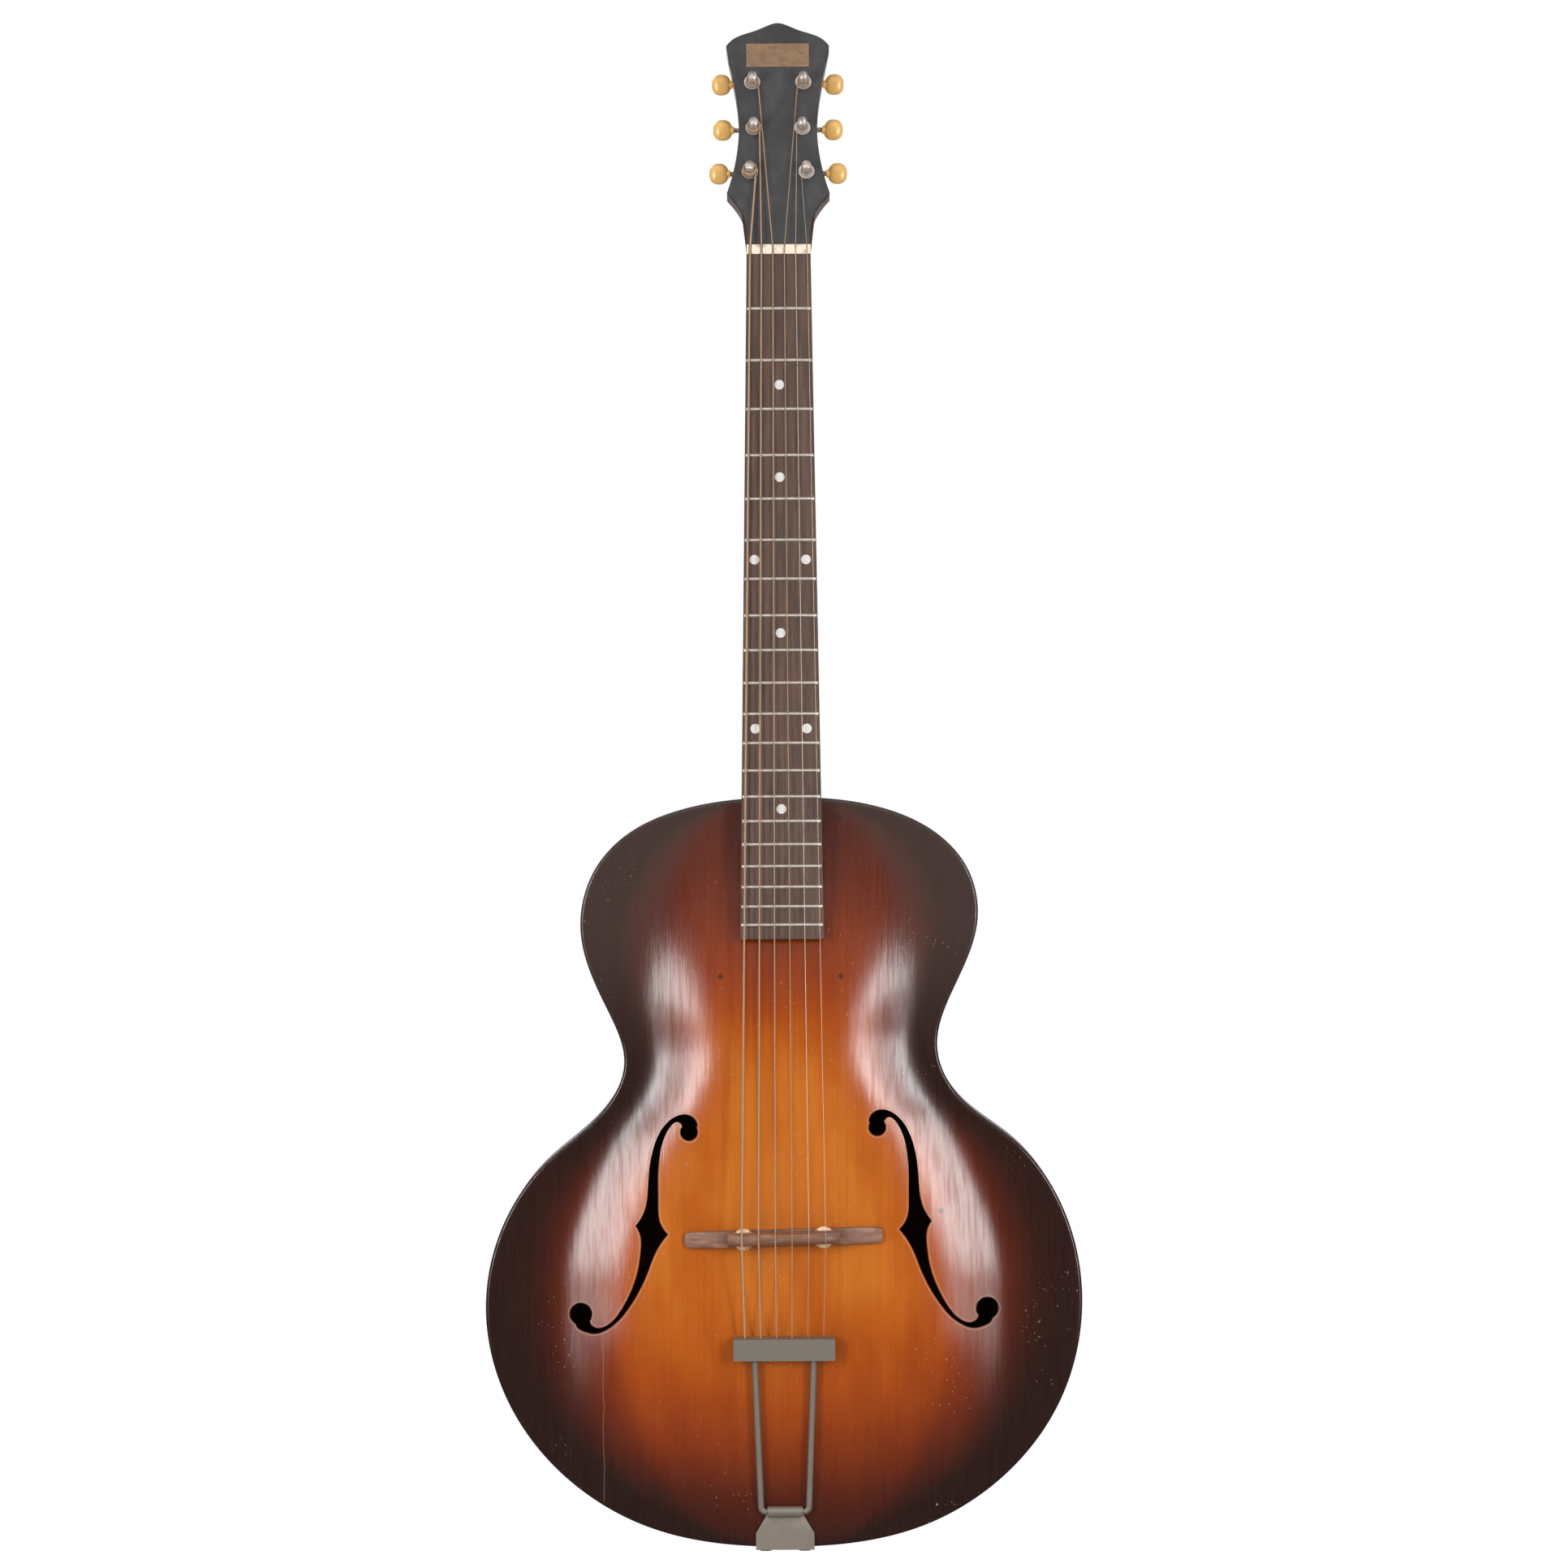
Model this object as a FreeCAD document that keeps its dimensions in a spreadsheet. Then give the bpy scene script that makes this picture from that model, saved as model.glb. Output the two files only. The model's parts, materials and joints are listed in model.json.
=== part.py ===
import FreeCAD, Part
import bisect
import math
import os
import Sketcher

# An archtop guitar, hung upright: +Z runs up the neck, the front faces -Y, the treble side is +X.
# The origin is on the centreline, at the nut's face, on the plane where board and neck are glued.

Vector = FreeCAD.Vector

# Driving sizes, in millimetres and degrees
SIZES = {
    # Scale, neck and fingerboard
    "scale_length": 628.65,
    "neck_angle": 3.5,
    "nut_width": 41,
    "nut_thickness": 6,
    "nut_crown": 1.6,
    "board_end_width": 53.5,
    "board_thickness": 6,
    "board_radius": 300,
    "board_past_last_fret": 9,
    "board_standoff": 8,
    "neck_depth_at_nut": 15.5,
    "neck_depth_at_joint": 18.5,
    "riser_gap": 1.6,
    "bar_width": 6,
    "bar_depth": 9,
    "bar_end_inset": 14,
    "fret_width": 2.4,
    "fret_crown": 1.1,
    "fret_end_inset": 0.3,
    "tang_width": 0.6,
    "tang_depth": 1.8,
    "dot_diameter": 6.2,
    "dot_spread": 33,
    "dot_depth": 1.8,
    # Heel and its tenon
    "heel_cap_width": 27,
    "heel_cap_length": 15,
    "heel_root_length": 70,
    "tenon_width": 22,
    "tenon_length": 14,
    "tenon_end_inset": 10,
    # Headstock
    "head_angle": 17,
    "head_length": 156.5,
    "head_top_width": 66.5,
    "head_waist_width": 50.4,
    "head_ear_width": 66,
    "head_core": 12.5,
    "veneer_thickness": 2,
    "label_width": 40.5,
    "label_height": 16.5,
    "label_thickness": 0.5,
    "label_rise": 133.2,
    # Body
    "body_length": 480,
    "upper_bout": 254.6,
    "waist_width": 200.6,
    "lower_bout": 382,
    "rim_depth": 82,
    "side_thickness": 2.5,
    "plate_thickness": 4.5,
    "top_arch": 16,
    "back_arch": 14,
    "arch_upper_reach": 104,
    "arch_lower_reach": 150,
    "arch_reach_blend": 8,
    "edge_flat": 7,
    "lining_width": 6,
    "lining_height": 14,
    "neck_block_width": 74,
    "neck_block_length": 45,
    "tail_block_width": 70,
    "tail_block_length": 24,
    "tone_bar_width": 8,
    "tone_bar_height": 12,
    "tone_bar_length": 300,
    "tone_bar_spread": 78,
    "f_hole_length": 116.4,
    "f_hole_lean": 69.8,
    "f_hole_spread": 120.4,
    "f_hole_drop": 213.6,
    "f_treble_rise": 2.5,
    "f_upper_eye": 5.6,
    "f_lower_eye": 7.2,
    # Tuners
    "post_rise_low": 50.7,
    "post_rise_middle": 81.6,
    "post_rise_top": 113.8,
    "post_out_low": 18.2,
    "post_out_middle": 15.7,
    "post_out_top": 16.5,
    "post_radius": 3,
    "post_height": 11.5,
    "post_stub_radius": 2.4,
    "post_rivet_radius": 3.4,
    "post_rivet_height": 1,
    "post_hole_radius": 0.9,
    "bushing_flange_radius": 5.2,
    "bushing_flange_height": 1.3,
    "bushing_sleeve_radius": 4.3,
    "bushing_sleeve_length": 8,
    "tuner_plate_thickness": 1.2,
    "tuner_plate_inner": 8,
    "tuner_plate_outer": 8.5,
    "tuner_plate_up": 15,
    "tuner_plate_down": 11,
    "tuner_screw_up": 12.6,
    "tuner_screw_down": 8.4,
    "tuner_screw_radius": 1.1,
    "tuner_screw_head_radius": 2.2,
    "tuner_screw_head_height": 1,
    "tuner_screw_length": 8,
    "lug_thickness": 1.4,
    "lug_width": 6,
    "lug_rim": 1.4,
    "gear_module": 0.7,
    "gear_thickness": 2.8,
    "worm_radius": 2.4,
    "shaft_tail": 1,
    "button_offset": 20,
    "button_length": 12.3,
    "button_width": 13.5,
    "button_thickness": 7.5,
    "ferrule_radius": 2.6,
    "ferrule_length": 2,
    # Strings, first to sixth
    "string_first": 0.305,
    "string_second": 0.41,
    "string_third": 0.56,
    "string_fourth": 0.81,
    "string_fifth": 1.07,
    "string_sixth": 1.37,
    "strings_at_nut": 36.6,
    "strings_at_bridge": 53.5,
    "strings_at_tail": 50,
    "string_bend": 8,
    "bridge_rise": 5.5,
    "ball_radius": 2,
    "ball_length": 3.5,
    "turn_gap": 0.45,
    # Bridge
    "bridge_setback": 1.5,
    "bridge_slant": 1.3,
    "base_length": 126,
    "base_middle": 76,
    "base_height": 7.5,
    "base_depth": 11,
    "saddle_length": 72,
    "saddle_depth": 9.5,
    "saddle_shoulder": 3,
    "stud_radius": 2,
    "stud_spread": 51,
    "stud_seat": 5,
    "stud_in_saddle": 3,
    "wheel_radius": 7,
    "wheel_thickness": 3,
    "wheel_lift": 2,
    "wheel_notch": 0.5,
    # Tailpiece; its reach is from the bridge down to the bar
    "tail_tilt": 9.5,
    "tail_reach": 64.7,
    "tail_bar_length": 65,
    "tail_bar_height": 14,
    "tail_bar_depth": 10,
    "tail_bar_sheet": 1.2,
    "tail_wire_radius": 2,
    "tail_wire_top_spread": 38,
    "tail_wire_foot_spread": 30.5,
    "tail_wire_bend": 3.2,
    "tail_wire_end": 2.5,
    "knuckle_length": 22.5,
    "knuckle_wall": 1.4,
    "knuckle_inset": 23,
    "bracket_sheet": 1.6,
    "bracket_neck_width": 25,
    "bracket_flare_inset": 9,
    "bracket_width": 37.4,
    "bracket_drop": 46,
    "tail_screw_radius": 1.6,
    "tail_screw_head_radius": 3.6,
    "tail_screw_head_height": 2.2,
    "tail_screw_length": 20,
    "tail_screw_spread": 25,
    # Clearances, and how far every cut runs past the piece
    "glue_gap": 0.05,
    "running_gap": 0.08,
    "clear_gap": 0.3,
    "overrun": 5,
}

# Counts
FRETS = 20
JOINT_FRET = 14
STRINGS = ("sixth", "fifth", "fourth", "third", "second", "first")
DOT_FRETS = {3: 1, 5: 1, 7: 2, 9: 1, 12: 2, 15: 1}
GEAR_TEETH = 14
WORM_TURNS = 4
WHEEL_NOTCHES = 24
POST_TURNS = 2.25

# Body outline from the upper end down: share of the body's length, the width that the point
# follows, and its share of half that width
BASS_SHARES = (
    (0.018, "upper_bout", 0.535), (0.044, "upper_bout", 0.755), (0.096, "upper_bout", 0.943),
    (0.174, "upper_bout", 1.015), (0.278, "waist_width", 1.129), (0.356, "waist_width", 1.013),
    (0.421, "lower_bout", 0.612), (0.486, "lower_bout", 0.797), (0.564, "lower_bout", 0.935),
    (0.681, "lower_bout", 1.0), (0.811, "lower_bout", 0.919), (0.915, "lower_bout", 0.708),
    (0.971, "lower_bout", 0.470),
)
TREBLE_SHARES = (
    (0.018, "upper_bout", 0.550), (0.044, "upper_bout", 0.755), (0.096, "upper_bout", 0.935),
    (0.161, "upper_bout", 0.985), (0.256, "waist_width", 1.093), (0.336, "waist_width", 0.987),
    (0.399, "lower_bout", 0.589), (0.460, "lower_bout", 0.778), (0.538, "lower_bout", 0.924),
    (0.668, "lower_bout", 1.0), (0.811, "lower_bout", 0.919), (0.915, "lower_bout", 0.710),
    (0.971, "lower_bout", 0.474),
)
# Arching: the share of the length in which the crown rises, the shares of it between which the arch
# widens and fills out, and the powers that fill the crown above and below them
ARCH_RAMP_SHARE = 0.30
ARCH_WIDEN_SHARES = (0.31, 0.65)
ARCH_UPPER_FULLNESS = 1.6
ARCH_LOWER_FULLNESS = 2.6
# F-hole edges: shares of the lean (out from the upper eye) and of the length (down from it)
F_OUTER_UPPER_SHARES = (
    (-0.03, -0.01), (-0.078, -0.03), (-0.055, -0.072), (0.04, -0.098), (0.16, -0.072), (0.28, 0.015),
    (0.345, 0.13), (0.375, 0.27), (0.405, 0.42), (0.495, 0.515),
)
F_OUTER_LOWER_SHARES = (
    (0.495, 0.515), (0.45, 0.57), (0.448, 0.65), (0.475, 0.76), (0.54, 0.875), (0.64, 0.985), (0.76, 1.06),
    (0.86, 1.075), (0.925, 1.045), (0.96, 1.01),
)
F_INNER_LOWER_SHARES = (
    (1.03, 1.02), (1.035, 1.075), (0.965, 1.098), (0.87, 1.108), (0.77, 1.088), (0.67, 1.045), (0.57, 0.975),
    (0.465, 0.875), (0.38, 0.765), (0.325, 0.68), (0.262, 0.612), (0.195, 0.56),
)
F_INNER_UPPER_SHARES = (
    (0.195, 0.56), (0.27, 0.49), (0.284, 0.39), (0.284, 0.25), (0.262, 0.11), (0.2, 0.0), (0.11, -0.055),
    (0.05, -0.025),
)
# Headstock edge: share of the head's length, the width followed, share of half that width
HEAD_LOWER_SHARES = (
    (0.05, "head_ear_width", 0.622), (0.10, "head_ear_width", 0.648), (0.157, "head_ear_width", 0.742),
    (0.20, "head_ear_width", 0.868),
)
HEAD_EAR_SHARE = 0.234
HEAD_SIDE_SHARES = (
    (0.361, "head_waist_width", 1.103), (0.545, "head_waist_width", 1.0), (0.741, "head_top_width", 0.860),
)
HEAD_CORNER_SHARE = 0.897
HEAD_CREST_SHARES = ((0.932, 0.836), (0.966, 0.43), (0.988, 0.20))
# Neck sections, and how the heel narrows from its root to its cap
NECK_ROUNDNESS = 2.2
HEAD_SQUARENESS = 9
HEEL_SHARES = ((0.02, 1.0, 1.0), (0.17, 0.70, 0.42), (0.42, 0.35, 0.16), (1.0, 0.0, 0.0))
# Gear and worm teeth: heights in modules, widths in pitches
TOOTH_RISE_SHARE = 0.86
TOOTH_DROP_SHARE = 1.07
TOOTH_FOOT_SHARE = 0.42
TOOTH_TIP_SHARE = 0.22
# The base's ends come down to this share of its height, below the crown's level
BASE_TIP_SHARE = 0.35
TAIL_SCREW_ROW_SHARES = (0.45, 0.8)
# How far a shaft reaches into its button, as a share of the button's length
BUTTON_BORE_SHARE = 0.6
# Points that surfaces, curves and measurements are worked out on
ARCH_ROWS = 61
ARCH_COLUMNS = 49
OUTLINE_SAMPLES = 48
WIDTH_SAMPLES = 384
OUTLINE_WRAP = 3
SECTION_POINTS = 11
ARC_SAMPLES = 12

doc = FreeCAD.newDocument("archtop_guitar")
sheet = doc.addObject("Spreadsheet::Sheet", "sizes")
for row, (alias, number) in enumerate(SIZES.items(), 1):
    sheet.set(f"A{row}", alias)
    sheet.set(f"B{row}", str(number))
    sheet.setAlias(f"B{row}", alias)
doc.recompute()
nodes = []


def size(alias):
    """A driving size, as a number."""
    return float(sheet.get(alias))


def value(expression):
    """What an expression of the sheet's sizes comes to."""
    return float(sheet.evalExpression(expression))


def shift(x="0", y="0", z="0", axis="1; 0; 0", angle="0"):
    """Expression of a placement: a move and a turn."""
    return f"placement(vector({x}; {y}; {z}); rotation(vector({axis}); {angle}))"


def fret_reach(fret):
    """Expression of the distance from the nut to a fret."""
    return f"(sizes.scale_length * (1 - pow(2; -{fret} / 12)))"


def crown_share(drop):
    """Expression of the arch's share at a drop below the body's upper end, on the centreline."""
    along = f"(({drop} - sizes.edge_flat) / (sizes.body_length - 2 * sizes.edge_flat))"
    ramp = f"min(1; min({along}; 1 - {along}) / {ARCH_RAMP_SHARE})"
    return f"(0.5 - 0.5 * cos(180 * {ramp}))"


# Frames of the groups of pieces
ALPHA = "sizes.neck_angle"
NECK = shift(angle=f"-{ALPHA}")
HEAD = NECK + " * " + shift(z="sizes.nut_thickness", angle="-sizes.head_angle")
JOINT = fret_reach(JOINT_FRET)
BOARD_LENGTH = f"({fret_reach(FRETS)} + sizes.board_past_last_fret)"
BODY = shift(y=f"sizes.board_standoff - {JOINT} * sin({ALPHA})", z=f"-{JOINT} * cos({ALPHA})")
BRIDGE_REACH = "(sizes.scale_length + sizes.bridge_setback)"
BRIDGE_DROP = f"(({BRIDGE_REACH} - {JOINT}) * cos({ALPHA}))"
CROWN = f"(sizes.top_arch * {crown_share(BRIDGE_DROP)})"
SLANT = "-sizes.bridge_slant"
BRIDGE = BODY + " * " + shift(y=f"-{CROWN}", z=f"-{BRIDGE_DROP}", axis="0; 1; 0", angle=SLANT)
BRIDGE_HEIGHT = (
    f"(sizes.board_standoff - {JOINT} * sin({ALPHA}) - {CROWN}"
    f" + (sizes.board_thickness + sizes.bridge_rise) * cos({ALPHA}) + {BRIDGE_REACH} * sin({ALPHA}))"
)
KNUCKLE_BORE = "(sizes.tail_wire_radius + sizes.running_gap)"
KNUCKLE_RADIUS = f"({KNUCKLE_BORE} + sizes.knuckle_wall)"
KNUCKLE_DROP = "(sizes.body_length - sizes.knuckle_inset)"
TONGUE_LIFT = f"(sizes.top_arch * {crown_share(KNUCKLE_DROP)} + sizes.glue_gap)"
KNUCKLE_LIFT = f"({TONGUE_LIFT} + {KNUCKLE_RADIUS})"
TAIL = BODY + " * " + shift(y=f"-{KNUCKLE_LIFT}", z=f"-{KNUCKLE_DROP}", angle="sizes.tail_tilt")
TAIL_RUN = f"(({KNUCKLE_DROP} - {BRIDGE_DROP}) / cos(sizes.tail_tilt))"
TAIL_RISE = f"({TAIL_RUN} - sizes.tail_reach - sizes.tail_bar_height)"
WHEEL_FOOT = "(sizes.base_height + sizes.wheel_lift)"
SADDLE_FOOT = f"({WHEEL_FOOT} + sizes.wheel_thickness + sizes.running_gap)"
# Gear and worm of a tuner, behind the headstock
PITCH = f"({math.pi} * sizes.gear_module)"
GEAR_RADIUS = f"({GEAR_TEETH} * sizes.gear_module / 2)"
WORM_TIP = f"(sizes.worm_radius + {TOOTH_RISE_SHARE} * sizes.gear_module)"
SHAFT_RADIUS = f"(sizes.worm_radius - {TOOTH_DROP_SHARE} * sizes.gear_module)"
CENTRES = f"({GEAR_RADIUS} + sizes.worm_radius)"
WORM_LEVEL = f"(sizes.tuner_plate_thickness + {WORM_TIP} + sizes.clear_gap)"
GEAR_FRONT = f"({WORM_LEVEL} - sizes.gear_thickness / 2)"
LUG_INNER = f"({WORM_TURNS} * {PITCH} / 2 + {PITCH} / 2 + sizes.clear_gap)"
BUTTON_BORE = f"({BUTTON_BORE_SHARE} * sizes.button_length)"


def frame(expression):
    """A frame as a placement that python shapes can use."""
    return sheet.evalExpression(expression)


def put(shape, placement):
    """A copy of a shape, moved by a placement."""
    moved = shape.copy()
    moved.Placement = placement.multiply(moved.Placement)
    return moved


def node(thing, label, placement=shift()):
    """Name a finished sub-part and set its frame."""
    thing.Label = label
    thing.setExpression("Placement", placement)
    nodes.append(thing)
    return thing


def shaped(label, shape, placement=shift()):
    """A sub-part whose shape is worked out from the sizes."""
    thing = doc.addObject("Part::Feature", label)
    thing.Shape = shape
    return node(thing, label, placement)


def place(thing, x, y, z):
    """Bind the place of a primitive."""
    thing.setExpression("Placement.Base.x", x)
    thing.setExpression("Placement.Base.y", y)
    thing.setExpression("Placement.Base.z", z)
    return thing


def block(name, x, y, z, length, width, height):
    """A box from its lowest corner and its three bound lengths."""
    thing = doc.addObject("Part::Box", name)
    thing.setExpression("Length", length)
    thing.setExpression("Width", width)
    thing.setExpression("Height", height)
    return place(thing, x, y, z)


def rod(name, axis, x, y, z, radius, length):
    """A cylinder that starts at a point and runs along +X, +Y or +Z."""
    thing = doc.addObject("Part::Cylinder", name)
    thing.setExpression("Radius", radius)
    thing.setExpression("Height", length)
    thing.Placement = FreeCAD.Placement(Vector(), FreeCAD.Rotation(Vector(0, 0, 1), axis))
    return place(thing, x, y, z)


ALONG_X = Vector(1, 0, 0)
ALONG_Y = Vector(0, 1, 0)
ALONG_Z = Vector(0, 0, 1)


def joined(name, pieces):
    """One solid of several."""
    thing = doc.addObject("Part::MultiFuse", name)
    thing.Shapes = pieces
    return thing


def gathered(name, pieces):
    """A group of separate solids."""
    thing = doc.addObject("Part::Compound", name)
    thing.Links = pieces
    return thing


def without(name, base, tools):
    """A piece with others cut away."""
    thing = doc.addObject("Part::Cut", name)
    thing.Base = base
    thing.Tool = tools[0] if len(tools) == 1 else gathered(name + "_tools", tools)
    return thing


def within(name, base, limit):
    """What two pieces share."""
    thing = doc.addObject("Part::Common", name)
    thing.Base = base
    thing.Tool = limit
    return thing


def part_body(name):
    """A new body."""
    return doc.addObject("PartDesign::Body", name)


def origin_feature(body, role):
    """One of a body's own origin planes or axes."""
    return next(item for item in body.Origin.OriginFeatures if item.Role == role)


def sketch(body, plane, name):
    """An empty sketch on one of the body's origin planes."""
    thing = body.newObject("Sketcher::SketchObject", name)
    thing.AttachmentSupport = [(origin_feature(body, plane), "")]
    thing.MapMode = "FlatFace"
    return thing


def bound(thing, kind, geometry, point, expression):
    """Tie one coordinate of a sketch point to an expression."""
    index = thing.addConstraint(Sketcher.Constraint(kind, -1, 1, geometry, point, value(expression)))
    thing.setExpression(f"Constraints[{index}]", expression)


def polygon(thing, corners):
    """A closed run of lines through bound corners."""
    points = [Vector(value(x), value(y), 0) for x, y in corners]
    first = thing.GeometryCount
    count = len(corners)
    for index in range(count):
        thing.addGeometry(Part.LineSegment(points[index], points[(index + 1) % count]), False)
    for index in range(count):
        following = first + (index + 1) % count
        thing.addConstraint(Sketcher.Constraint("Coincident", first + index, 2, following, 1))
    for index, (x, y) in enumerate(corners):
        bound(thing, "DistanceX", first + index, 1, x)
        bound(thing, "DistanceY", first + index, 1, y)
    return thing


def circle(thing, x, y, radius):
    """A bound circle."""
    centre = Vector(value(x), value(y), 0)
    index = thing.addGeometry(Part.Circle(centre, ALONG_Z, value(radius)), False)
    bound(thing, "DistanceX", index, 3, x)
    bound(thing, "DistanceY", index, 3, y)
    constraint = thing.addConstraint(Sketcher.Constraint("Radius", index, value(radius)))
    thing.setExpression(f"Constraints[{constraint}]", radius)
    return thing


def pad(body, profile, name, length, side="One side", backwards=False):
    """A pad of a sketch."""
    thing = body.newObject("PartDesign::Pad", name)
    thing.Profile = profile
    thing.SideType = side
    thing.Reversed = backwards
    thing.setExpression("Length", length)
    return thing


def pocket(body, profile, name):
    """A cut through everything, both ways from a sketch."""
    thing = body.newObject("PartDesign::Pocket", name)
    thing.Profile = profile
    thing.SideType = "Symmetric"
    thing.Type = "ThroughAll"
    return thing


def around(body, feature, axis, count, name):
    """Copies of a feature around one of the body's axes."""
    thing = body.newObject("PartDesign::PolarPattern", name)
    thing.Originals = [feature]
    thing.Axis = (origin_feature(body, axis), [""])
    thing.Angle = 360
    thing.Occurrences = count
    body.Tip = thing
    return thing


def smooth_edge(points):
    """A smooth curve through points."""
    curve = Part.BSplineCurve()
    curve.interpolate(Points=points)
    return curve


def side_points(shares, sign):
    """Points of one side of the body's outline, from the upper end down."""
    length = size("body_length")
    return [Vector(sign * share * size(width) / 2, 0, -along * length) for along, width, share in shares]


def outline_curves():
    """Both sides of the outline, each from the upper end to the tail: one smooth curve through
    all the points, spaced by their chords, carried on past the tail at both of its ends."""
    top, tail = Vector(0, 0, 0), Vector(0, 0, -size("body_length"))
    treble = side_points(TREBLE_SHARES, 1)
    loop = [tail] + treble[::-1] + [top] + side_points(BASS_SHARES, -1) + [tail]
    points = loop[-1 - OUTLINE_WRAP:-1] + loop + loop[1:1 + OUTLINE_WRAP]
    places = [0.0]
    for before, after in zip(points, points[1:]):
        places.append(places[-1] + (after - before).Length)
    whole = Part.BSplineCurve()
    whole.interpolate(Points=points, Parameters=places)
    ends = [places[OUTLINE_WRAP], places[OUTLINE_WRAP + len(treble) + 1], places[-1 - OUTLINE_WRAP]]
    treble_curve, bass_curve = whole.copy(), whole.copy()
    treble_curve.segment(ends[0], ends[1])
    treble_curve.reverse()
    bass_curve.segment(ends[1], ends[2])
    return bass_curve, treble_curve


def inset_curve(curve, sign, distance):
    """The same side, moved inwards by a distance along its normals."""
    first, last = curve.FirstParameter, curve.LastParameter
    points = []
    for index in range(OUTLINE_SAMPLES + 1):
        parameter = first + (last - first) * index / OUTLINE_SAMPLES
        tangent = curve.tangent(parameter)[0]
        inward = Vector(tangent.z, 0, -tangent.x) * sign
        points.append(curve.value(parameter) + inward * distance)
    points[0] = Vector(0, 0, -distance)
    points[-1] = Vector(0, 0, distance - size("body_length"))
    return smooth_edge(points)


BASS_CURVE, TREBLE_CURVE = outline_curves()


def outline_prism(inset, front, depth):
    """A prism of the body's outline, inset, from a front level and so deep."""
    down = inset_curve(BASS_CURVE, -1, inset) if inset else BASS_CURVE
    up = (inset_curve(TREBLE_CURVE, 1, inset) if inset else TREBLE_CURVE).copy()
    up.reverse()
    face = Part.Face(Part.Wire([down.toShape(), up.toShape()]))
    face.translate(Vector(0, front, 0))
    return face.extrude(Vector(0, depth, 0))


def width_table(curve):
    """Drops and half widths along one side, for looking up."""
    first, last = curve.FirstParameter, curve.LastParameter
    step = (last - first) / WIDTH_SAMPLES
    points = [curve.value(first + step * index) for index in range(WIDTH_SAMPLES + 1)]
    return [-point.z for point in points], [abs(point.x) for point in points]


WIDTH_TABLES = {-1: width_table(BASS_CURVE), 1: width_table(TREBLE_CURVE)}


def half_width(drop, sign):
    """Half width of the body at a drop below its upper end."""
    drops, widths = WIDTH_TABLES[sign]
    index = min(max(bisect.bisect(drops, drop), 1), len(drops) - 1)
    share = (drop - drops[index - 1]) / (drops[index] - drops[index - 1])
    return widths[index - 1] + share * (widths[index] - widths[index - 1])


def arch_share(x, drop):
    """Share of the arch's height: a raised cosine across, and one at each end along.

    The arch's reach, from the middle line to its foot, and its fullness go smoothly from their upper to
    their lower values, and the reach keeps inside the body's edge.
    """
    flat = size("edge_flat")
    along = (drop - flat) / (size("body_length") - 2 * flat)
    edge = half_width(drop, 1 if x > 0 else -1) - flat
    if not 0 < along < 1 or edge <= 0:
        return 0.0
    low, high = ARCH_WIDEN_SHARES
    step = min(max((drop / size("body_length") - low) / (high - low), 0.0), 1.0)
    step = step * step * (3 - 2 * step)
    reach = size("arch_upper_reach") + (size("arch_lower_reach") - size("arch_upper_reach")) * step
    fullness = ARCH_UPPER_FULLNESS + (ARCH_LOWER_FULLNESS - ARCH_UPPER_FULLNESS) * step
    blend = size("arch_reach_blend")
    reach = -blend * math.log(math.exp(-edge / blend) + math.exp(-reach / blend))
    across = abs(x) / reach if reach > 0 else 1.0
    if across >= 1:
        return 0.0
    ramp = min(1.0, min(along, 1 - along) / ARCH_RAMP_SHARE)
    crown = 0.5 - 0.5 * math.cos(math.pi * ramp)
    return crown * (0.5 + 0.5 * math.cos(math.pi * across ** fullness))


def arch_face(height):
    """An arched surface over the body's plan, rising towards the front by a height."""
    margin = size("overrun")
    length = size("body_length") + 2 * margin
    reach = size("lower_bout") / 2 + margin
    rows = []
    for row in range(ARCH_ROWS):
        drop = length * row / (ARCH_ROWS - 1) - margin
        xs = [reach * (2 * column / (ARCH_COLUMNS - 1) - 1) for column in range(ARCH_COLUMNS)]
        rows.append([Vector(x, -height * arch_share(x, drop), -drop) for x in xs])
    surface = Part.BSplineSurface()
    surface.interpolate(rows)
    return surface.toShape()


TOP_FACE = arch_face(size("top_arch"))
BACK_FACE = arch_face(-size("back_arch"))


def f_hole_cutters():
    """Both f-holes as prisms: two round eyes joined by a stem with two notches."""
    length, lean = size("f_hole_length"), size("f_hole_lean")
    front = -size("top_arch") - size("overrun")
    depth = Vector(0, 2 * (size("top_arch") + size("overrun")), 0)
    tools = []
    for sign, rise in ((-1, 0), (1, size("f_treble_rise"))):
        eye = Vector(sign * size("f_hole_spread") / 2, front, rise - size("f_hole_drop"))
        far_eye = eye + Vector(sign * lean, 0, -length)

        def run(shares):
            points = [eye + Vector(sign * out * lean, 0, -down * length) for out, down in shares]
            return smooth_edge(points).toShape()

        ends = [F_OUTER_LOWER_SHARES[-1], F_INNER_LOWER_SHARES[0]]
        tops = [F_INNER_UPPER_SHARES[-1], F_OUTER_UPPER_SHARES[0]]
        edges = [run(F_OUTER_UPPER_SHARES), run(F_OUTER_LOWER_SHARES), run(ends)]
        edges += [run(F_INNER_LOWER_SHARES), run(F_INNER_UPPER_SHARES), run(tops)]
        stem = Part.Face(Part.Wire(edges))
        tools.append(stem.extrude(depth))
        tools.append(Part.makeCylinder(size("f_upper_eye"), depth.y, eye, ALONG_Y))
        tools.append(Part.makeCylinder(size("f_lower_eye"), depth.y, far_eye, ALONG_Y))
    return tools


def plates():
    """The carved top with its f-holes, and the carved back."""
    thickness = size("plate_thickness")
    depth = size("rim_depth")
    reach = size("top_arch") + size("overrun")
    top = TOP_FACE.extrude(Vector(0, thickness, 0)).common(outline_prism(0, -reach, 2 * reach))
    shaped("top_plate", top.cut(f_hole_cutters()), BODY)
    inner = BACK_FACE.copy()
    inner.translate(Vector(0, depth - thickness, 0))
    back = inner.extrude(Vector(0, thickness, 0)).common(outline_prism(0, depth - reach, 2 * reach))
    shaped("back_plate", back, BODY)


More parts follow.
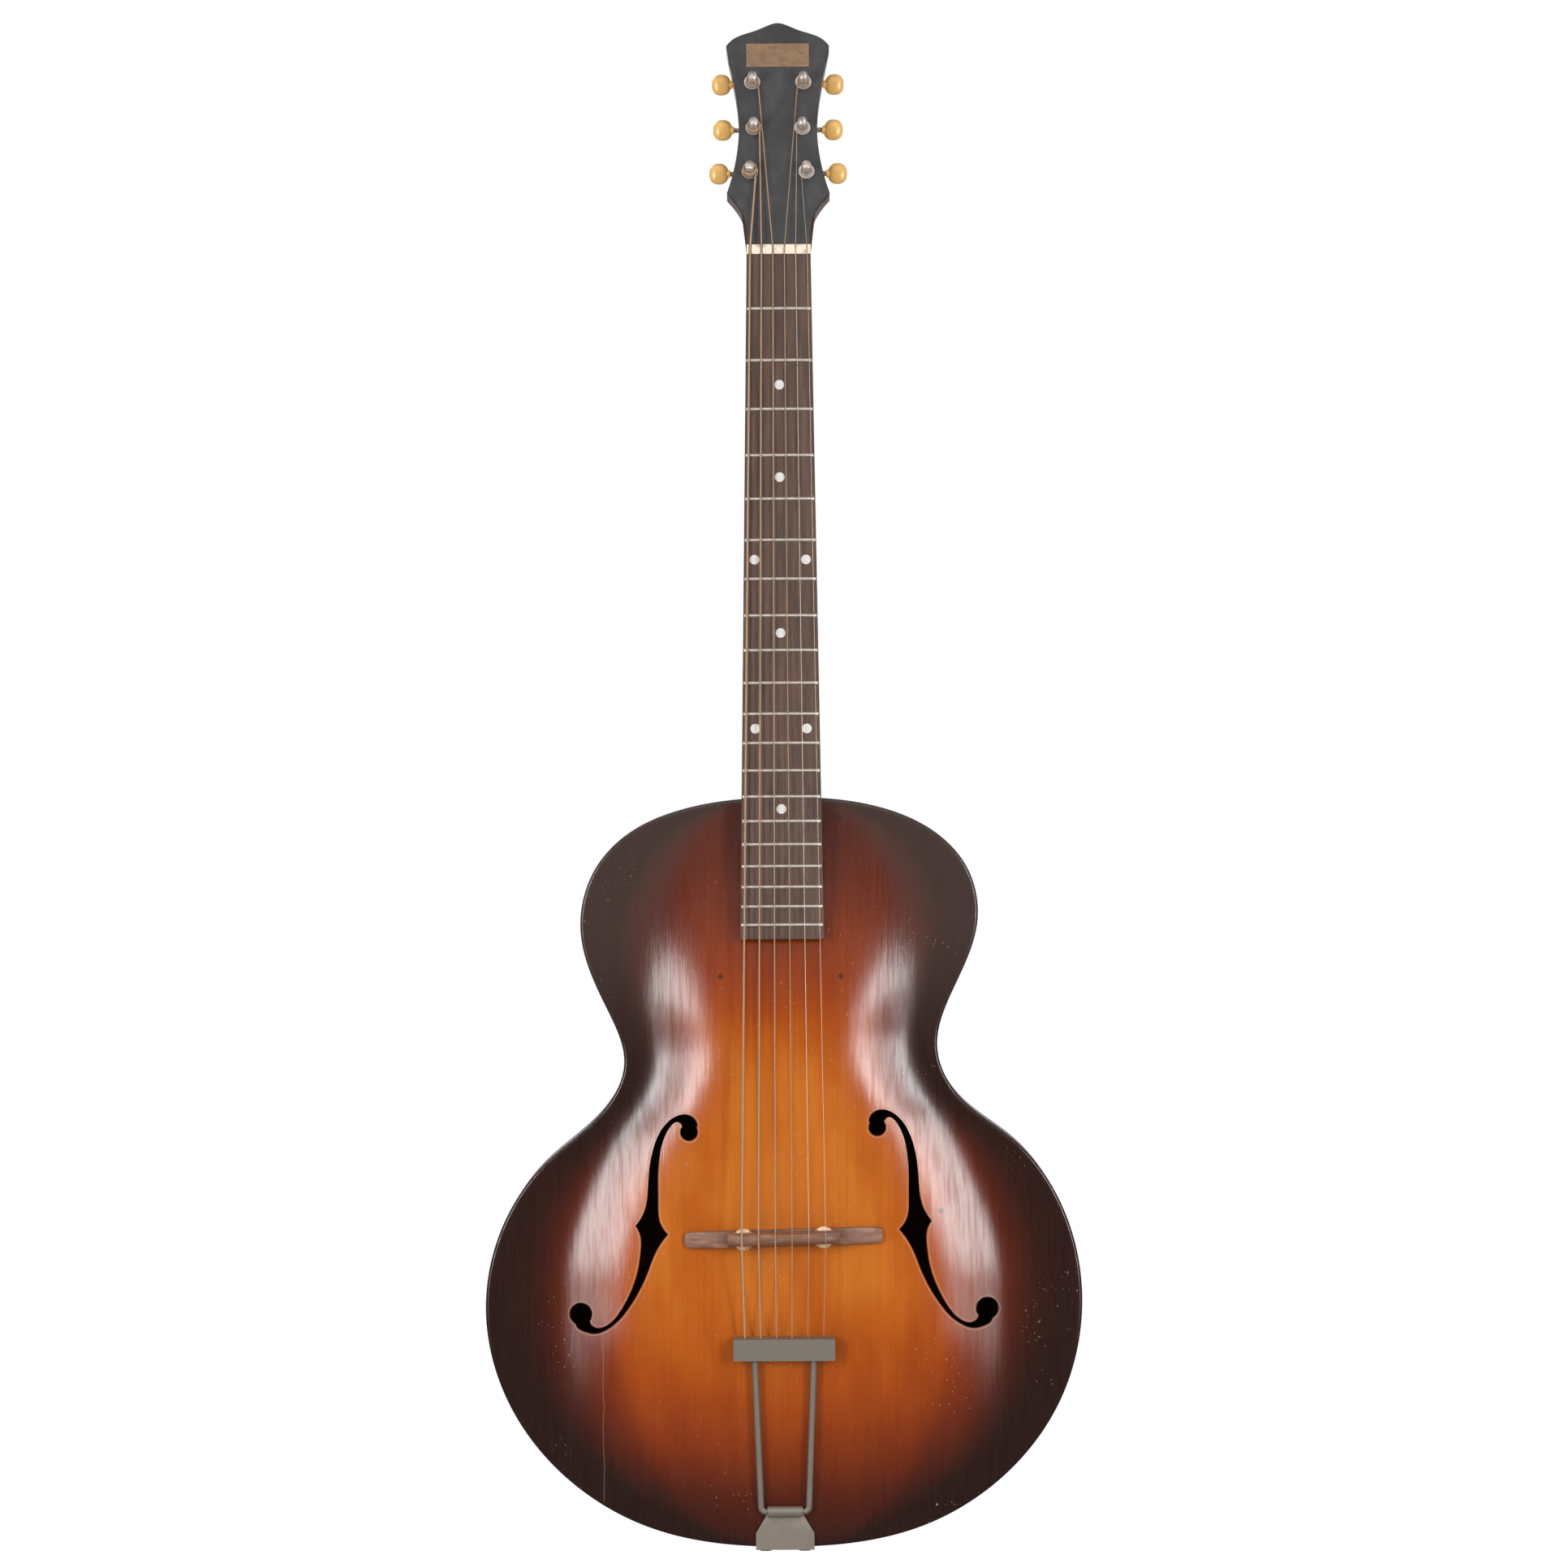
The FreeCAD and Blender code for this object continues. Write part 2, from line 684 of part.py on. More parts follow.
def side_strip(curve, sign, outer, inner, front, depth):
    """A wall along one side of the outline, between two insets, from a front level and so deep."""
    far = inset_curve(curve, sign, outer) if outer else curve
    near = inset_curve(curve, sign, inner)
    edges = [far, near, Part.LineSegment(far.EndPoint, near.EndPoint)]
    edges.append(Part.LineSegment(near.StartPoint, far.StartPoint))
    face = Part.Face(Part.Wire(Part.__sortEdges__([edge.toShape() for edge in edges])))
    face.translate(Vector(0, front, 0))
    return face.extrude(Vector(0, depth, 0))


def tail_screw_places():
    """Expressions of the bracket's screws on the tail: across, and back from the front edge."""
    rows = [f"{share} * sizes.bracket_drop" for share in TAIL_SCREW_ROW_SHARES]
    half = "sizes.tail_screw_spread / 2"
    return [(f"-{half}", rows[0]), (half, rows[0]), ("0", rows[1])]


def tail_screw_bores():
    """Bores for the tailpiece's screws, through the sides into the tail block."""
    start = -size("body_length") - size("overrun")
    length = size("tail_screw_length") + size("overrun") - size("bracket_sheet") - size("glue_gap")
    radius = size("tail_screw_radius")
    feet = [Vector(value(x), value(y), start) for x, y in tail_screw_places()]
    return [Part.makeCylinder(radius, length, foot, ALONG_Z) for foot in feet]


def rim():
    """Sides, linings and end blocks, between the two plates."""
    gap = size("glue_gap")
    front = size("plate_thickness") + gap
    depth = size("rim_depth") - 2 * front
    length = size("body_length")
    wall = size("side_thickness")
    past = size("overrun")
    tenon = size("tenon_width") + 2 * size("running_gap")
    mortise_corner = Vector(-tenon / 2, -past, -size("tenon_length") - size("running_gap"))
    mortise = Part.makeBox(tenon, size("rim_depth") + 2 * past, size("tenon_length") + past, mortise_corner)
    bores = tail_screw_bores()
    sides = (("bass_side", BASS_CURVE, -1), ("treble_side", TREBLE_CURVE, 1))
    for label, curve, sign in sides:
        shaped(label, side_strip(curve, sign, 0, wall, front, depth).cut([mortise] + bores), BODY)
    filled = outline_prism(wall, front, depth)
    wide, tall = size("neck_block_width"), size("neck_block_length")
    upper = Part.makeBox(wide, depth, tall, Vector(-wide / 2, front, -tall))
    shaped("neck_block", filled.common(upper).cut(mortise), BODY)
    wide, tall = size("tail_block_width"), size("tail_block_length")
    lower = Part.makeBox(wide, depth, tall, Vector(-wide / 2, front, -length))
    shaped("tail_block", filled.common(lower).cut(bores), BODY)
    height = size("lining_height")
    strips = []
    for level in (front, front + depth - height):
        for _, curve, sign in sides:
            strip = side_strip(curve, sign, wall, wall + size("lining_width"), level, height)
            strips += strip.cut([upper, lower]).Solids
    shaped("linings", Part.makeCompound(strips), BODY)


def tone_bars():
    """Two bars glued under the top, one each side, following its arch."""
    under = TOP_FACE.copy()
    under.translate(Vector(0, size("plate_thickness"), 0))
    layer = under.extrude(Vector(0, size("tone_bar_height"), 0))
    width, length = size("tone_bar_width"), size("tone_bar_length")
    reach = size("top_arch") + size("tone_bar_height") + size("overrun")
    foot = -(size("body_length") + length) / 2
    bars = []
    for sign in (-1, 1):
        corner = Vector(sign * size("tone_bar_spread") / 2 - width / 2, -reach, foot)
        bars += layer.common(Part.makeBox(width, 2 * reach, length, corner)).Solids
    shaped("tone_bars", Part.makeCompound(bars), BODY)


def section(width, depth, roundness, level):
    """A neck section: a flat front and a rounded back, as a closed wire across Z."""
    curve = []
    for index in range(SECTION_POINTS):
        angle = math.pi * index / (SECTION_POINTS - 1)
        across = abs(math.cos(angle)) ** (2 / roundness) * math.copysign(1, math.cos(angle))
        back = abs(math.sin(angle)) ** (2 / roundness)
        curve.append(Vector(width / 2 * across, depth * back, level))
    front = Part.LineSegment(curve[-1], curve[0]).toShape()
    return Part.Wire([smooth_edge(curve).toShape(), front])


def neck_width(reach):
    """Width of neck and board at a distance from the nut."""
    share = reach / value(BOARD_LENGTH)
    return size("nut_width") + share * (size("board_end_width") - size("nut_width"))


def head_face():
    """The headstock's front outline: waisted sides, eared corners and a crest."""
    length = size("head_length")

    def edge_points(shares, sign):
        return [Vector(sign * share * size(width) / 2, 0, along * length) for along, width, share in shares]

    edges = []
    crest = []
    for sign in (1, -1):
        root = Vector(sign * size("nut_width") / 2, 0, 0)
        ear = Vector(sign * size("head_ear_width") / 2, 0, HEAD_EAR_SHARE * length)
        corner = Vector(sign * size("head_top_width") / 2, 0, HEAD_CORNER_SHARE * length)
        edges.append(smooth_edge([root] + edge_points(HEAD_LOWER_SHARES, sign) + [ear]).toShape())
        edges.append(smooth_edge([ear] + edge_points(HEAD_SIDE_SHARES, sign) + [corner]).toShape())
        rise = [(along, "head_top_width", share) for along, share in HEAD_CREST_SHARES]
        crest.append([corner] + edge_points(rise, sign))
    peak = Vector(0, 0, length)
    edges.append(smooth_edge(crest[0] + [peak] + crest[1][::-1]).toShape())
    half = Vector(size("nut_width") / 2, 0, 0)
    edges.append(Part.LineSegment(-half, half).toShape())
    return Part.Face(Part.Wire(Part.__sortEdges__(edges)))


def tuner_places():
    """Each tuner: its string's number, its side, and its post's expressions across and up the head."""
    ranks = ("low", "middle", "top")
    places = []
    for index in range(len(STRINGS)):
        sign = -1 if index < len(ranks) else 1
        rank = ranks[index if sign < 0 else len(STRINGS) - 1 - index]
        out = f"({sign} * sizes.post_out_{rank})"
        places.append((len(STRINGS) - index, sign, out, f"sizes.post_rise_{rank}"))
    return places


def head_bores():
    """Holes through the headstock for bushings, posts and plate screws, in the head's frame."""
    veneer, core, past = size("veneer_thickness"), size("head_core"), size("overrun")
    sleeve = size("bushing_sleeve_length")
    bores = []
    for _, _, out, rise in tuner_places():
        x, z = value(out), value(rise)
        start = Vector(x, -veneer - past, z)
        bores.append(Part.makeCylinder(size("bushing_sleeve_radius"), sleeve + past, start, ALONG_Y))
        through = size("post_radius") + size("clear_gap")
        bores.append(Part.makeCylinder(through, veneer + core + 2 * past, start, ALONG_Y))
        for level in (z + size("tuner_screw_up"), z - size("tuner_screw_down")):
            length = size("tuner_screw_length")
            tip = Vector(x, core + size("tuner_plate_thickness") - length, level)
            bores.append(Part.makeCylinder(size("tuner_screw_radius"), length, tip, ALONG_Y))
    return bores


def heel():
    """The heel: flat against the body, rounded in front, narrowing towards the back."""
    root_width = neck_width(value(JOINT))
    wires = []
    for down, wide, long in HEEL_SHARES:
        width = size("heel_cap_width") + wide * (root_width - size("heel_cap_width"))
        length = size("heel_cap_length") + long * (size("heel_root_length") - size("heel_cap_length"))
        wire = section(width, length + size("overrun"), NECK_ROUNDNESS, 0)
        wire.rotate(Vector(), ALONG_X, 90)
        wire.translate(Vector(0, down * size("rim_depth"), -size("overrun")))
        wires.append(wire)
    return put(Part.makeLoft(wires, True, False), frame(BODY))


def neck():
    """Shaft, heel and tenon, the support under the board's end, and the headstock's core."""
    neck_frame, head_frame, body_frame = frame(NECK), frame(HEAD), frame(BODY)
    joint = value(JOINT)
    past = size("overrun")
    near = section(size("nut_width"), size("neck_depth_at_nut"), NECK_ROUNDNESS, size("nut_thickness"))
    far = section(neck_width(joint), size("neck_depth_at_joint"), NECK_ROUNDNESS, -joint - past)
    shaft = put(Part.makeLoft([near, far], True, True), neck_frame)
    ear = HEAD_EAR_SHARE * size("head_length")
    root = section(size("nut_width"), size("neck_depth_at_nut"), NECK_ROUNDNESS, 0)
    full = section(2 * size("head_ear_width"), 2 * size("head_core"), HEAD_SQUARENESS, ear)
    flare = put(Part.makeLoft([root, full], True, True), head_frame)
    core = put(head_face().extrude(Vector(0, size("head_core"), 0)), head_frame)
    reach = size("head_length") + past
    half = size("head_ear_width")
    low = put(Part.makeBox(2 * half, reach, ear, Vector(-half, -reach / 2, 0)), head_frame)
    head = [core.cut(low), core.common(low).common(flare)]
    throat_end = section(size("head_waist_width"), size("head_core"), NECK_ROUNDNESS, ear)
    throat = Part.makeLoft([put(root, neck_frame), put(throat_end, head_frame)], True, True)
    board = value(BOARD_LENGTH)
    drop = (board - joint) * math.cos(math.radians(size("neck_angle")))
    fall = (board - joint) * math.sin(math.radians(size("neck_angle")))
    end_room = size("board_standoff") + fall - size("top_arch") * value(crown_share(str(drop)))
    support = []
    for distance, room in ((joint, size("board_standoff")), (board, end_room)):
        thick = room - size("riser_gap")
        half = neck_width(distance) / 2
        corners = [Vector(-half, 0, -distance), Vector(half, 0, -distance)]
        corners += [Vector(half, thick, -distance), Vector(-half, thick, -distance)]
        support.append(Part.makePolygon(corners + corners[:1]))
    riser = put(Part.makeLoft(support, True, True), neck_frame)
    solid = shaft.fuse([heel(), throat, riser] + head)
    envelope = outline_prism(0, -size("glue_gap"), size("rim_depth") + 2 * past)
    solid = solid.cut(put(envelope, body_frame))
    inset = size("tenon_end_inset")
    wide = size("tenon_width")
    tenon_corner = Vector(-wide / 2, inset, -size("tenon_length"))
    tenon = Part.makeBox(wide, size("rim_depth") - 2 * inset, size("tenon_length") + past, tenon_corner)
    solid = solid.fuse(put(tenon, body_frame))
    bar_length = joint - 2 * size("bar_end_inset")
    corner = Vector(-size("bar_width") / 2, 0, size("bar_end_inset") - joint)
    channel = put(Part.makeBox(size("bar_width"), size("bar_depth"), bar_length, corner), neck_frame)
    solid = solid.cut([channel] + [put(bore, head_frame) for bore in head_bores()])
    shaped("neck", solid.Solids[0])
    bar = block("neck_bar_box", "-sizes.bar_width / 2", "0", f"sizes.bar_end_inset - {JOINT}",
                "sizes.bar_width", "sizes.bar_depth", f"{JOINT} - 2 * sizes.bar_end_inset")
    node(gathered("neck_bar_group", [bar]), "neck_bar", NECK)


def headstock_face():
    """The veneer on the headstock's front, and the blank label on it."""
    veneer = head_face().extrude(Vector(0, -size("veneer_thickness"), 0))
    shaped("headstock_veneer", veneer.cut(head_bores()), HEAD)
    body = part_body("label_body")
    half = "sizes.label_width / 2"
    tall = "sizes.label_height / 2"
    corners = [(f"-{half}", f"-{tall}"), (half, f"-{tall}"), (half, tall), (f"-{half}", tall)]
    outline = polygon(sketch(body, "XZ_Plane", "label_outline"), corners)
    pad(body, outline, "label_pad", "sizes.label_thickness")
    node(body, "label_plate", HEAD + " * " + shift(y="-sizes.veneer_thickness", z="sizes.label_rise"))


def board_cylinder(name):
    """The round that the fingerboard's front is planed to."""
    return rod(name, ALONG_Z, "0", "sizes.board_radius - sizes.board_thickness",
               f"-{BOARD_LENGTH} - sizes.overrun", "sizes.board_radius",
               f"{BOARD_LENGTH} + 2 * sizes.overrun")


def ring_piece(profile, width):
    """A profile in the YZ plane swung round the board's own axis, across a width."""
    axis = Vector(0, size("board_radius") - size("board_thickness"), 0)
    half = math.degrees(math.asin(width / 2 / size("board_radius")))
    face = Part.Face(profile)
    face.rotate(axis, ALONG_Z, -half)
    return face.revolve(axis, ALONG_Z, 2 * half)


def fret_profiles(level):
    """Profiles of a fret, with its rounded crown and its tang, and of the slot for the tang."""
    front = -size("board_thickness")
    half, tang = size("fret_width") / 2, size("tang_width") / 2
    seat = [Vector(0, front, level + half), Vector(0, front, level - half)]
    top = Vector(0, front - size("fret_crown"), level)
    deep = front + size("tang_depth")
    rest = [seat[1], Vector(0, front, level - tang), Vector(0, deep, level - tang)]
    rest += [Vector(0, deep, level + tang), Vector(0, front, level + tang), seat[0]]
    crown = Part.Arc(seat[0], top, seat[1]).toShape()
    fret = Part.Wire([crown] + Part.makePolygon(rest).Edges)
    raised = Vector(0, -size("overrun"), 0)
    slot = [rest[2], rest[3], rest[4] + raised, rest[1] + raised, rest[2]]
    return fret, Part.makePolygon(slot)


def fingerboard():
    """Tapered board with a round front, its frets and its position dots."""
    body = part_body("board_blank")
    near, far = "sizes.nut_width / 2", "sizes.board_end_width / 2"
    end = f"-{BOARD_LENGTH}"
    plan = sketch(body, "XZ_Plane", "board_plan")
    polygon(plan, [(f"-{near}", "0"), (f"-{far}", end), (far, end), (near, "0")])
    pad(body, plan, "board_pad", "sizes.board_thickness")
    frets, slots = [], []
    for fret in range(1, FRETS + 1):
        reach = value(fret_reach(fret))
        width = neck_width(reach)
        profile, slot = fret_profiles(-reach)
        frets.append(ring_piece(profile, width - 2 * size("fret_end_inset")))
        slots.append(ring_piece(slot, width + 2 * size("overrun")))
    shaped("frets", Part.makeCompound(frets), NECK)
    slot_group = doc.addObject("Part::Feature", "fret_slots")
    slot_group.Shape = Part.makeCompound(slots)
    dots = []
    for fret, count in DOT_FRETS.items():
        level = f"-({fret_reach(fret)} + {fret_reach(fret - 1)}) / 2"
        for sign in ((0,) if count == 1 else (-1, 1)):
            dots.append(rod(f"dot_{fret}_{sign + 1}", ALONG_Y, f"{sign} * sizes.dot_spread / 2",
                            "-sizes.board_thickness - sizes.overrun", level, "sizes.dot_diameter / 2",
                            "sizes.dot_depth + sizes.overrun"))
    crowned = within("board_crowned", body, board_cylinder("board_round"))
    node(without("board_cut", crowned, [slot_group] + dots), "fingerboard", NECK)
    dot_blanks = gathered("dot_blanks", dots)
    node(within("dots_crowned", dot_blanks, board_cylinder("dot_round")), "position_dots", NECK)


def string_at(index, spread):
    """Place across of a string among its neighbours."""
    return size(spread) * (index / (len(STRINGS) - 1) - 0.5)


def string_corners(index):
    """Where a string bends: at its ball end, on the saddle and on the nut."""
    gauge = size("string_" + STRINGS[index])
    ball_level = value(TAIL_RISE) + size("tail_bar_height") - size("tail_bar_sheet")
    ball_level -= size("clear_gap") + size("ball_radius")
    ball = frame(TAIL).multVec(Vector(string_at(index, "strings_at_tail"), 0, ball_level))
    x = string_at(index, "strings_at_bridge")
    sag = x * x / (2 * size("board_radius"))
    saddle = frame(BRIDGE).multVec(Vector(x, sag - value(BRIDGE_HEIGHT), 0))
    x = string_at(index, "strings_at_nut")
    sag = x * x / (2 * size("board_radius"))
    height = size("board_thickness") + size("fret_crown") + gauge / 2
    nut = frame(NECK).multVec(Vector(x, sag - height, size("nut_thickness") / 2))
    return ball, saddle, nut


def bend(before, corner, after):
    """A tangent arc at a corner, with its two ends."""
    back, onward = (before - corner).normalize(), (after - corner).normalize()
    turn = math.pi - back.getAngle(onward)
    reach = size("string_bend") * math.tan(turn / 2)
    start, finish = corner + back * reach, corner + onward * reach
    inner = (back + onward).normalize()
    depth = size("string_bend") / math.cos(turn / 2) - size("string_bend")
    return start, Part.Arc(start, corner + inner * depth, finish), finish


def biarc(start, direction, finish, heading):
    """Two arcs that join two points in given directions."""
    chord = finish - start
    total = direction + heading
    denominator = 2 * (1 - direction.dot(heading))
    slope = chord.dot(total)
    reach = (math.sqrt(slope * slope + denominator * chord.dot(chord)) - slope) / denominator
    first, second = start + direction * reach, finish - heading * reach
    middle = (first + second) * 0.5
    arcs = []
    for near, control, far in ((start, first, middle), (middle, second, finish)):
        base = (near + far) * 0.5
        cosine = (far - near).Length / 2 / reach
        arcs.append(Part.Arc(near, base + (control - base) * (cosine / (1 + cosine)), far))
    return arcs


def turns_on_post(index, nut):
    """Where a string meets its post, and its turns there as quarter-turn points and directions."""
    _, sign, out, rise = tuner_places()[index]
    head_frame = frame(HEAD)
    gauge = size("string_" + STRINGS[index])
    radius = size("post_radius") + size("clear_gap") + gauge / 2
    pitch = gauge + size("turn_gap")
    level = size("veneer_thickness") + size("bushing_flange_height") + size("clear_gap") + gauge
    centre = Vector(value(out), 0, value(rise))
    local = head_frame.inverse().multVec(nut)
    gap = Vector(local.x, 0, local.z) - centre
    start = math.atan2(gap.z, gap.x) - sign * math.acos(radius / gap.Length)
    quarters = int(4 * POST_TURNS)
    points, headings = [], []
    for quarter in range(quarters + 1):
        angle = start - sign * quarter * math.pi / 2
        out_way = Vector(math.cos(angle), 0, math.sin(angle))
        point = centre + out_way * radius - ALONG_Y * (level + pitch * quarter / 4)
        along = Vector(-math.sin(angle), 0, math.cos(angle)) * (-sign * radius * math.pi / 2)
        heading = (along - ALONG_Y * (pitch / 4)).normalize()
        points.append(head_frame.multVec(point))
        headings.append(head_frame.Rotation.multVec(heading))
    return points, headings


def string_route(index):
    """A string's path as one wire, from its ball end to its last turn on the post."""
    ball, saddle, nut = string_corners(index)
    points, headings = turns_on_post(index, nut)
    headings[0] = (points[0] - nut).normalize()
    saddle_start, saddle_arc, saddle_end = bend(ball, saddle, nut)
    nut_start, nut_arc, nut_end = bend(saddle, nut, points[0])
    pieces = [Part.LineSegment(ball, saddle_start), saddle_arc, Part.LineSegment(saddle_end, nut_start)]
    pieces += [nut_arc, Part.LineSegment(nut_end, points[0])]
    turn_arcs = []
    for quarter in range(len(points) - 1):
        turn_arcs += biarc(points[quarter], headings[quarter], points[quarter + 1], headings[quarter + 1])
    return Part.Wire([piece.toShape() for piece in pieces + turn_arcs]), turn_arcs


def least_turn_gap(arcs, gauge):
    """The least gap between one turn and the next, measured on points."""
    points = []
    for arc in arcs:
        step = (arc.LastParameter - arc.FirstParameter) / ARC_SAMPLES
        points += [arc.value(arc.FirstParameter + step * index) for index in range(ARC_SAMPLES)]
    half_turn = 4 * ARC_SAMPLES
    pairs = [(near, far) for place, near in enumerate(points) for far in points[place + half_turn:]]
    return min((near - far).Length for near, far in pairs) - gauge


def tube(route, gauge):
    """A round tube along a path."""
    start = route.Edges[0].valueAt(route.Edges[0].FirstParameter)
    heading = route.Edges[0].tangentAt(route.Edges[0].FirstParameter)
    ring = Part.Wire([Part.makeCircle(gauge / 2, start, heading)])
    shell = Part.BRepOffsetAPI.MakePipeShell(route)
    shell.add(ring)
    shell.build()
    shell.makeSolid()
    return shell.shape()


def strings():
    """Six strings, each a tube along its route with its ball end."""
    for index, name in enumerate(STRINGS):
        gauge = size("string_" + name)
        route, turn_arcs = string_route(index)
        solid = tube(route, gauge)
        share = solid.Volume / (math.pi * gauge * gauge / 4 * route.Length)
        gap = least_turn_gap(turn_arcs, gauge)
        print(f"string {name}: volume share {share:.4f}, turn gap {gap:.2f} mm")
        ball = string_corners(index)[0]
        across = ALONG_X * (size("ball_length") / 2)
        barrel = Part.makeCylinder(size("ball_radius"), size("ball_length"), ball - across, ALONG_X)
        shaped(f"string_{len(STRINGS) - index}", solid.fuse(barrel))


def groove(start, away, radius, length):
    """A round-bottomed groove from a point, so long, open to the front."""
    up = (-ALONG_Y + away * away.dot(ALONG_Y)).normalize()
    side = away.cross(up) * radius
    rim = up * size("overrun")
    bottom = Part.Arc(start + side, start - up * radius, start - side).toShape()
    walls = Part.makePolygon([start - side, start - side + rim, start + side + rim, start + side])
    return Part.Face(Part.Wire([bottom] + walls.Edges)).extrude(away * length)


def string_notches(corner_index):
    """Grooves along the strings where they bend, on the nut or the saddle."""
    grooves = []
    for index, name in enumerate(STRINGS):
        ball, saddle, nut = string_corners(index)
        first_turn = turns_on_post(index, nut)[0][0]
        corner = (saddle, nut)[corner_index]
        radius = size("string_" + name) / 2 + size("clear_gap")
        length = size("saddle_depth") + size("nut_thickness")
        pair = []
        for far in ((ball, nut), (saddle, first_turn))[corner_index]:
            away = (far - corner).normalize()
            pair.append(groove(corner - away * radius, away, radius, length))
        grooves.append(pair[0].fuse(pair[1]))
    group = doc.addObject("Part::Feature", f"string_notches_{corner_index}")
    group.Shape = Part.makeCompound(grooves)
    return group


def nut_piece():
    """The bone nut, with a groove for each string."""
    body = part_body("nut_blank")
    half = "sizes.nut_width / 2"
    crown = "-(sizes.board_thickness + sizes.nut_crown)"
    shoulder = f"({crown} + sizes.nut_width * sizes.nut_width / (8 * sizes.board_radius))"
    corners = [(f"-{half}", "0"), (half, "0"), (half, shoulder), ("0", crown), (f"-{half}", shoulder)]
    pad(body, polygon(sketch(body, "XY_Plane", "nut_front"), corners), "nut_pad", "sizes.nut_thickness")
    body.setExpression("Placement", NECK)
    node(without("nut_cut", body, [string_notches(1)]), "nut")


def bridge():
    """Base on the top, two studs, two thumbwheels and the saddle that they carry."""
    body = part_body("base_blank")
    half, middle = "sizes.base_length / 2", "sizes.base_middle / 2"
    low, tip, crest = "sizes.top_arch", f"-{BASE_TIP_SHARE} * sizes.base_height", "-sizes.base_height"
    corners = [(f"-{half}", low), (half, low), (half, tip), (middle, crest)]
    corners += [(f"-{middle}", crest), (f"-{half}", tip)]
    front = polygon(sketch(body, "XY_Plane", "base_front"), corners)
    pad(body, front, "base_pad", "sizes.base_depth", "Symmetric")
    body.setExpression("Placement", BRIDGE)
    under = doc.addObject("Part::Feature", "top_under_base")
    under.Shape = TOP_FACE.extrude(Vector(0, 2 * size("top_arch") + size("overrun"), 0))
    under.setExpression("Placement", BODY)
    seats, studs = [], []
    stud_length = "(sizes.stud_seat + sizes.wheel_lift + sizes.wheel_thickness + sizes.stud_in_saddle)"
    stud_start = "-(sizes.base_height - sizes.stud_seat) - " + stud_length
    for sign, name in ((-1, "bass"), (1, "treble")):
        x = f"{sign} * sizes.stud_spread / 2"
        studs.append(rod(f"stud_{name}", ALONG_Y, x, stud_start, "0", "sizes.stud_radius", stud_length))
        wheel = part_body(f"wheel_{name}")
        rounds = circle(sketch(wheel, "XZ_Plane", f"wheel_round_{name}"), "0", "0", "sizes.wheel_radius")
        circle(rounds, "0", "0", "sizes.stud_radius + sizes.running_gap")
        pad(wheel, rounds, f"wheel_pad_{name}", "sizes.wheel_thickness")
        notch = sketch(wheel, "XZ_Plane", f"wheel_notch_{name}")
        circle(notch, "sizes.wheel_radius", "0", "sizes.wheel_notch")
        cut = pocket(wheel, notch, f"wheel_cut_{name}")
        around(wheel, cut, "Y_Axis", WHEEL_NOTCHES, f"wheel_knurl_{name}")
        node(wheel, f"thumbwheel_{name}", BRIDGE + " * " + shift(x=x, y=f"-{WHEEL_FOOT}"))
    stud_group = gathered("stud_group", studs)
    node(stud_group, "bridge_studs", BRIDGE)
    node(without("base_cut", body, [under, stud_group]), "bridge_base")
    saddle = part_body("saddle_blank")
    half, string = "sizes.saddle_length / 2", "sizes.strings_at_bridge / 2"
    top, foot = f"-{BRIDGE_HEIGHT}", f"-{SADDLE_FOOT}"
    fall = f"({top} + sizes.strings_at_bridge * sizes.strings_at_bridge / (8 * sizes.board_radius))"
    end = f"({fall} + sizes.saddle_shoulder)"
    corners = [(f"-{half}", foot), (half, foot), (half, end), (string, fall), ("0", top)]
    corners += [(f"-{string}", fall), (f"-{half}", end)]
    front = polygon(sketch(saddle, "XY_Plane", "saddle_front"), corners)
    pad(saddle, front, "saddle_pad", "sizes.saddle_depth", "Symmetric")
    saddle.setExpression("Placement", BRIDGE)
    sockets = []
    depth = "(sizes.stud_in_saddle + sizes.wheel_lift + sizes.clear_gap)"
    for sign in (-1, 1):
        sockets.append(rod(f"saddle_socket_{sign + 1}", ALONG_Y, f"{sign} * sizes.stud_spread / 2",
                           f"-{SADDLE_FOOT} - {depth}", "0", "sizes.stud_radius + sizes.running_gap",
                           f"{depth} + sizes.overrun"))
    socket_group = gathered("saddle_sockets", sockets)
    socket_group.setExpression("Placement", BRIDGE)
    node(without("saddle_cut", saddle, [socket_group, string_notches(0)]), "bridge_saddle")


def tailpiece():
    """A sheet crossbar on a bent wire, which swings in a bracket screwed to the tail."""
    bar = part_body("tail_bar")
    low, high = TAIL_RISE, f"({TAIL_RISE} + sizes.tail_bar_height)"
    front, back = "(-sizes.tail_bar_depth / 2)", "(sizes.tail_bar_depth / 2)"
    sheet_in = "sizes.tail_bar_sheet"
    inside, under, over = f"{front} + {sheet_in}", f"{high} - {sheet_in}", f"{low} + {sheet_in}"
    corners = [(back, low), (front, low), (front, high), (back, high)]
    corners += [(back, under), (inside, under), (inside, over), (back, over)]
    channel = polygon(sketch(bar, "YZ_Plane", "bar_channel"), corners)
    pad(bar, channel, "bar_pad", "sizes.tail_bar_length", "Symmetric")
    holes = []
    for index, name in enumerate(STRINGS):
        room = f"(sizes.string_{name} / 2 + sizes.clear_gap)"
        x = f"(sizes.strings_at_tail * {index / (len(STRINGS) - 1) - 0.5})"
        slot = block(f"bar_slot_{name}", f"{x} - {room}", f"-{room} - sizes.clear_gap",
                     f"{high} - 2 * {sheet_in}", f"2 * {room}", "sizes.tail_bar_depth", f"3 * {sheet_in}")
        holes.append(slot)
    wire = tail_wire()
    holes.append(wire)
    node(without("bar_cut", bar, holes), "tailpiece_bar", TAIL)
    node(gathered("wire_group", [wire]), "tailpiece_wire", TAIL)


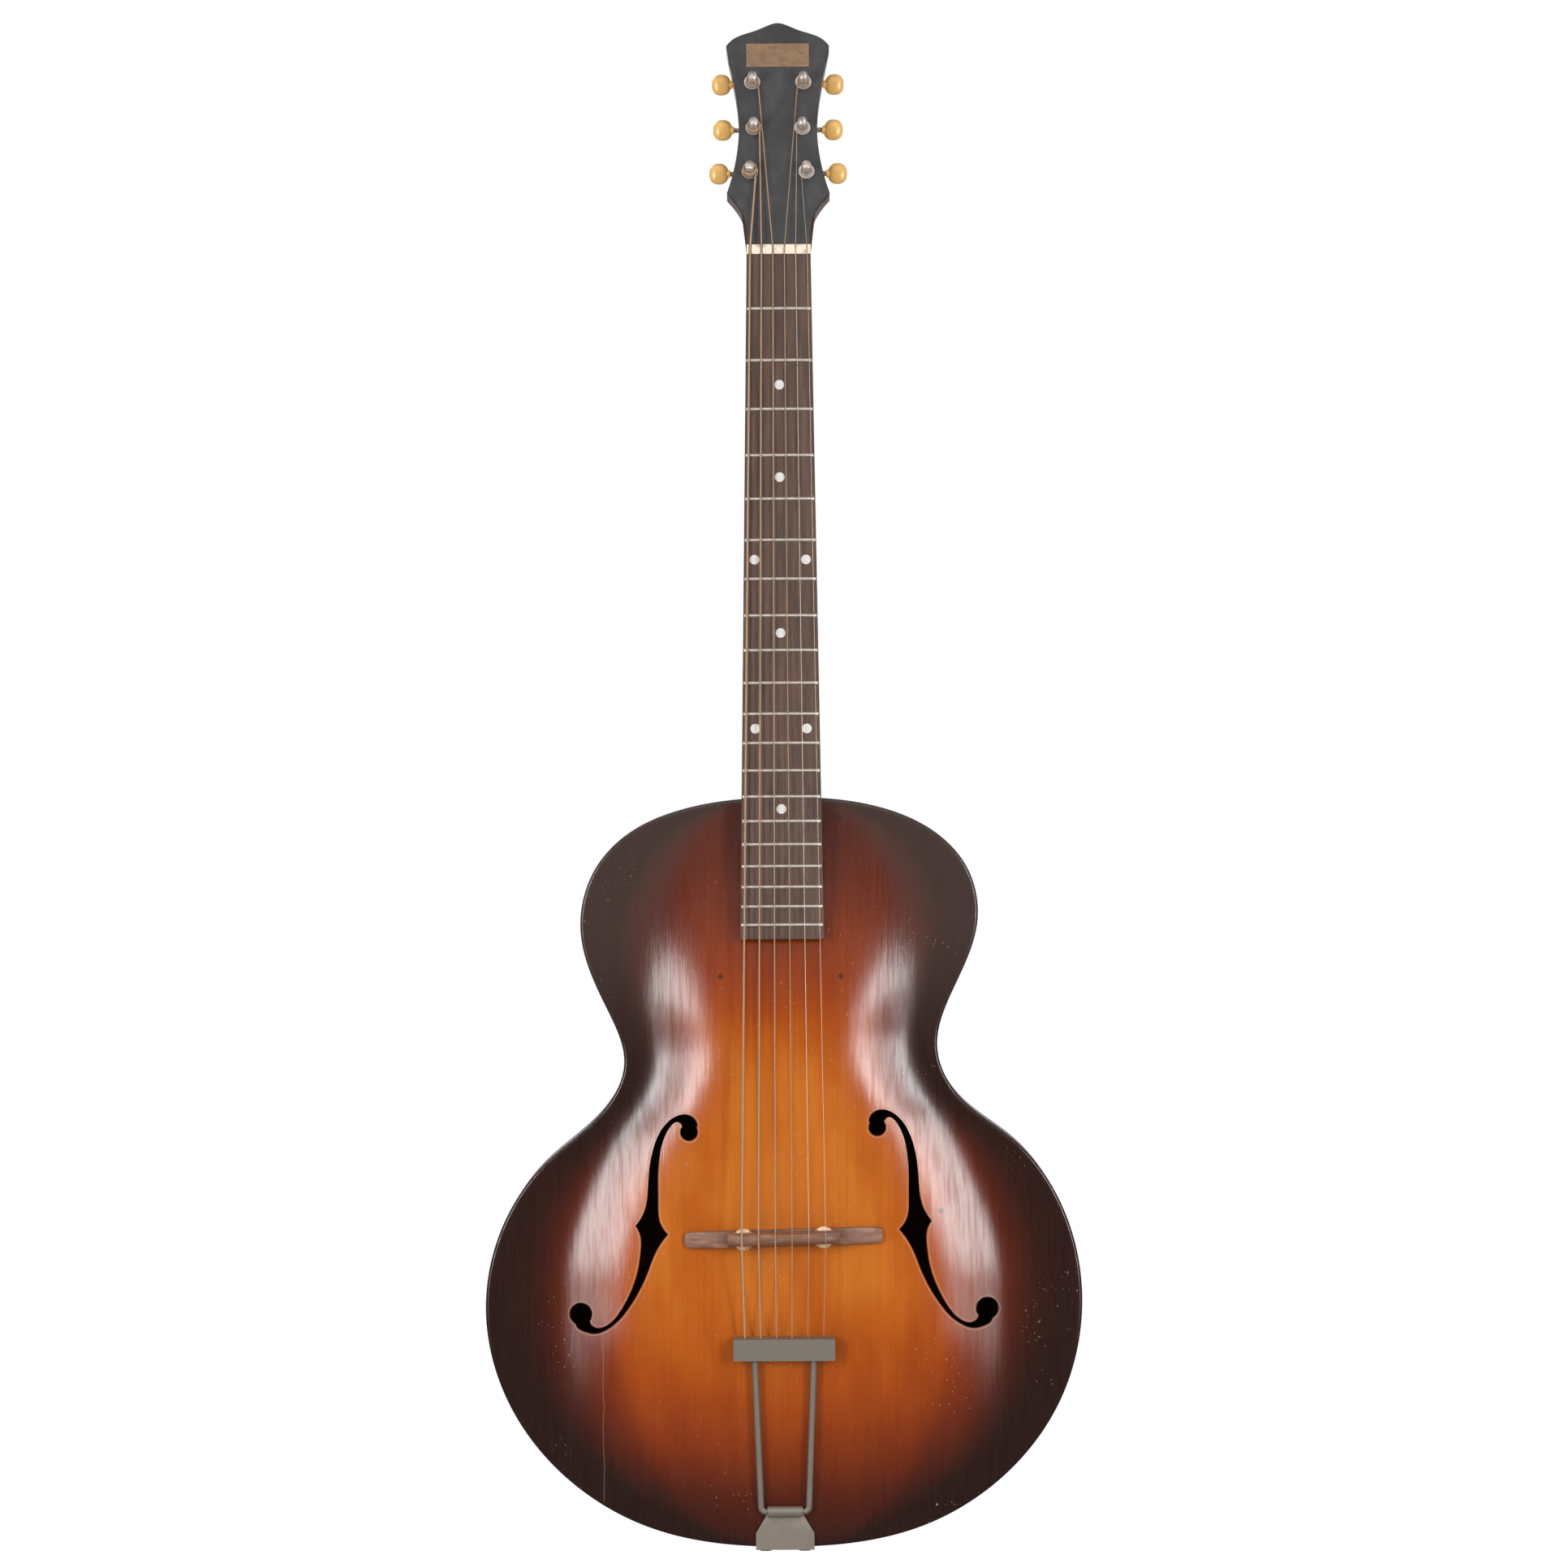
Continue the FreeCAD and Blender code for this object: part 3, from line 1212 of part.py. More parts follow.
def tail_wire():
    """The bent wire: a foot through the knuckle, two bends and two rods up to the crossbar."""
    foot, top = size("tail_wire_foot_spread") / 2, size("tail_wire_top_spread") / 2
    rise = value(TAIL_RISE) + size("tail_bar_sheet") + size("tail_wire_end")
    reach = size("tail_wire_bend")
    edges = []
    for sign in (-1, 1):
        corner, end = Vector(sign * foot, 0, 0), Vector(sign * top, 0, rise)
        up, inward = (end - corner).normalize(), Vector(-sign, 0, 0)
        turn = math.pi - up.getAngle(inward)
        start, finish = corner + up * reach, corner + inward * reach
        depth = reach / math.sin(turn / 2) - reach / math.tan(turn / 2)
        middle = corner + (up + inward).normalize() * depth
        edges.append([Part.LineSegment(end, start), Part.Arc(start, middle, finish)])
    left, right = edges
    across = Part.LineSegment(left[1].EndPoint, right[1].EndPoint)
    path = [left[0], left[1], across, right[1], right[0]]
    route = Part.Wire(Part.__sortEdges__([piece.toShape() for piece in path]))
    thing = doc.addObject("Part::Feature", "tail_wire_rod")
    thing.Shape = tube(route, 2 * size("tail_wire_radius"))
    return thing


def tail_bracket():
    """The hinge bracket: a knuckle, a flaring tongue on the top, and a plate down the tail."""
    knuckle = rod("knuckle_tube", ALONG_X, "-sizes.knuckle_length / 2", f"-{KNUCKLE_LIFT}",
                  f"-{KNUCKLE_DROP}", KNUCKLE_RADIUS, "sizes.knuckle_length")
    bore = rod("knuckle_bore", ALONG_X, "-sizes.knuckle_length", f"-{KNUCKLE_LIFT}", f"-{KNUCKLE_DROP}",
               KNUCKLE_BORE, "2 * sizes.knuckle_length")
    tongue = part_body("tongue")
    neck_half, half = "sizes.bracket_neck_width / 2", "sizes.bracket_width / 2"
    head, foot = f"-{KNUCKLE_DROP}", "-(sizes.body_length + sizes.glue_gap + sizes.bracket_sheet)"
    throat = f"-{KNUCKLE_DROP} - {KNUCKLE_RADIUS}"
    waist = "sizes.knuckle_length / 2"
    flare = "-(sizes.body_length - sizes.bracket_flare_inset)"
    corners = [(f"-{waist}", head), (waist, head), (neck_half, throat), (half, flare), (half, foot)]
    corners += [(f"-{half}", foot), (f"-{half}", flare), (f"-{neck_half}", throat)]
    plan = polygon(sketch(tongue, "XZ_Plane", "tongue_plan"), corners)
    pad(tongue, plan, "tongue_pad", "sizes.bracket_sheet")
    tongue.setExpression("Placement", shift(y=f"-{TONGUE_LIFT}"))
    front = f"(-{TONGUE_LIFT} - sizes.bracket_sheet)"
    drop = block("bracket_drop_plate", f"-{half}", front, foot, "sizes.bracket_width",
                 f"sizes.bracket_drop - {front}", "sizes.bracket_sheet")
    holes, screws = [bore], []
    for row, (x, y) in enumerate(tail_screw_places()):
        shank = rod(f"tail_shank_{row}", ALONG_Z, x, y, foot, "sizes.tail_screw_radius",
                    "sizes.tail_screw_length")
        cap = rod(f"tail_head_{row}", ALONG_Z, x, y, f"{foot} - sizes.tail_screw_head_height",
                  "sizes.tail_screw_head_radius", "sizes.tail_screw_head_height")
        holes.append(rod(f"tail_hole_{row}", ALONG_Z, x, y, f"{foot} - sizes.overrun",
                         "sizes.tail_screw_radius", "sizes.bracket_sheet + 2 * sizes.overrun"))
        screws.append(joined(f"tail_screw_{row}", [shank, cap]))
    whole = joined("bracket_whole", [knuckle, tongue, drop])
    node(without("bracket_cut", whole, holes), "tailpiece_bracket", BODY)
    node(gathered("tail_screws", screws), "tailpiece_screws", BODY)


def tuner_gear(number, at):
    """A post's gear: a disc with straight teeth and a bore for the post's stub."""
    body = part_body(f"gear_{number}")
    root = f"({GEAR_RADIUS} - {TOOTH_DROP_SHARE} * sizes.gear_module)"
    tip = f"({GEAR_RADIUS} + {TOOTH_RISE_SHARE} * sizes.gear_module)"
    disc = circle(sketch(body, "XZ_Plane", f"gear_disc_{number}"), "0", "0", root)
    circle(disc, "0", "0", "sizes.post_stub_radius")
    pad(body, disc, f"gear_pad_{number}", "sizes.gear_thickness", backwards=True)
    foot_half, tip_half = f"({TOOTH_FOOT_SHARE / 2} * {PITCH})", f"({TOOTH_TIP_SHARE / 2} * {PITCH})"
    seat = f"({root} - sizes.clear_gap)"
    corners = [(f"-{foot_half}", seat), (foot_half, seat), (tip_half, tip), (f"-{tip_half}", tip)]
    tooth = polygon(sketch(body, "XZ_Plane", f"gear_tooth_{number}"), corners)
    cog = pad(body, tooth, f"gear_cog_{number}", "sizes.gear_thickness", backwards=True)
    around(body, cog, "Y_Axis", GEAR_TEETH, f"gear_teeth_{number}")
    half_tooth = shift(y=GEAR_FRONT, axis="0; 1; 0", angle=str(180 / GEAR_TEETH))
    node(body, f"tuner_{number}_gear", at + " * " + half_tooth)


def tuner_worm(number, sign, at):
    """A worm on its shaft: a right-handed thread that faces the gear, and the shaft to the button."""
    body = part_body(f"worm_{number}")
    reach = f"(sizes.button_offset - sizes.button_length / 2 + {BUTTON_BORE})"
    tail = f"({LUG_INNER} + sizes.lug_thickness + sizes.shaft_tail)"
    core = circle(sketch(body, "XY_Plane", f"worm_core_{number}"), "0", "0", SHAFT_RADIUS)
    shaft = pad(body, core, f"worm_shaft_{number}", reach, "Two sides")
    shaft.setExpression("Length2", tail)
    start = f"-{WORM_TURNS} * {PITCH} / 2"
    foot, tip = f"({TOOTH_FOOT_SHARE / 2} * {PITCH})", f"({TOOTH_TIP_SHARE / 2} * {PITCH})"
    seat = f"({SHAFT_RADIUS} - sizes.clear_gap)"
    corners = [(seat, f"{start} - {foot}"), (WORM_TIP, f"{start} - {tip}")]
    corners += [(WORM_TIP, f"{start} + {tip}"), (seat, f"{start} + {foot}")]
    profile = polygon(sketch(body, "XZ_Plane", f"worm_profile_{number}"), corners)
    thread = body.newObject("PartDesign::AdditiveHelix", f"worm_thread_{number}")
    thread.Profile = profile
    thread.ReferenceAxis = (profile, ["V_Axis"])
    thread.Mode = 0
    thread.setExpression("Pitch", PITCH)
    thread.setExpression("Height", f"{WORM_TURNS} * {PITCH}")
    turn = shift(axis="0; 1; 0", angle="90") if sign > 0 else shift(axis="1; 0; -1", angle="180")
    node(body, f"tuner_{number}_worm", at + " * " + shift(y=WORM_LEVEL, z=CENTRES) + " * " + turn)


def tuner_button(number, sign, at):
    """An oval button with its ferrule, bored for the shaft."""
    oval = doc.addObject("Part::Ellipsoid", f"button_oval_{number}")
    oval.setExpression("Radius1", "sizes.button_width / 2")
    oval.setExpression("Radius2", "sizes.button_length / 2")
    oval.setExpression("Radius3", "sizes.button_thickness / 2")
    inner = "-sizes.button_length / 2 - sizes.ferrule_length / 2"
    ferrule = rod(f"button_ferrule_{number}", ALONG_X, inner, "0", "0", "sizes.ferrule_radius",
                  "sizes.ferrule_length + sizes.button_length / 4")
    bore = rod(f"button_bore_{number}", ALONG_X, "-sizes.button_length", "0", "0", SHAFT_RADIUS,
               f"sizes.button_length / 2 + {BUTTON_BORE}")
    piece = without(f"button_cut_{number}", joined(f"button_whole_{number}", [oval, ferrule]), [bore])
    where = shift(x=f"{sign} * sizes.button_offset", y=WORM_LEVEL, z=CENTRES, axis="0; 0; 1",
                  angle="0" if sign > 0 else "180")
    node(piece, f"tuner_{number}_button", at + " * " + where)


def tuner_post(number, at):
    """A string post: a drilled column, a stub for the gear and a riveted end."""
    top = "(sizes.head_core + sizes.veneer_thickness + sizes.post_height)"
    column = rod(f"post_column_{number}", ALONG_Y, "0", f"-{top}", "0", "sizes.post_radius",
                 f"{top} + {GEAR_FRONT}")
    stub = rod(f"post_stub_{number}", ALONG_Y, "0", "0", "0", "sizes.post_stub_radius",
               f"{GEAR_FRONT} + sizes.gear_thickness + sizes.post_rivet_height")
    rivet = rod(f"post_rivet_{number}", ALONG_Y, "0", f"{GEAR_FRONT} + sizes.gear_thickness", "0",
                "sizes.post_rivet_radius", "sizes.post_rivet_height")
    level = f"-{top} + 3 * sizes.post_hole_radius"
    hole = rod(f"post_hole_{number}", ALONG_X, "-2 * sizes.post_radius", level, "0",
               "sizes.post_hole_radius", "4 * sizes.post_radius")
    piece = without(f"post_cut_{number}", joined(f"post_whole_{number}", [column, stub, rivet]), [hole])
    node(piece, f"tuner_{number}_post", at)


def tuner_plate(number, sign, out, rise):
    """A tuner's plate with two lugs for the shaft, bored for post, shaft and screws; and its screws."""
    inner, outer = "sizes.tuner_plate_inner", "sizes.tuner_plate_outer"
    side = f"{out} - " + (inner if sign > 0 else outer)
    back = "sizes.head_core"
    thick = "sizes.tuner_plate_thickness"
    pieces = [block(f"plate_{number}", side, back, f"{rise} - sizes.tuner_plate_down",
                    f"{inner} + {outer}", thick, "sizes.tuner_plate_up + sizes.tuner_plate_down")]
    level = f"{back} + {WORM_LEVEL}"
    axis = f"{rise} + {CENTRES}"
    bore = f"({SHAFT_RADIUS} + sizes.running_gap)"
    height = f"{WORM_LEVEL} + {bore} + sizes.lug_rim"
    for end in (-1, 1):
        lug = f"{out} + {LUG_INNER}" if end > 0 else f"{out} - {LUG_INNER} - sizes.lug_thickness"
        pieces.append(block(f"lug_{number}_{end + 1}", lug, back, f"{axis} - sizes.lug_width / 2",
                            "sizes.lug_thickness", height, "sizes.lug_width"))
    tools = [rod(f"lug_bore_{number}", ALONG_X, f"{out} - 2 * {LUG_INNER}", level, axis, bore,
                 f"4 * {LUG_INNER}")]
    tools.append(rod(f"plate_bore_{number}", ALONG_Y, out, f"{back} - sizes.overrun", rise,
                     "sizes.post_radius + sizes.running_gap", f"{thick} + 2 * sizes.overrun"))
    screws = []
    face = f"{back} + {thick}"
    levels = {"up": f"{rise} + sizes.tuner_screw_up", "down": f"{rise} - sizes.tuner_screw_down"}
    for name, level in levels.items():
        tip = f"{face} - sizes.tuner_screw_length"
        shank = rod(f"screw_shank_{number}_{name}", ALONG_Y, out, tip, level,
                    "sizes.tuner_screw_radius", "sizes.tuner_screw_length")
        head = rod(f"screw_head_{number}_{name}", ALONG_Y, out, face, level,
                   "sizes.tuner_screw_head_radius", "sizes.tuner_screw_head_height")
        screws.append(joined(f"screw_{number}_{name}", [shank, head]))
        tools.append(shank)
    return without(f"plate_cut_{number}", joined(f"plate_whole_{number}", pieces), tools), screws


def tuner_bushing(number, out, rise):
    """A pressed bushing in the headstock's front, round the post."""
    front = "-sizes.veneer_thickness"
    flange = rod(f"flange_{number}", ALONG_Y, out, f"{front} - sizes.bushing_flange_height", rise,
                 "sizes.bushing_flange_radius", "sizes.bushing_flange_height")
    sleeve = rod(f"sleeve_{number}", ALONG_Y, out, front, rise, "sizes.bushing_sleeve_radius",
                 "sizes.bushing_sleeve_length")
    bore = rod(f"bushing_bore_{number}", ALONG_Y, out, f"{front} - sizes.overrun", rise,
               "sizes.post_radius + sizes.running_gap", "sizes.bushing_sleeve_length + 2 * sizes.overrun")
    return without(f"bushing_{number}", joined(f"bushing_whole_{number}", [flange, sleeve]), [bore])


def tuners():
    """Six tuners: buttons, worms, posts and gears, and the plates, bushings and screws as groups."""
    plate_set, bushings, screws = [], [], []
    for number, sign, out, rise in tuner_places():
        at = HEAD + " * " + shift(x=out, y="sizes.head_core", z=rise)
        tuner_button(number, sign, at)
        tuner_worm(number, sign, at)
        tuner_post(number, at)
        tuner_gear(number, at)
        plate, plate_screws = tuner_plate(number, sign, out, rise)
        plate_set.append(plate)
        screws += plate_screws
        bushings.append(tuner_bushing(number, out, rise))
    node(gathered("plate_group", plate_set), "tuner_plates", HEAD)
    node(gathered("bushing_group", bushings), "tuner_bushings", HEAD)
    node(gathered("screw_group", screws), "tuner_screws", HEAD)


def write_parts():
    """Check every object and each sub-part's shape, then write one file for each."""
    doc.recompute()
    failed = [thing.Name for thing in doc.Objects if {"Invalid", "Error"} & set(thing.State)]
    failed += [thing.Label for thing in nodes if thing.Shape.isNull() or not thing.Shape.isValid()]
    if failed:
        raise RuntimeError("failed: " + ", ".join(failed))
    os.makedirs("parts", exist_ok=True)
    for thing in nodes:
        thing.Shape.exportStep(os.path.join("parts", thing.Label + ".step"))
    print(len(nodes), "sub-parts written")


plates()
rim()
tone_bars()
neck()
headstock_face()
fingerboard()
nut_piece()
strings()
bridge()
tailpiece()
tail_bracket()
tuners()
write_parts()
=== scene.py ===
"""Dresses an archtop guitar: carved plates, bent sides, strings, hardware and finishes.

Lengths are in metres. The guitar hangs upright: +Z runs up the neck, the front faces -Y and the
treble side is +X. The origin is at the nut, where board and neck are glued.
"""

import json
import math

import bmesh
import bpy
import numpy as np
from bpy.props import FloatProperty, FloatVectorProperty, PointerProperty
from mathutils import Matrix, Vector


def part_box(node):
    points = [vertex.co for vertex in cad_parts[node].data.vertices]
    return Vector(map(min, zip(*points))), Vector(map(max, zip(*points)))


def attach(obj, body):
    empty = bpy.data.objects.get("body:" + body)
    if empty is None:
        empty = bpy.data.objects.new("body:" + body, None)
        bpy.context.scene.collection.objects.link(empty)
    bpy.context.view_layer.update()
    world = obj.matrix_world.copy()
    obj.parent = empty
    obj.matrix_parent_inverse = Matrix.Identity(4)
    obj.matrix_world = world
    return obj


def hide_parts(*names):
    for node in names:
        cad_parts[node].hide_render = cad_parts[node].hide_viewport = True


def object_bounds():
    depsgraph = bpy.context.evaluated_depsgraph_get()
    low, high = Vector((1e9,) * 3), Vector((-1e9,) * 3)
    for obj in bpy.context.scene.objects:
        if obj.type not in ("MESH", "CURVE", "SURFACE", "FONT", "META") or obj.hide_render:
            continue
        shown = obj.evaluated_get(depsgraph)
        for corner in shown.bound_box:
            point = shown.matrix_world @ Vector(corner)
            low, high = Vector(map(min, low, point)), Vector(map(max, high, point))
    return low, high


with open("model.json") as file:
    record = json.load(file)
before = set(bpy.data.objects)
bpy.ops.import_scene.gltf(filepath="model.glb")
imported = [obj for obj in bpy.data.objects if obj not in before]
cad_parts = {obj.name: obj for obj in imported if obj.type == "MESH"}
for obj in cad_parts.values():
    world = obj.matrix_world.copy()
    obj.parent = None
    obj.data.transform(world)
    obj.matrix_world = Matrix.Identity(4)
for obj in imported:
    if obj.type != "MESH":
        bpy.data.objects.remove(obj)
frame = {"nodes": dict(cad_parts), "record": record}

CAD_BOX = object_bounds()
BODY_OF_NODE = {
    node: body for body, nodes in frame["record"]["behaviour"]["bodies"].items() for node in nodes
}

bl_info = {
    "name": "Archtop guitar",
    "version": (1, 0, 0),
    "blender": (4, 5, 0),
    "location": "View3D > Sidebar > Guitar",
    "description": "Carved plates, strings, hardware and finishes of an archtop guitar",
    "category": "Object",
}

# Counts, and the strings from the bass side to the treble side
FRETS = 20
JOINT_FRET = 14
STRINGS = ("sixth", "fifth", "fourth", "third", "second", "first")
PLAIN_STRINGS = ("second", "first")
POST_TURNS = 2.25

# Body outline from the upper end down: share of the length, the width followed, share of half of it
BASS_SHARES = (
    (0.018, "upper_bout", 0.535), (0.044, "upper_bout", 0.755), (0.096, "upper_bout", 0.943),
    (0.174, "upper_bout", 1.015), (0.278, "waist", 1.129), (0.356, "waist", 1.013),
    (0.421, "lower_bout", 0.612), (0.486, "lower_bout", 0.797), (0.564, "lower_bout", 0.935),
    (0.681, "lower_bout", 1.0), (0.811, "lower_bout", 0.919), (0.915, "lower_bout", 0.708),
    (0.971, "lower_bout", 0.470),
)
TREBLE_SHARES = (
    (0.018, "upper_bout", 0.550), (0.044, "upper_bout", 0.755), (0.096, "upper_bout", 0.935),
    (0.161, "upper_bout", 0.985), (0.256, "waist", 1.093), (0.336, "waist", 0.987),
    (0.399, "lower_bout", 0.589), (0.460, "lower_bout", 0.778), (0.538, "lower_bout", 0.924),
    (0.668, "lower_bout", 1.0), (0.811, "lower_bout", 0.919), (0.915, "lower_bout", 0.710),
    (0.971, "lower_bout", 0.474),
)
# Where the arch widens and fills out, from its upper to its lower form, as shares of the body's length
ARCH_WIDEN_SHARES = (0.31, 0.65)
# Where the plates' middle line starts and ends, as shares of the body's length
SPINE_SHARES = (0.16, 0.82)
# F-hole edges: shares of the lean (out from the upper eye) and of the length (down from it)
F_OUTER_UPPER_SHARES = (
    (-0.03, -0.01), (-0.078, -0.03), (-0.055, -0.072), (0.04, -0.098), (0.16, -0.072), (0.28, 0.015),
    (0.345, 0.13), (0.375, 0.27), (0.405, 0.42), (0.495, 0.515),
)
F_OUTER_LOWER_SHARES = (
    (0.495, 0.515), (0.45, 0.57), (0.448, 0.65), (0.475, 0.76), (0.54, 0.875), (0.64, 0.985), (0.76, 1.06),
    (0.86, 1.075), (0.925, 1.045), (0.96, 1.01),
)
F_INNER_LOWER_SHARES = (
    (1.03, 1.02), (1.035, 1.075), (0.965, 1.098), (0.87, 1.108), (0.77, 1.088), (0.67, 1.045), (0.57, 0.975),
    (0.465, 0.875), (0.38, 0.765), (0.325, 0.68), (0.262, 0.612), (0.195, 0.56),
)
F_INNER_UPPER_SHARES = (
    (0.195, 0.56), (0.27, 0.49), (0.284, 0.39), (0.284, 0.25), (0.262, 0.11), (0.2, 0.0), (0.11, -0.055),
    (0.05, -0.025),
)
# Headstock edge: share of the head's length, the width followed, share of half that width
HEAD_LOWER_SHARES = (
    (0.05, "head_ear", 0.622), (0.10, "head_ear", 0.648), (0.157, "head_ear", 0.742),
    (0.20, "head_ear", 0.868),
)
HEAD_EAR_SHARE = 0.234
HEAD_SIDE_SHARES = (
    (0.361, "head_waist", 1.103), (0.545, "head_waist", 1.0), (0.741, "head_top", 0.860),
)
HEAD_CORNER_SHARE = 0.897
HEAD_CREST_SHARES = ((0.932, "head_top", 0.836), (0.966, "head_top", 0.43), (0.988, "head_top", 0.20))

# Points that the surfaces are worked out on
OUTLINE_DENSE = 1600
OUTLINE_ROWS = 171
PLATE_COLUMNS = 57
ROUND_STEPS = 5
EDGE_DENSE = 41
EYE_STEPS = 41
STRING_SIDES = 10
BEND_STEPS = 9
TURN_STEPS = 48
FRET_COLUMNS = 25
CROWN_STEPS = 9
SECTION_STEPS = 40
BRIDGE_COLUMNS = 61
BUTTON_ROWS = 33
BUTTON_COLUMNS = 48
FLOOR_RINGS = 12
FLOOR_SIDES = 96

# Powers of the rounded forms: how frets and bridge run out at their ends, how square the bridge's
# sections are, and how the saddle's crest falls
FRET_END_POWER = 16
BASE_END_POWER = 10
BASE_SECTION_POWER = 7.0
SADDLE_END_POWER = 14
SADDLE_SECTION_POWER = 5.0
SADDLE_FALL_POWER = 1.5
# Ball ends: the slant of their rims, and a ring of points on their flat ends, as shares of their radius
BALL_RIM_SHARE = 0.2
BALL_INNER_SHARE = 0.5

# How near points are merged, and the angles above which edges show sharp on new pieces and on copies
WELD = 2e-6
SHARP_ANGLE = math.radians(38)
COPY_SHARP_ANGLE = math.radians(32)
# How far a face of the board may lean from its round front and still belong to it
FRONT_ANGLE = math.radians(12)
ALONG_X = np.array((1.0, 0.0, 0.0))
ALONG_Y = np.array((0.0, 1.0, 0.0))


def metres(name, description, default):
    """A length that a user may change."""
    return FloatProperty(name=name, description=description, default=default, unit="LENGTH", precision=5)


def degrees(name, description, default):
    """An angle that a user may change."""
    return FloatProperty(name=name, description=description, default=math.radians(default), subtype="ANGLE")


def number(name, description, default):
    """A plain number that a user may change."""
    return FloatProperty(name=name, description=description, default=default, precision=4)


def colour(name, description, default):
    """A colour that a user may change."""
    return FloatVectorProperty(
        name=name, description=description, default=default, size=3, subtype="COLOR", min=0.0, max=1.0
    )


class BodySizes(bpy.types.PropertyGroup):
    """Sizes of the hollow body and its carved plates."""

    length: metres("Length", "Upper end to tail", 0.480)
    upper_bout: metres("Upper bout", "Width of the upper bout", 0.2546)
    waist: metres("Waist", "Width of the waist", 0.2006)
    lower_bout: metres("Lower bout", "Width of the lower bout", 0.382)
    rim: metres("Rim depth", "From the top's edge to the back's edge", 0.082)
    plate: metres("Plate", "Thickness of the carved plates", 0.0045)
    side: metres("Side", "Thickness of the bent sides", 0.0025)
    top_arch: metres("Top arch", "Rise of the carved top", 0.016)
    back_arch: metres("Back arch", "Rise of the carved back", 0.014)
    edge_flat: metres("Edge flat", "Flat strip inside the edges", 0.007)
    edge_round: metres("Edge round", "Radius of the plates' outer edges", 0.0018)
    upper_reach: metres("Upper reach", "Middle line to the arch's foot in the upper bout", 0.104)
    lower_reach: metres("Lower reach", "Middle line to the arch's foot in the lower bout", 0.150)
    reach_blend: metres("Reach blend", "How softly the arch's foot keeps inside the edge", 0.008)
    arch_ramp: number("Arch ramp", "Share of the length in which the crown rises", 0.30)
    upper_fullness: number("Upper fullness", "Power that fills the crown in the upper bout", 1.6)
    lower_fullness: number("Lower fullness", "Power that fills the crown in the lower bout", 2.6)
    f_drop: metres("F-hole drop", "From the upper end to the upper eyes", 0.2136)
    f_spread: metres("F-hole spread", "Between the two upper eyes", 0.1204)
    f_lean: metres("F-hole lean", "How far the lower eye lies outside the upper one", 0.0698)
    f_treble_rise: metres("Treble rise", "Treble f-hole above the bass one", 0.0025)
    f_length: metres("F-hole length", "From the upper eye down to the lower one", 0.1164)
    f_upper_eye: metres("Upper eye", "Radius of the upper eyes", 0.0056)
    f_lower_eye: metres("Lower eye", "Radius of the lower eyes", 0.0072)
    f_edge: metres("F-hole edge", "Width of the rounded edge around an f-hole", 0.0012)
    f_edge_lift: metres("F-hole edge lift", "How far that edge stands proud of the top", 0.00006)


class NeckSizes(bpy.types.PropertyGroup):
    """Sizes of the neck, fingerboard and headstock."""

    scale: metres("Scale", "String length between nut and bridge", 0.62865)
    angle: degrees("Neck angle", "How far the neck leans back", 3.5)
    standoff: metres("Board standoff", "Board above the body's edge at the joint", 0.008)
    nut_width: metres("Nut width", "Width of nut and board at the nut", 0.041)
    nut_thickness: metres("Nut thickness", "Along the strings", 0.006)
    board_end: metres("Board end", "Width of the board at its end", 0.0535)
    board: metres("Board", "Thickness of the fingerboard", 0.006)
    board_radius: metres("Board radius", "Radius of the board's round front", 0.300)
    past_last_fret: metres("Past last fret", "Board beyond the last fret", 0.009)
    fret_width: metres("Fret width", "Width of a fret's crown", 0.0024)
    fret_crown: metres("Fret crown", "Height of a fret's crown", 0.0011)
    fret_inset: metres("Fret inset", "From the board's edge to a fret's end", 0.0003)
    tang_width: metres("Tang width", "Width of a fret's tang", 0.0006)
    tang_depth: metres("Tang depth", "Depth of a fret's tang", 0.0018)
    head_angle: degrees("Head angle", "How far the headstock leans back from the neck", 17)
    head_length: metres("Head length", "From the nut to the crest", 0.1565)
    head_top: metres("Head top", "Width at the upper corners", 0.0665)
    head_waist: metres("Head waist", "Width at the waist", 0.0504)
    head_ear: metres("Head ears", "Width at the lower ears", 0.066)
    veneer: metres("Veneer", "Thickness of the headstock's face", 0.002)
    veneer_round: metres("Veneer round", "Radius of the face's front edge", 0.0007)
    button_length: metres("Button length", "A tuner button along its shaft", 0.0123)
    button_width: metres("Button width", "A tuner button across its shaft", 0.0135)
    button_thickness: metres("Button thickness", "A tuner button, front to back", 0.0075)
    button_fullness: number("Button fullness", "Power of the button's rounded form", 2.4)
    collar_radius: metres("Collar radius", "Radius of a button's collar", 0.0026)


class StringSizes(bpy.types.PropertyGroup):
    """Sizes of the strings and of what they wind on."""

    first: metres("First", "Diameter of the first string", 0.000305)
    second: metres("Second", "Diameter of the second string", 0.00041)
    third: metres("Third", "Diameter of the third string", 0.00056)
    fourth: metres("Fourth", "Diameter of the fourth string", 0.00081)
    fifth: metres("Fifth", "Diameter of the fifth string", 0.00107)
    sixth: metres("Sixth", "Diameter of the sixth string", 0.00137)
    at_nut: metres("At the nut", "First to sixth string at the nut", 0.0366)
    at_bridge: metres("At the bridge", "First to sixth string at the bridge", 0.0535)
    at_tail: metres("At the tail", "First to sixth string at the tail bar", 0.050)
    bend: metres("Bend", "Radius of a string's bends", 0.008)
    ball_radius: metres("Ball radius", "Radius of a ball end", 0.002)
    ball_length: metres("Ball length", "Length of a ball end", 0.0035)
    turn_gap: metres("Turn gap", "Between the turns on a post", 0.00045)
    post_radius: metres("Post radius", "Radius of a tuner post", 0.003)
    flange: metres("Bushing flange", "Thickness of a bushing's flange", 0.0013)
    clear: metres("Clearance", "Between a string and what it winds on", 0.0003)


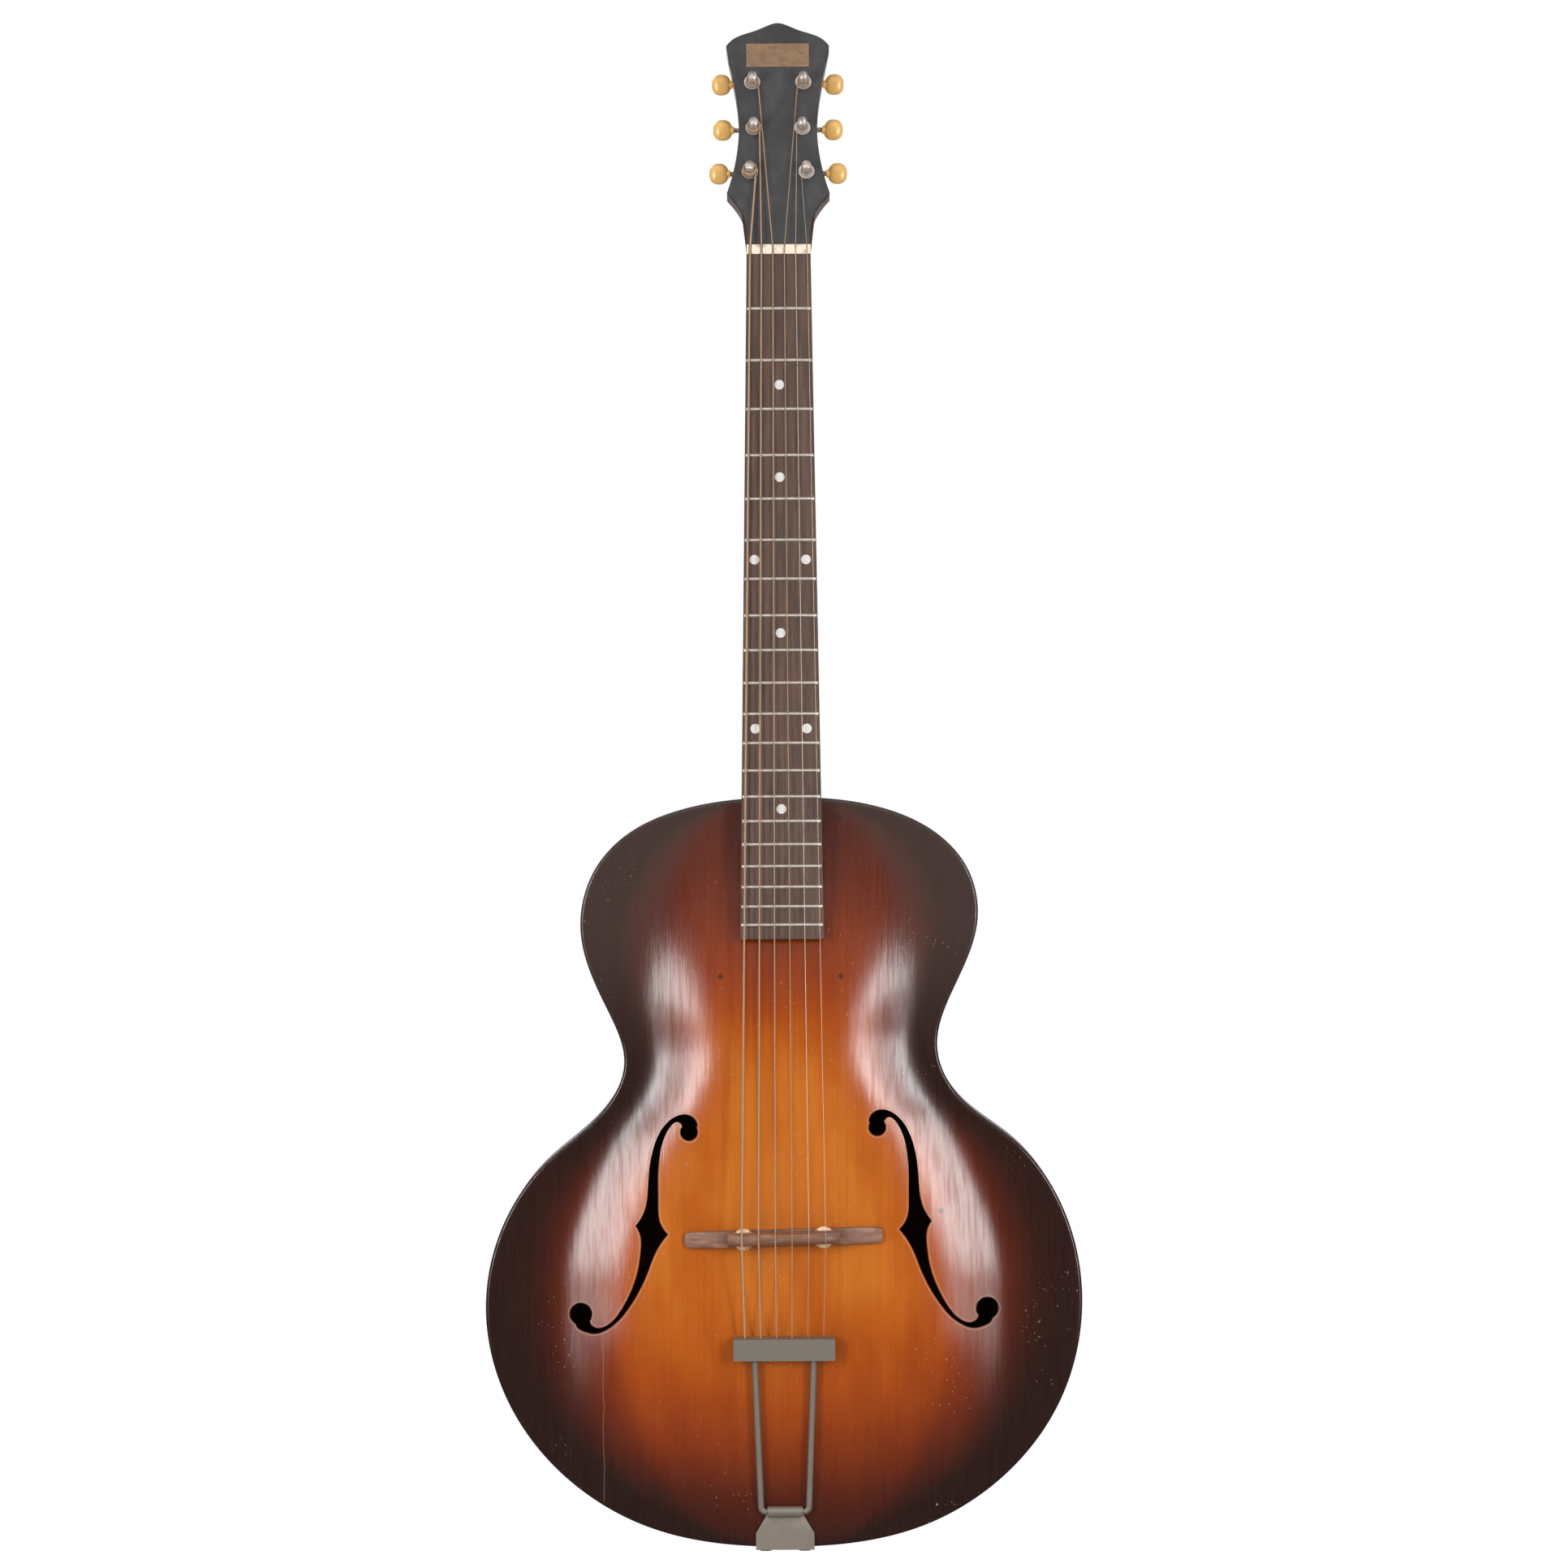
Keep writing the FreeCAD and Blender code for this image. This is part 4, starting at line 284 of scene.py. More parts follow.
class BridgeSizes(bpy.types.PropertyGroup):
    """Sizes of the bridge and the tailpiece."""

    setback: metres("Setback", "Bridge beyond the scale length", 0.0015)
    slant: degrees("Slant", "How far the bridge is turned", 1.3)
    rise: metres("Rise", "Strings above the board's line at the bridge", 0.0055)
    base_length: metres("Base length", "Bridge base, end to end", 0.126)
    base_middle: metres("Base middle", "Thick middle of the base", 0.076)
    base_height: metres("Base height", "Base at its middle", 0.0075)
    base_tip: metres("Base tip", "Base at its ends, above the crown's level", 0.002625)
    base_depth: metres("Base depth", "Base along the strings", 0.011)
    saddle_length: metres("Saddle length", "Saddle, end to end", 0.072)
    saddle_depth: metres("Saddle depth", "Saddle along the strings", 0.0095)
    saddle_crest: metres("Saddle crest", "Saddle at its top, along the strings", 0.0062)
    saddle_shoulder: metres("Saddle shoulder", "How far the saddle's ends fall", 0.003)
    saddle_sink: metres("Saddle sink", "Saddle's crest below the strings' middles", 0.0003)
    wheel_lift: metres("Wheel lift", "Thumbwheels above the base", 0.002)
    wheel: metres("Wheel", "Thickness of a thumbwheel", 0.003)
    running_gap: metres("Running gap", "Between pieces that turn on each other", 0.00008)
    tail_tilt: degrees("Tail tilt", "How far the tailpiece leans forward", 9.5)
    tail_reach: metres("Tail reach", "From the bridge down to the tail bar", 0.0647)
    bar_height: metres("Bar height", "Tail bar along the strings", 0.014)
    bar_sheet: metres("Bar sheet", "Thickness of the tail bar's sheet", 0.0012)
    wire_radius: metres("Wire radius", "Radius of the tailpiece's rods", 0.002)
    wire_top: metres("Rod tops", "Between the rods at the bar", 0.038)
    wire_foot: metres("Rod feet", "Between the rods at the hinge", 0.0305)
    wire_bend: metres("Rod bend", "Length of a bend at the hinge", 0.0032)
    wire_end: metres("Rod end", "Rods above the bar's lower edge", 0.0025)
    knuckle_inset: metres("Knuckle inset", "Hinge from the body's end", 0.023)
    knuckle_wall: metres("Knuckle wall", "Wall of the hinge's tube", 0.0014)
    glue_gap: metres("Glue gap", "Between glued pieces", 0.00005)


class FinishColours(bpy.types.PropertyGroup):
    """Colours of the finishes, as they look in plain light."""

    amber: colour("Amber", "Middle of the sunburst", (0.56, 0.155, 0.014))
    honey: colour("Honey", "Sunburst around the middle", (0.46, 0.100, 0.005))
    orange: colour("Orange", "Sunburst outside the honey", (0.37, 0.063, 0.002))
    rust: colour("Rust", "Sunburst half way to the edge", (0.25, 0.036, 0.002))
    russet: colour("Russet", "Sunburst inside the dark ring", (0.14, 0.019, 0.003))
    chestnut: colour("Chestnut", "Dark ring of the sunburst", (0.075, 0.011, 0.003))
    umber: colour("Umber", "Edge of the sunburst", (0.020, 0.006, 0.004))
    # Paler upper bout: partly faded wear, partly a painted sheen of light reflected from above
    wear_and_sheen: colour("Haze", "What wear adds to the upper bout's colour", (0.032, 0.024, 0.021))
    back: colour("Back", "Lacquer of back and sides", (0.145, 0.034, 0.011))
    back_dark: colour("Back, dark", "Pores and clouds of back, sides and neck", (0.042, 0.011, 0.005))
    neck: colour("Neck", "Lacquer of the neck", (0.110, 0.028, 0.010))
    bare_wood: colour("Bare wood", "Unfinished wood inside", (0.42, 0.27, 0.13))
    # Pale worn wood; on the f-holes' edges it is also a painted highlight, and the crack and dings take it as
    # wear
    worn_edge_and_highlight: colour("Worn edge", "Worn edges of the f-holes", (0.52, 0.33, 0.22))
    head: colour("Head", "Headstock face", (0.034, 0.032, 0.033))
    label: colour("Label", "Label plate", (0.30, 0.175, 0.095))
    bridge: colour("Bridge", "Rosewood of the bridge", (0.27, 0.125, 0.070))
    bridge_dark: colour("Bridge, dark", "Dark streaks of the bridge", (0.115, 0.048, 0.028))
    rosewood: colour("Rosewood", "Fingerboard", (0.135, 0.072, 0.048))
    rosewood_dark: colour("Rosewood, dark", "Dark streaks of the rosewood", (0.050, 0.026, 0.018))
    pearl: colour("Pearl", "Position dots", (0.80, 0.74, 0.70))
    bone: colour("Bone", "Nut", (0.94, 0.82, 0.65))
    cream: colour("Cream", "Tuner buttons", (0.98, 0.58, 0.17))
    nickel: colour("Nickel", "Tuner metal and frets", (0.72, 0.64, 0.57))
    tail_nickel: colour("Tail nickel", "Dull metal of the tailpiece", (0.26, 0.225, 0.185))
    steel: colour("Steel", "Studs and neck bar", (0.40, 0.38, 0.36))
    brass: colour("Brass", "Gears", (0.66, 0.45, 0.19))
    pale_brass: colour("Pale brass", "Thumbwheels", (0.86, 0.62, 0.40))
    bronze: colour("Bronze", "Wound strings", (0.56, 0.36, 0.23))
    tin: colour("Tin", "Plain strings", (0.66, 0.52, 0.42))


class StageSettings(bpy.types.PropertyGroup):
    """Camera, lamps and floor."""

    distance: metres("Camera distance", "From the camera to the guitar", 6.0)
    across: metres("Camera place across", "Camera beside the middle line", 0.0017)
    level: metres("Camera level", "Camera below the nut", 0.3395)
    view: metres("View", "Width of what the camera sees", 1.0060)
    roll: degrees("Roll", "How far the camera is rolled", 0.30)
    sensor: number("Sensor", "Camera sensor width in millimetres", 36.0)
    strip_angle: degrees("Strip angle", "Strip lamps from the camera's line", 35.0)
    strip_distance: metres("Strip distance", "Strip lamps from the guitar", 2.6)
    strip_width: metres("Strip width", "Width of a strip lamp", 0.45)
    strip_height: metres("Strip height", "Height of a strip lamp", 1.05)
    strip_level: metres("Strip level", "Middle of the strips below the nut", 0.12)
    strip_power: number("Strip power", "Power of a strip lamp in watts", 27.0)
    foot_height: metres("Strip foot", "Height of the dim lamp under a strip", 0.30)
    foot_power: number("Strip foot power", "Power of the dim lamp under a strip in watts", 2.0)
    fill_height: metres("Fill height", "Fill lamp above the nut", 1.6)
    fill_distance: metres("Fill distance", "Fill lamp in front of the guitar", 2.4)
    fill_size: metres("Fill size", "Size of the fill lamp", 1.6)
    fill_power: number("Fill power", "Power of the fill lamp in watts", 8.0)
    rear_aside: metres("Rear aside", "Rear lamp beside the guitar", 1.5)
    rear_power: number("Rear power", "Power of the lamp behind the guitar in watts", 30.0)
    ambient: number("Ambient", "Light from all around", 0.36)
    room: number("Room", "Brightness that gloss reflects from the front", 0.18)
    room_above: number("Room above", "Brightness that gloss reflects from above", 0.65)
    room_behind: number("Room behind", "Brightness that gloss reflects from behind", 0.32)
    floor_drop: metres("Floor drop", "Floor below the guitar", 0.17)
    floor_radius: metres("Floor radius", "Radius of the floor", 0.9)


def body_sizes():
    """Sizes of the body."""
    return bpy.context.scene.guitar_body


def neck_sizes():
    """Sizes of the neck."""
    return bpy.context.scene.guitar_neck


def string_sizes():
    """Sizes of the strings."""
    return bpy.context.scene.guitar_strings


def bridge_sizes():
    """Sizes of bridge and tailpiece."""
    return bpy.context.scene.guitar_bridge


def finish_colours():
    """Colours of the finishes."""
    return bpy.context.scene.guitar_finishes


def turned(angle, axis):
    """A turn about an axis."""
    return Matrix.Rotation(angle, 4, axis)


def moved(x=0.0, y=0.0, z=0.0):
    """A move."""
    return Matrix.Translation((x, y, z))


def placed(points, matrix):
    """Points carried by a frame."""
    grid = np.array(matrix)
    return np.asarray(points) @ grid[:3, :3].T + grid[:3, 3]


def fret_reach(fret):
    """Distance from the nut to a fret: scale times 1 - 2^(-fret / 12)."""
    return neck_sizes().scale * (1 - 2 ** (-fret / 12))


def neck_frame():
    """Frame of the neck: it leans back from the nut."""
    return turned(-neck_sizes().angle, "X")


def head_frame():
    """Frame of the headstock, from the nut's upper face."""
    neck = neck_sizes()
    return neck_frame() @ moved(z=neck.nut_thickness) @ turned(-neck.head_angle, "X")


def body_frame():
    """Frame of the body, at the upper end of the top plate's edge."""
    neck, joint = neck_sizes(), fret_reach(JOINT_FRET)
    return moved(y=neck.standoff - joint * math.sin(neck.angle), z=-joint * math.cos(neck.angle))


def bridge_drop():
    """Bridge below the body's upper end."""
    neck = neck_sizes()
    return (neck.scale + bridge_sizes().setback - fret_reach(JOINT_FRET)) * math.cos(neck.angle)


def middle_crown(drop):
    """Height of the top on its middle line."""
    return float(body_sizes().top_arch * arch_share(np.array([0.0]), np.array([drop]))[0])


def bridge_frame():
    """Frame of the bridge, on the crown of the top."""
    drop = bridge_drop()
    return body_frame() @ moved(y=-middle_crown(drop), z=-drop) @ turned(-bridge_sizes().slant, "Y")


def bridge_height():
    """Strings above the crown of the top, at the bridge."""
    neck, bridge = neck_sizes(), bridge_sizes()
    reach = neck.scale + bridge.setback
    height = body_frame().translation.y - middle_crown(bridge_drop())
    return height + (neck.board + bridge.rise) * math.cos(neck.angle) + reach * math.sin(neck.angle)


def tail_frame():
    """Frame of the tailpiece, on its hinge."""
    bridge = bridge_sizes()
    drop = body_sizes().length - bridge.knuckle_inset
    lift = middle_crown(drop) + bridge.glue_gap + bridge.wire_radius
    lift += bridge.running_gap + bridge.knuckle_wall
    return body_frame() @ moved(y=-lift, z=-drop) @ turned(bridge.tail_tilt, "X")


def tail_rise():
    """Lower edge of the tail bar above the hinge, in the tailpiece's frame."""
    bridge = bridge_sizes()
    run = body_sizes().length - bridge.knuckle_inset - bridge_drop()
    return run / math.cos(bridge.tail_tilt) - bridge.tail_reach - bridge.bar_height


def unit(vectors):
    """Vectors of length one."""
    vectors = np.asarray(vectors, float)
    return vectors / np.linalg.norm(vectors, axis=-1, keepdims=True)


def spline(points, closed=False):
    """A cubic spline through points, spaced by their chords, and its knots.

    Between two knots it is near * P0 + far * P1 + step^2 / 6 * ((near^3 - near) * M0 + (far^3 - far) * M1),
    where near + far = 1 and the bends M keep the slope even; an open end's bend is that of its neighbour.
    """
    points = np.asarray(points, float)
    ends = np.vstack([points, points[:1]]) if closed else points
    chords = np.diff(ends, axis=0)
    steps = np.linalg.norm(chords, axis=1)
    knots = np.concatenate([[0.0], np.cumsum(steps)])
    slopes = chords / steps[:, None]
    count = len(ends)
    matrix = np.eye(count)
    right = np.zeros_like(ends)
    inner = np.arange(1, count - 1)
    matrix[inner, inner - 1] = steps[:-1]
    matrix[inner, inner] = 2 * (steps[:-1] + steps[1:])
    matrix[inner, inner + 1] = steps[1:]
    right[inner] = 6 * np.diff(slopes, axis=0)
    if closed:
        matrix[0, -1] = -1
        matrix[-1] = 0
        matrix[-1, [-2, -1, 1]] = steps[-1], 2 * (steps[-1] + steps[0]), steps[0]
        right[-1] = 6 * (slopes[0] - slopes[-1])
    elif count > 2:
        matrix[0, 1] = -1
        matrix[-1, -2] = -1
    bends = np.linalg.solve(matrix, right)

    def at(places):
        index = np.clip(np.searchsorted(knots, places, side="right") - 1, 0, len(steps) - 1)
        step = steps[index][:, None]
        far = (np.asarray(places) - knots[index])[:, None] / step
        near = 1 - far
        bow = (near ** 3 - near) * bends[index] + (far ** 3 - far) * bends[index + 1]
        return near * ends[index] + far * ends[index + 1] + step ** 2 / 6 * bow

    return knots, at


def smooth_run(points, count):
    """Points of an open spline through a few."""
    knots, at = spline(points)
    return at(np.linspace(0, knots[-1], count))


def evenly(points, count):
    """A run of points at even steps of its length."""
    lengths = np.concatenate([[0.0], np.cumsum(np.linalg.norm(np.diff(points, axis=0), axis=1))])
    places = np.linspace(0, lengths[-1], count)
    return np.stack([np.interp(places, lengths, column) for column in points.T], axis=1)


def edge_points(sizes, length, shares, way=1):
    """Points of an edge beside its middle line, from shares of a length and of half of a width."""
    return [(way * share * getattr(sizes, width) / 2, along * length) for along, width, share in shares]


def body_side(sign, count=OUTLINE_ROWS):
    """One side of the body's outline, from the upper end to the tail, as x and drop.

    One closed spline passes through the tail, the treble points, the upper end and the bass points.
    """
    body = body_sizes()
    treble = edge_points(body, body.length, TREBLE_SHARES)
    bass = edge_points(body, body.length, BASS_SHARES, -1)
    knots, at = spline([(0.0, body.length)] + treble[::-1] + [(0.0, 0.0)] + bass, closed=True)
    top = knots[len(treble) + 1]
    run = at(np.linspace(top, 0 if sign > 0 else knots[-1], OUTLINE_DENSE))
    return evenly(run, count)


def outward(run, sign):
    """Directions out of the body along a side: the run's direction, turned a quarter."""
    heading = unit(np.gradient(run, axis=0))
    ways = sign * np.stack([heading[:, 1], -heading[:, 0]], axis=1)
    ways[0] = 0, -1
    ways[-1] = 0, 1
    return ways


def half_width(x, drop):
    """Half width of the body at a drop, on the side where x lies."""
    runs = {sign: body_side(sign, OUTLINE_DENSE) for sign in (-1, 1)}
    widths = {sign: np.interp(drop, run[:, 1], np.abs(run[:, 0])) for sign, run in runs.items()}
    return np.where(x > 0, widths[1], widths[-1])


def arch_share(x, drop):
    """Share of the arch's height: a raised cosine across, times one that rises from both ends.

    along is the share of the length inside the flats and across that of the arch's reach; the height is
    (1 - cos(pi * min(along, 1 - along) / ramp)) / 2 * (1 + cos(pi * across^fullness)) / 2. Reach and
    fullness go smoothly from their upper to their lower values, and the reach keeps inside the edge:
    it is -blend * log(exp(-edge / blend) + exp(-reach / blend)).
    """
    body = body_sizes()
    along = (drop - body.edge_flat) / (body.length - 2 * body.edge_flat)
    ramp = np.clip(np.minimum(along, 1 - along) / body.arch_ramp, 0, 1)
    low, high = ARCH_WIDEN_SHARES
    step = np.clip((drop / body.length - low) / (high - low), 0, 1)
    step = step * step * (3 - 2 * step)
    reach = body.upper_reach + (body.lower_reach - body.upper_reach) * step
    fullness = body.upper_fullness + (body.lower_fullness - body.upper_fullness) * step
    edge = np.maximum(half_width(x, drop) - body.edge_flat, 0)
    blend = body.reach_blend
    reach = np.maximum(-blend * np.logaddexp(-edge / blend, -reach / blend), WELD)
    across = np.clip(np.abs(x) / reach, 0, 1)
    crown = 0.5 - 0.5 * np.cos(np.pi * ramp)
    return crown * (0.5 + 0.5 * np.cos(np.pi * across ** fullness))


def grid_faces(rows, columns, close_rows=False, close_columns=False):
    """Quads between neighbours of a grid of points."""
    row, column = np.meshgrid(
        np.arange(rows if close_rows else rows - 1),
        np.arange(columns if close_columns else columns - 1),
        indexing="ij",
    )
    below, beside = (row + 1) % rows, (column + 1) % columns
    corners = [row * columns + column, below * columns + column, below * columns + beside,
               row * columns + beside]
    return np.stack(corners, axis=-1).reshape(-1, 4)


def carried(rings, closed_path=False, closed_ring=True):
    """Points and faces of a profile carried along a path: rings is a grid of path by profile points.
    A closed profile on an open path gets a cap at each end."""
    rows, columns = rings.shape[:2]
    faces = grid_faces(rows, columns, closed_path, closed_ring).tolist()
    if closed_ring and not closed_path:
        faces.append(list(range(columns)))
        faces.append(list(range((rows - 1) * columns, rows * columns)))
    return rings.reshape(-1, 3), faces


def together(shapes):
    """Several shapes as one list of points and one of faces."""
    points, faces, start = [], [], 0
    for shape_points, shape_faces in shapes:
        points.append(shape_points)
        faces += [[corner + start for corner in face] for face in shape_faces]
        start += len(shape_points)
    return np.concatenate(points), faces


def tube(centres, radius, reference, sides=STRING_SIDES):
    """A round tube: around each centre, radius * (cos(turn) * side + sin(turn) * up), where side and up
    are square to the path and the path never runs along the reference."""
    heading = unit(np.gradient(centres, axis=0))
    side = unit(np.cross(heading, reference))
    up = np.cross(side, heading)
    turn = np.linspace(0, 2 * np.pi, sides, endpoint=False)[None, :, None]
    radius = np.broadcast_to(radius, len(centres))[:, None, None]
    return carried(centres[:, None] + radius * (np.cos(turn) * side[:, None] + np.sin(turn) * up[:, None]))


def rounded_corner(before, corner, after, radius, count=BEND_STEPS):
    """The arc that touches both runs at a corner: centre + radius * (cos * out + sin * onward)."""
    back, onward = unit(before - corner), unit(after - corner)
    turn = np.pi - np.arccos(np.clip(back @ onward, -1, 1))
    start = corner + back * radius * np.tan(turn / 2)
    centre = corner + unit(back + onward) * radius / np.cos(turn / 2)
    angle = np.linspace(0, turn, count)[:, None]
    return centre + np.cos(angle) * (start - centre) - np.sin(angle) * back * radius


def superellipse(count, power):
    """A closed curve |a|^power + |b|^power = 1, as columns a and b."""
    angle = np.linspace(0, 2 * np.pi, count, endpoint=False)
    cosine, sine = np.cos(angle), np.sin(angle)
    return (np.sign(cosine) * np.abs(cosine) ** (2 / power), np.sign(sine) * np.abs(sine) ** (2 / power))


def welded(mesh, sharp):
    """Merge a mesh's doubles, turn its faces outwards, and shade it smooth up to an angle."""
    work = bmesh.new()
    work.from_mesh(mesh)
    bmesh.ops.remove_doubles(work, verts=work.verts, dist=WELD)
    bmesh.ops.dissolve_degenerate(work, edges=work.edges, dist=WELD)
    bmesh.ops.recalc_face_normals(work, faces=work.faces)
    work.to_mesh(mesh)
    work.free()
    mesh.shade_smooth()
    mesh.set_sharp_from_angle(angle=sharp)


def new_piece(name, shape):
    """A new object at the origin from points and faces."""
    points, faces = shape
    mesh = bpy.data.meshes.new(name)
    mesh.from_pydata(points, [], faces)
    welded(mesh, SHARP_ANGLE)
    piece = bpy.data.objects.new(name, mesh)
    bpy.context.scene.collection.objects.link(piece)
    return piece


def settle(piece, body, slot, *nodes, look=None):
    """Give a piece its body and its slot's finish, or another look, and let it stand for CAD nodes."""
    piece.data.materials.clear()
    piece.data.materials.append(finished(look or slot))
    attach(piece, body)
    if nodes:
        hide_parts(*nodes)
    return piece


def smooth_copy(node, finish):
    """A copy of a CAD node with welded points and smooth shading."""
    mesh = frame["nodes"][node].data.copy()
    mesh.name = node + "_smooth"
    welded(mesh, COPY_SHARP_ANGLE)
    piece = bpy.data.objects.new(node + "_smooth", mesh)
    bpy.context.scene.collection.objects.link(piece)
    return settle(piece, BODY_OF_NODE[node], finish, node)


# Places among a Mix node's sockets: its factor, its two numbers and their result, its two colours and theirs
MIX_FACTOR = 0
MIX_NUMBERS = (2, 3)
MIXED_NUMBER = 0
MIX_COLOURS = (6, 7)
MIXED_COLOUR = 2
# Sockets of a Map Range node
SPAN_SOCKETS = ("Value", "From Min", "From Max", "To Min", "To Max")


def feed(tree, socket, source):
    """Set a socket to a plain number or colour, or link it to an output."""
    if isinstance(source, bpy.types.NodeSocket):
        tree.links.new(source, socket)
    elif socket.type == "RGBA":
        socket.default_value = (*source[:3], 1.0)
    else:
        socket.default_value = source


def shaded(tint, share):
    """A colour with its parts multiplied, by one share or by one each."""
    return tuple(float(part) for part in np.multiply(tint[:], share))


class Finish:
    """A procedural material, with short ways to add its nodes."""

    def __init__(self, name):
        self.material = bpy.data.materials.new(name)
        self.material.use_nodes = True
        self.tree = self.material.node_tree
        self.shader = self.tree.nodes["Principled BSDF"]
        self.place = self.add("ShaderNodeTexCoord").outputs["Object"]

    def add(self, kind, **settings):
        """A node with some of its settings."""
        node = self.tree.nodes.new(kind)
        for name, setting in settings.items():
            setattr(node, name, setting)
        return node

    def join(self, socket, source):
        """Set or link a socket of this material."""
        feed(self.tree, socket, source)

    def set(self, **sockets):
        """Set the shader's sockets, named with _ for a space."""
        for name, source in sockets.items():
            self.join(self.shader.inputs[name.replace("_", " ")], source)
        return self

    def noise(self, scale, detail=4.0, roughness=0.55, distortion=0.0, seed=(0.0, 0.0, 0.0)):
        """Noise whose grain is so many per metre along each axis."""
        mapping = self.add("ShaderNodeMapping")
        self.join(mapping.inputs["Vector"], self.place)
        mapping.inputs["Scale"].default_value = scale
        mapping.inputs["Location"].default_value = seed
        texture = self.add("ShaderNodeTexNoise")
        self.join(texture.inputs["Vector"], mapping.outputs["Vector"])
        texture.inputs["Scale"].default_value = 1.0
        texture.inputs["Detail"].default_value = detail
        texture.inputs["Roughness"].default_value = roughness
        texture.inputs["Distortion"].default_value = distortion
        return texture.outputs["Fac"]

    def axis(self, name):
        """One of the object's own coordinates, in metres."""
        split = self.add("ShaderNodeSeparateXYZ")
        self.join(split.inputs["Vector"], self.place)
        return split.outputs[name]

    def calc(self, operation, first, second=0.0, third=0.0):
        """The result of an operation on numbers or outputs."""
        node = self.add("ShaderNodeMath", operation=operation)
        for socket, source in zip(node.inputs, (first, second, third)):
            self.join(socket, source)
        return node.outputs["Value"]

    def span(self, source, low, high, start=0.0, end=1.0):
        """A number carried from one span to another, held at the ends."""
        node = self.add("ShaderNodeMapRange", interpolation_type="SMOOTHSTEP")
        for name, value in zip(SPAN_SOCKETS, (source, low, high, start, end)):
            self.join(node.inputs[name], value)
        return node.outputs["Result"]

    def ramp(self, source, stops):
        """A colour ramp through places and colours."""
        node = self.add("ShaderNodeValToRGB")
        elements = node.color_ramp.elements
        while len(elements) < len(stops):
            elements.new(1.0)
        for element, (place, tint) in zip(elements, stops):
            element.position = place
            element.color = (*tint[:3], 1.0)
        self.join(node.inputs["Fac"], source)
        return node.outputs["Color"]

    def mix(self, factor, first, second, blend="MIX"):
        """One colour over another."""
        node = self.add("ShaderNodeMix", data_type="RGBA", blend_type=blend)
        for index, source in zip((MIX_FACTOR, *MIX_COLOURS), (factor, first, second)):
            self.join(node.inputs[index], source)
        return node.outputs[MIXED_COLOUR]

    def bump(self, height, depth, strength=1.0, under=None):
        """A bump so deep, in metres, over another where one is given."""
        node = self.add("ShaderNodeBump")
        node.inputs["Strength"].default_value = strength
        node.inputs["Distance"].default_value = depth
        self.join(node.inputs["Height"], height)
        if under is not None:
            self.join(node.inputs["Normal"], under)
        return node.outputs["Normal"]


# Depths of the finishes' relief
RIPPLE_DEPTH = 0.00012
CHECK_DEPTH = 0.00004
FLAME_DEPTH = 0.00012
PORE_DEPTH = 0.00012
BRIDGE_GRAIN_DEPTH = 0.0001
SCUFF_DEPTH = 0.00003
LABEL_WEAR_DEPTH = 0.00005
SCRATCH_DEPTH = 0.00002
WINDING_DEPTH = 0.00008
# What the top's grain and streaks multiply its colour by
GRAIN_TINT = (0.66, 0.52, 0.45)
STREAK_TINT = (1.25, 1.35, 1.4)
# Wear of the top, as places across and below the body's upper end: a paler upper bout that is partly faded
# wear and partly a painted sheen of light reflected from above, plugged screw holes, and a hairline crack;
# and how strongly plugs, crack and dings tint the lacquer
WEAR_AND_SHEEN_DROP = 0.19
WEAR_AND_SHEEN_FULL_DROP = 0.07
PLUGS = ((0.0374, 0.0130), (0.0374, 0.1143), (-0.0395, 0.1143), (0.1008, 0.2650))
PLUG_RADIUS = 0.0018
CRACK_ACROSS = -0.1158
CRACK_DROPS = (0.345, 0.450)
CRACK_WIDTH = 0.0005
CRACK_WANDER = 0.004
WEAR_SOFTNESS = 0.0004
PLUG_STRENGTH = 0.7
CRACK_STRENGTH = 0.22
DING_STRENGTH = 0.6


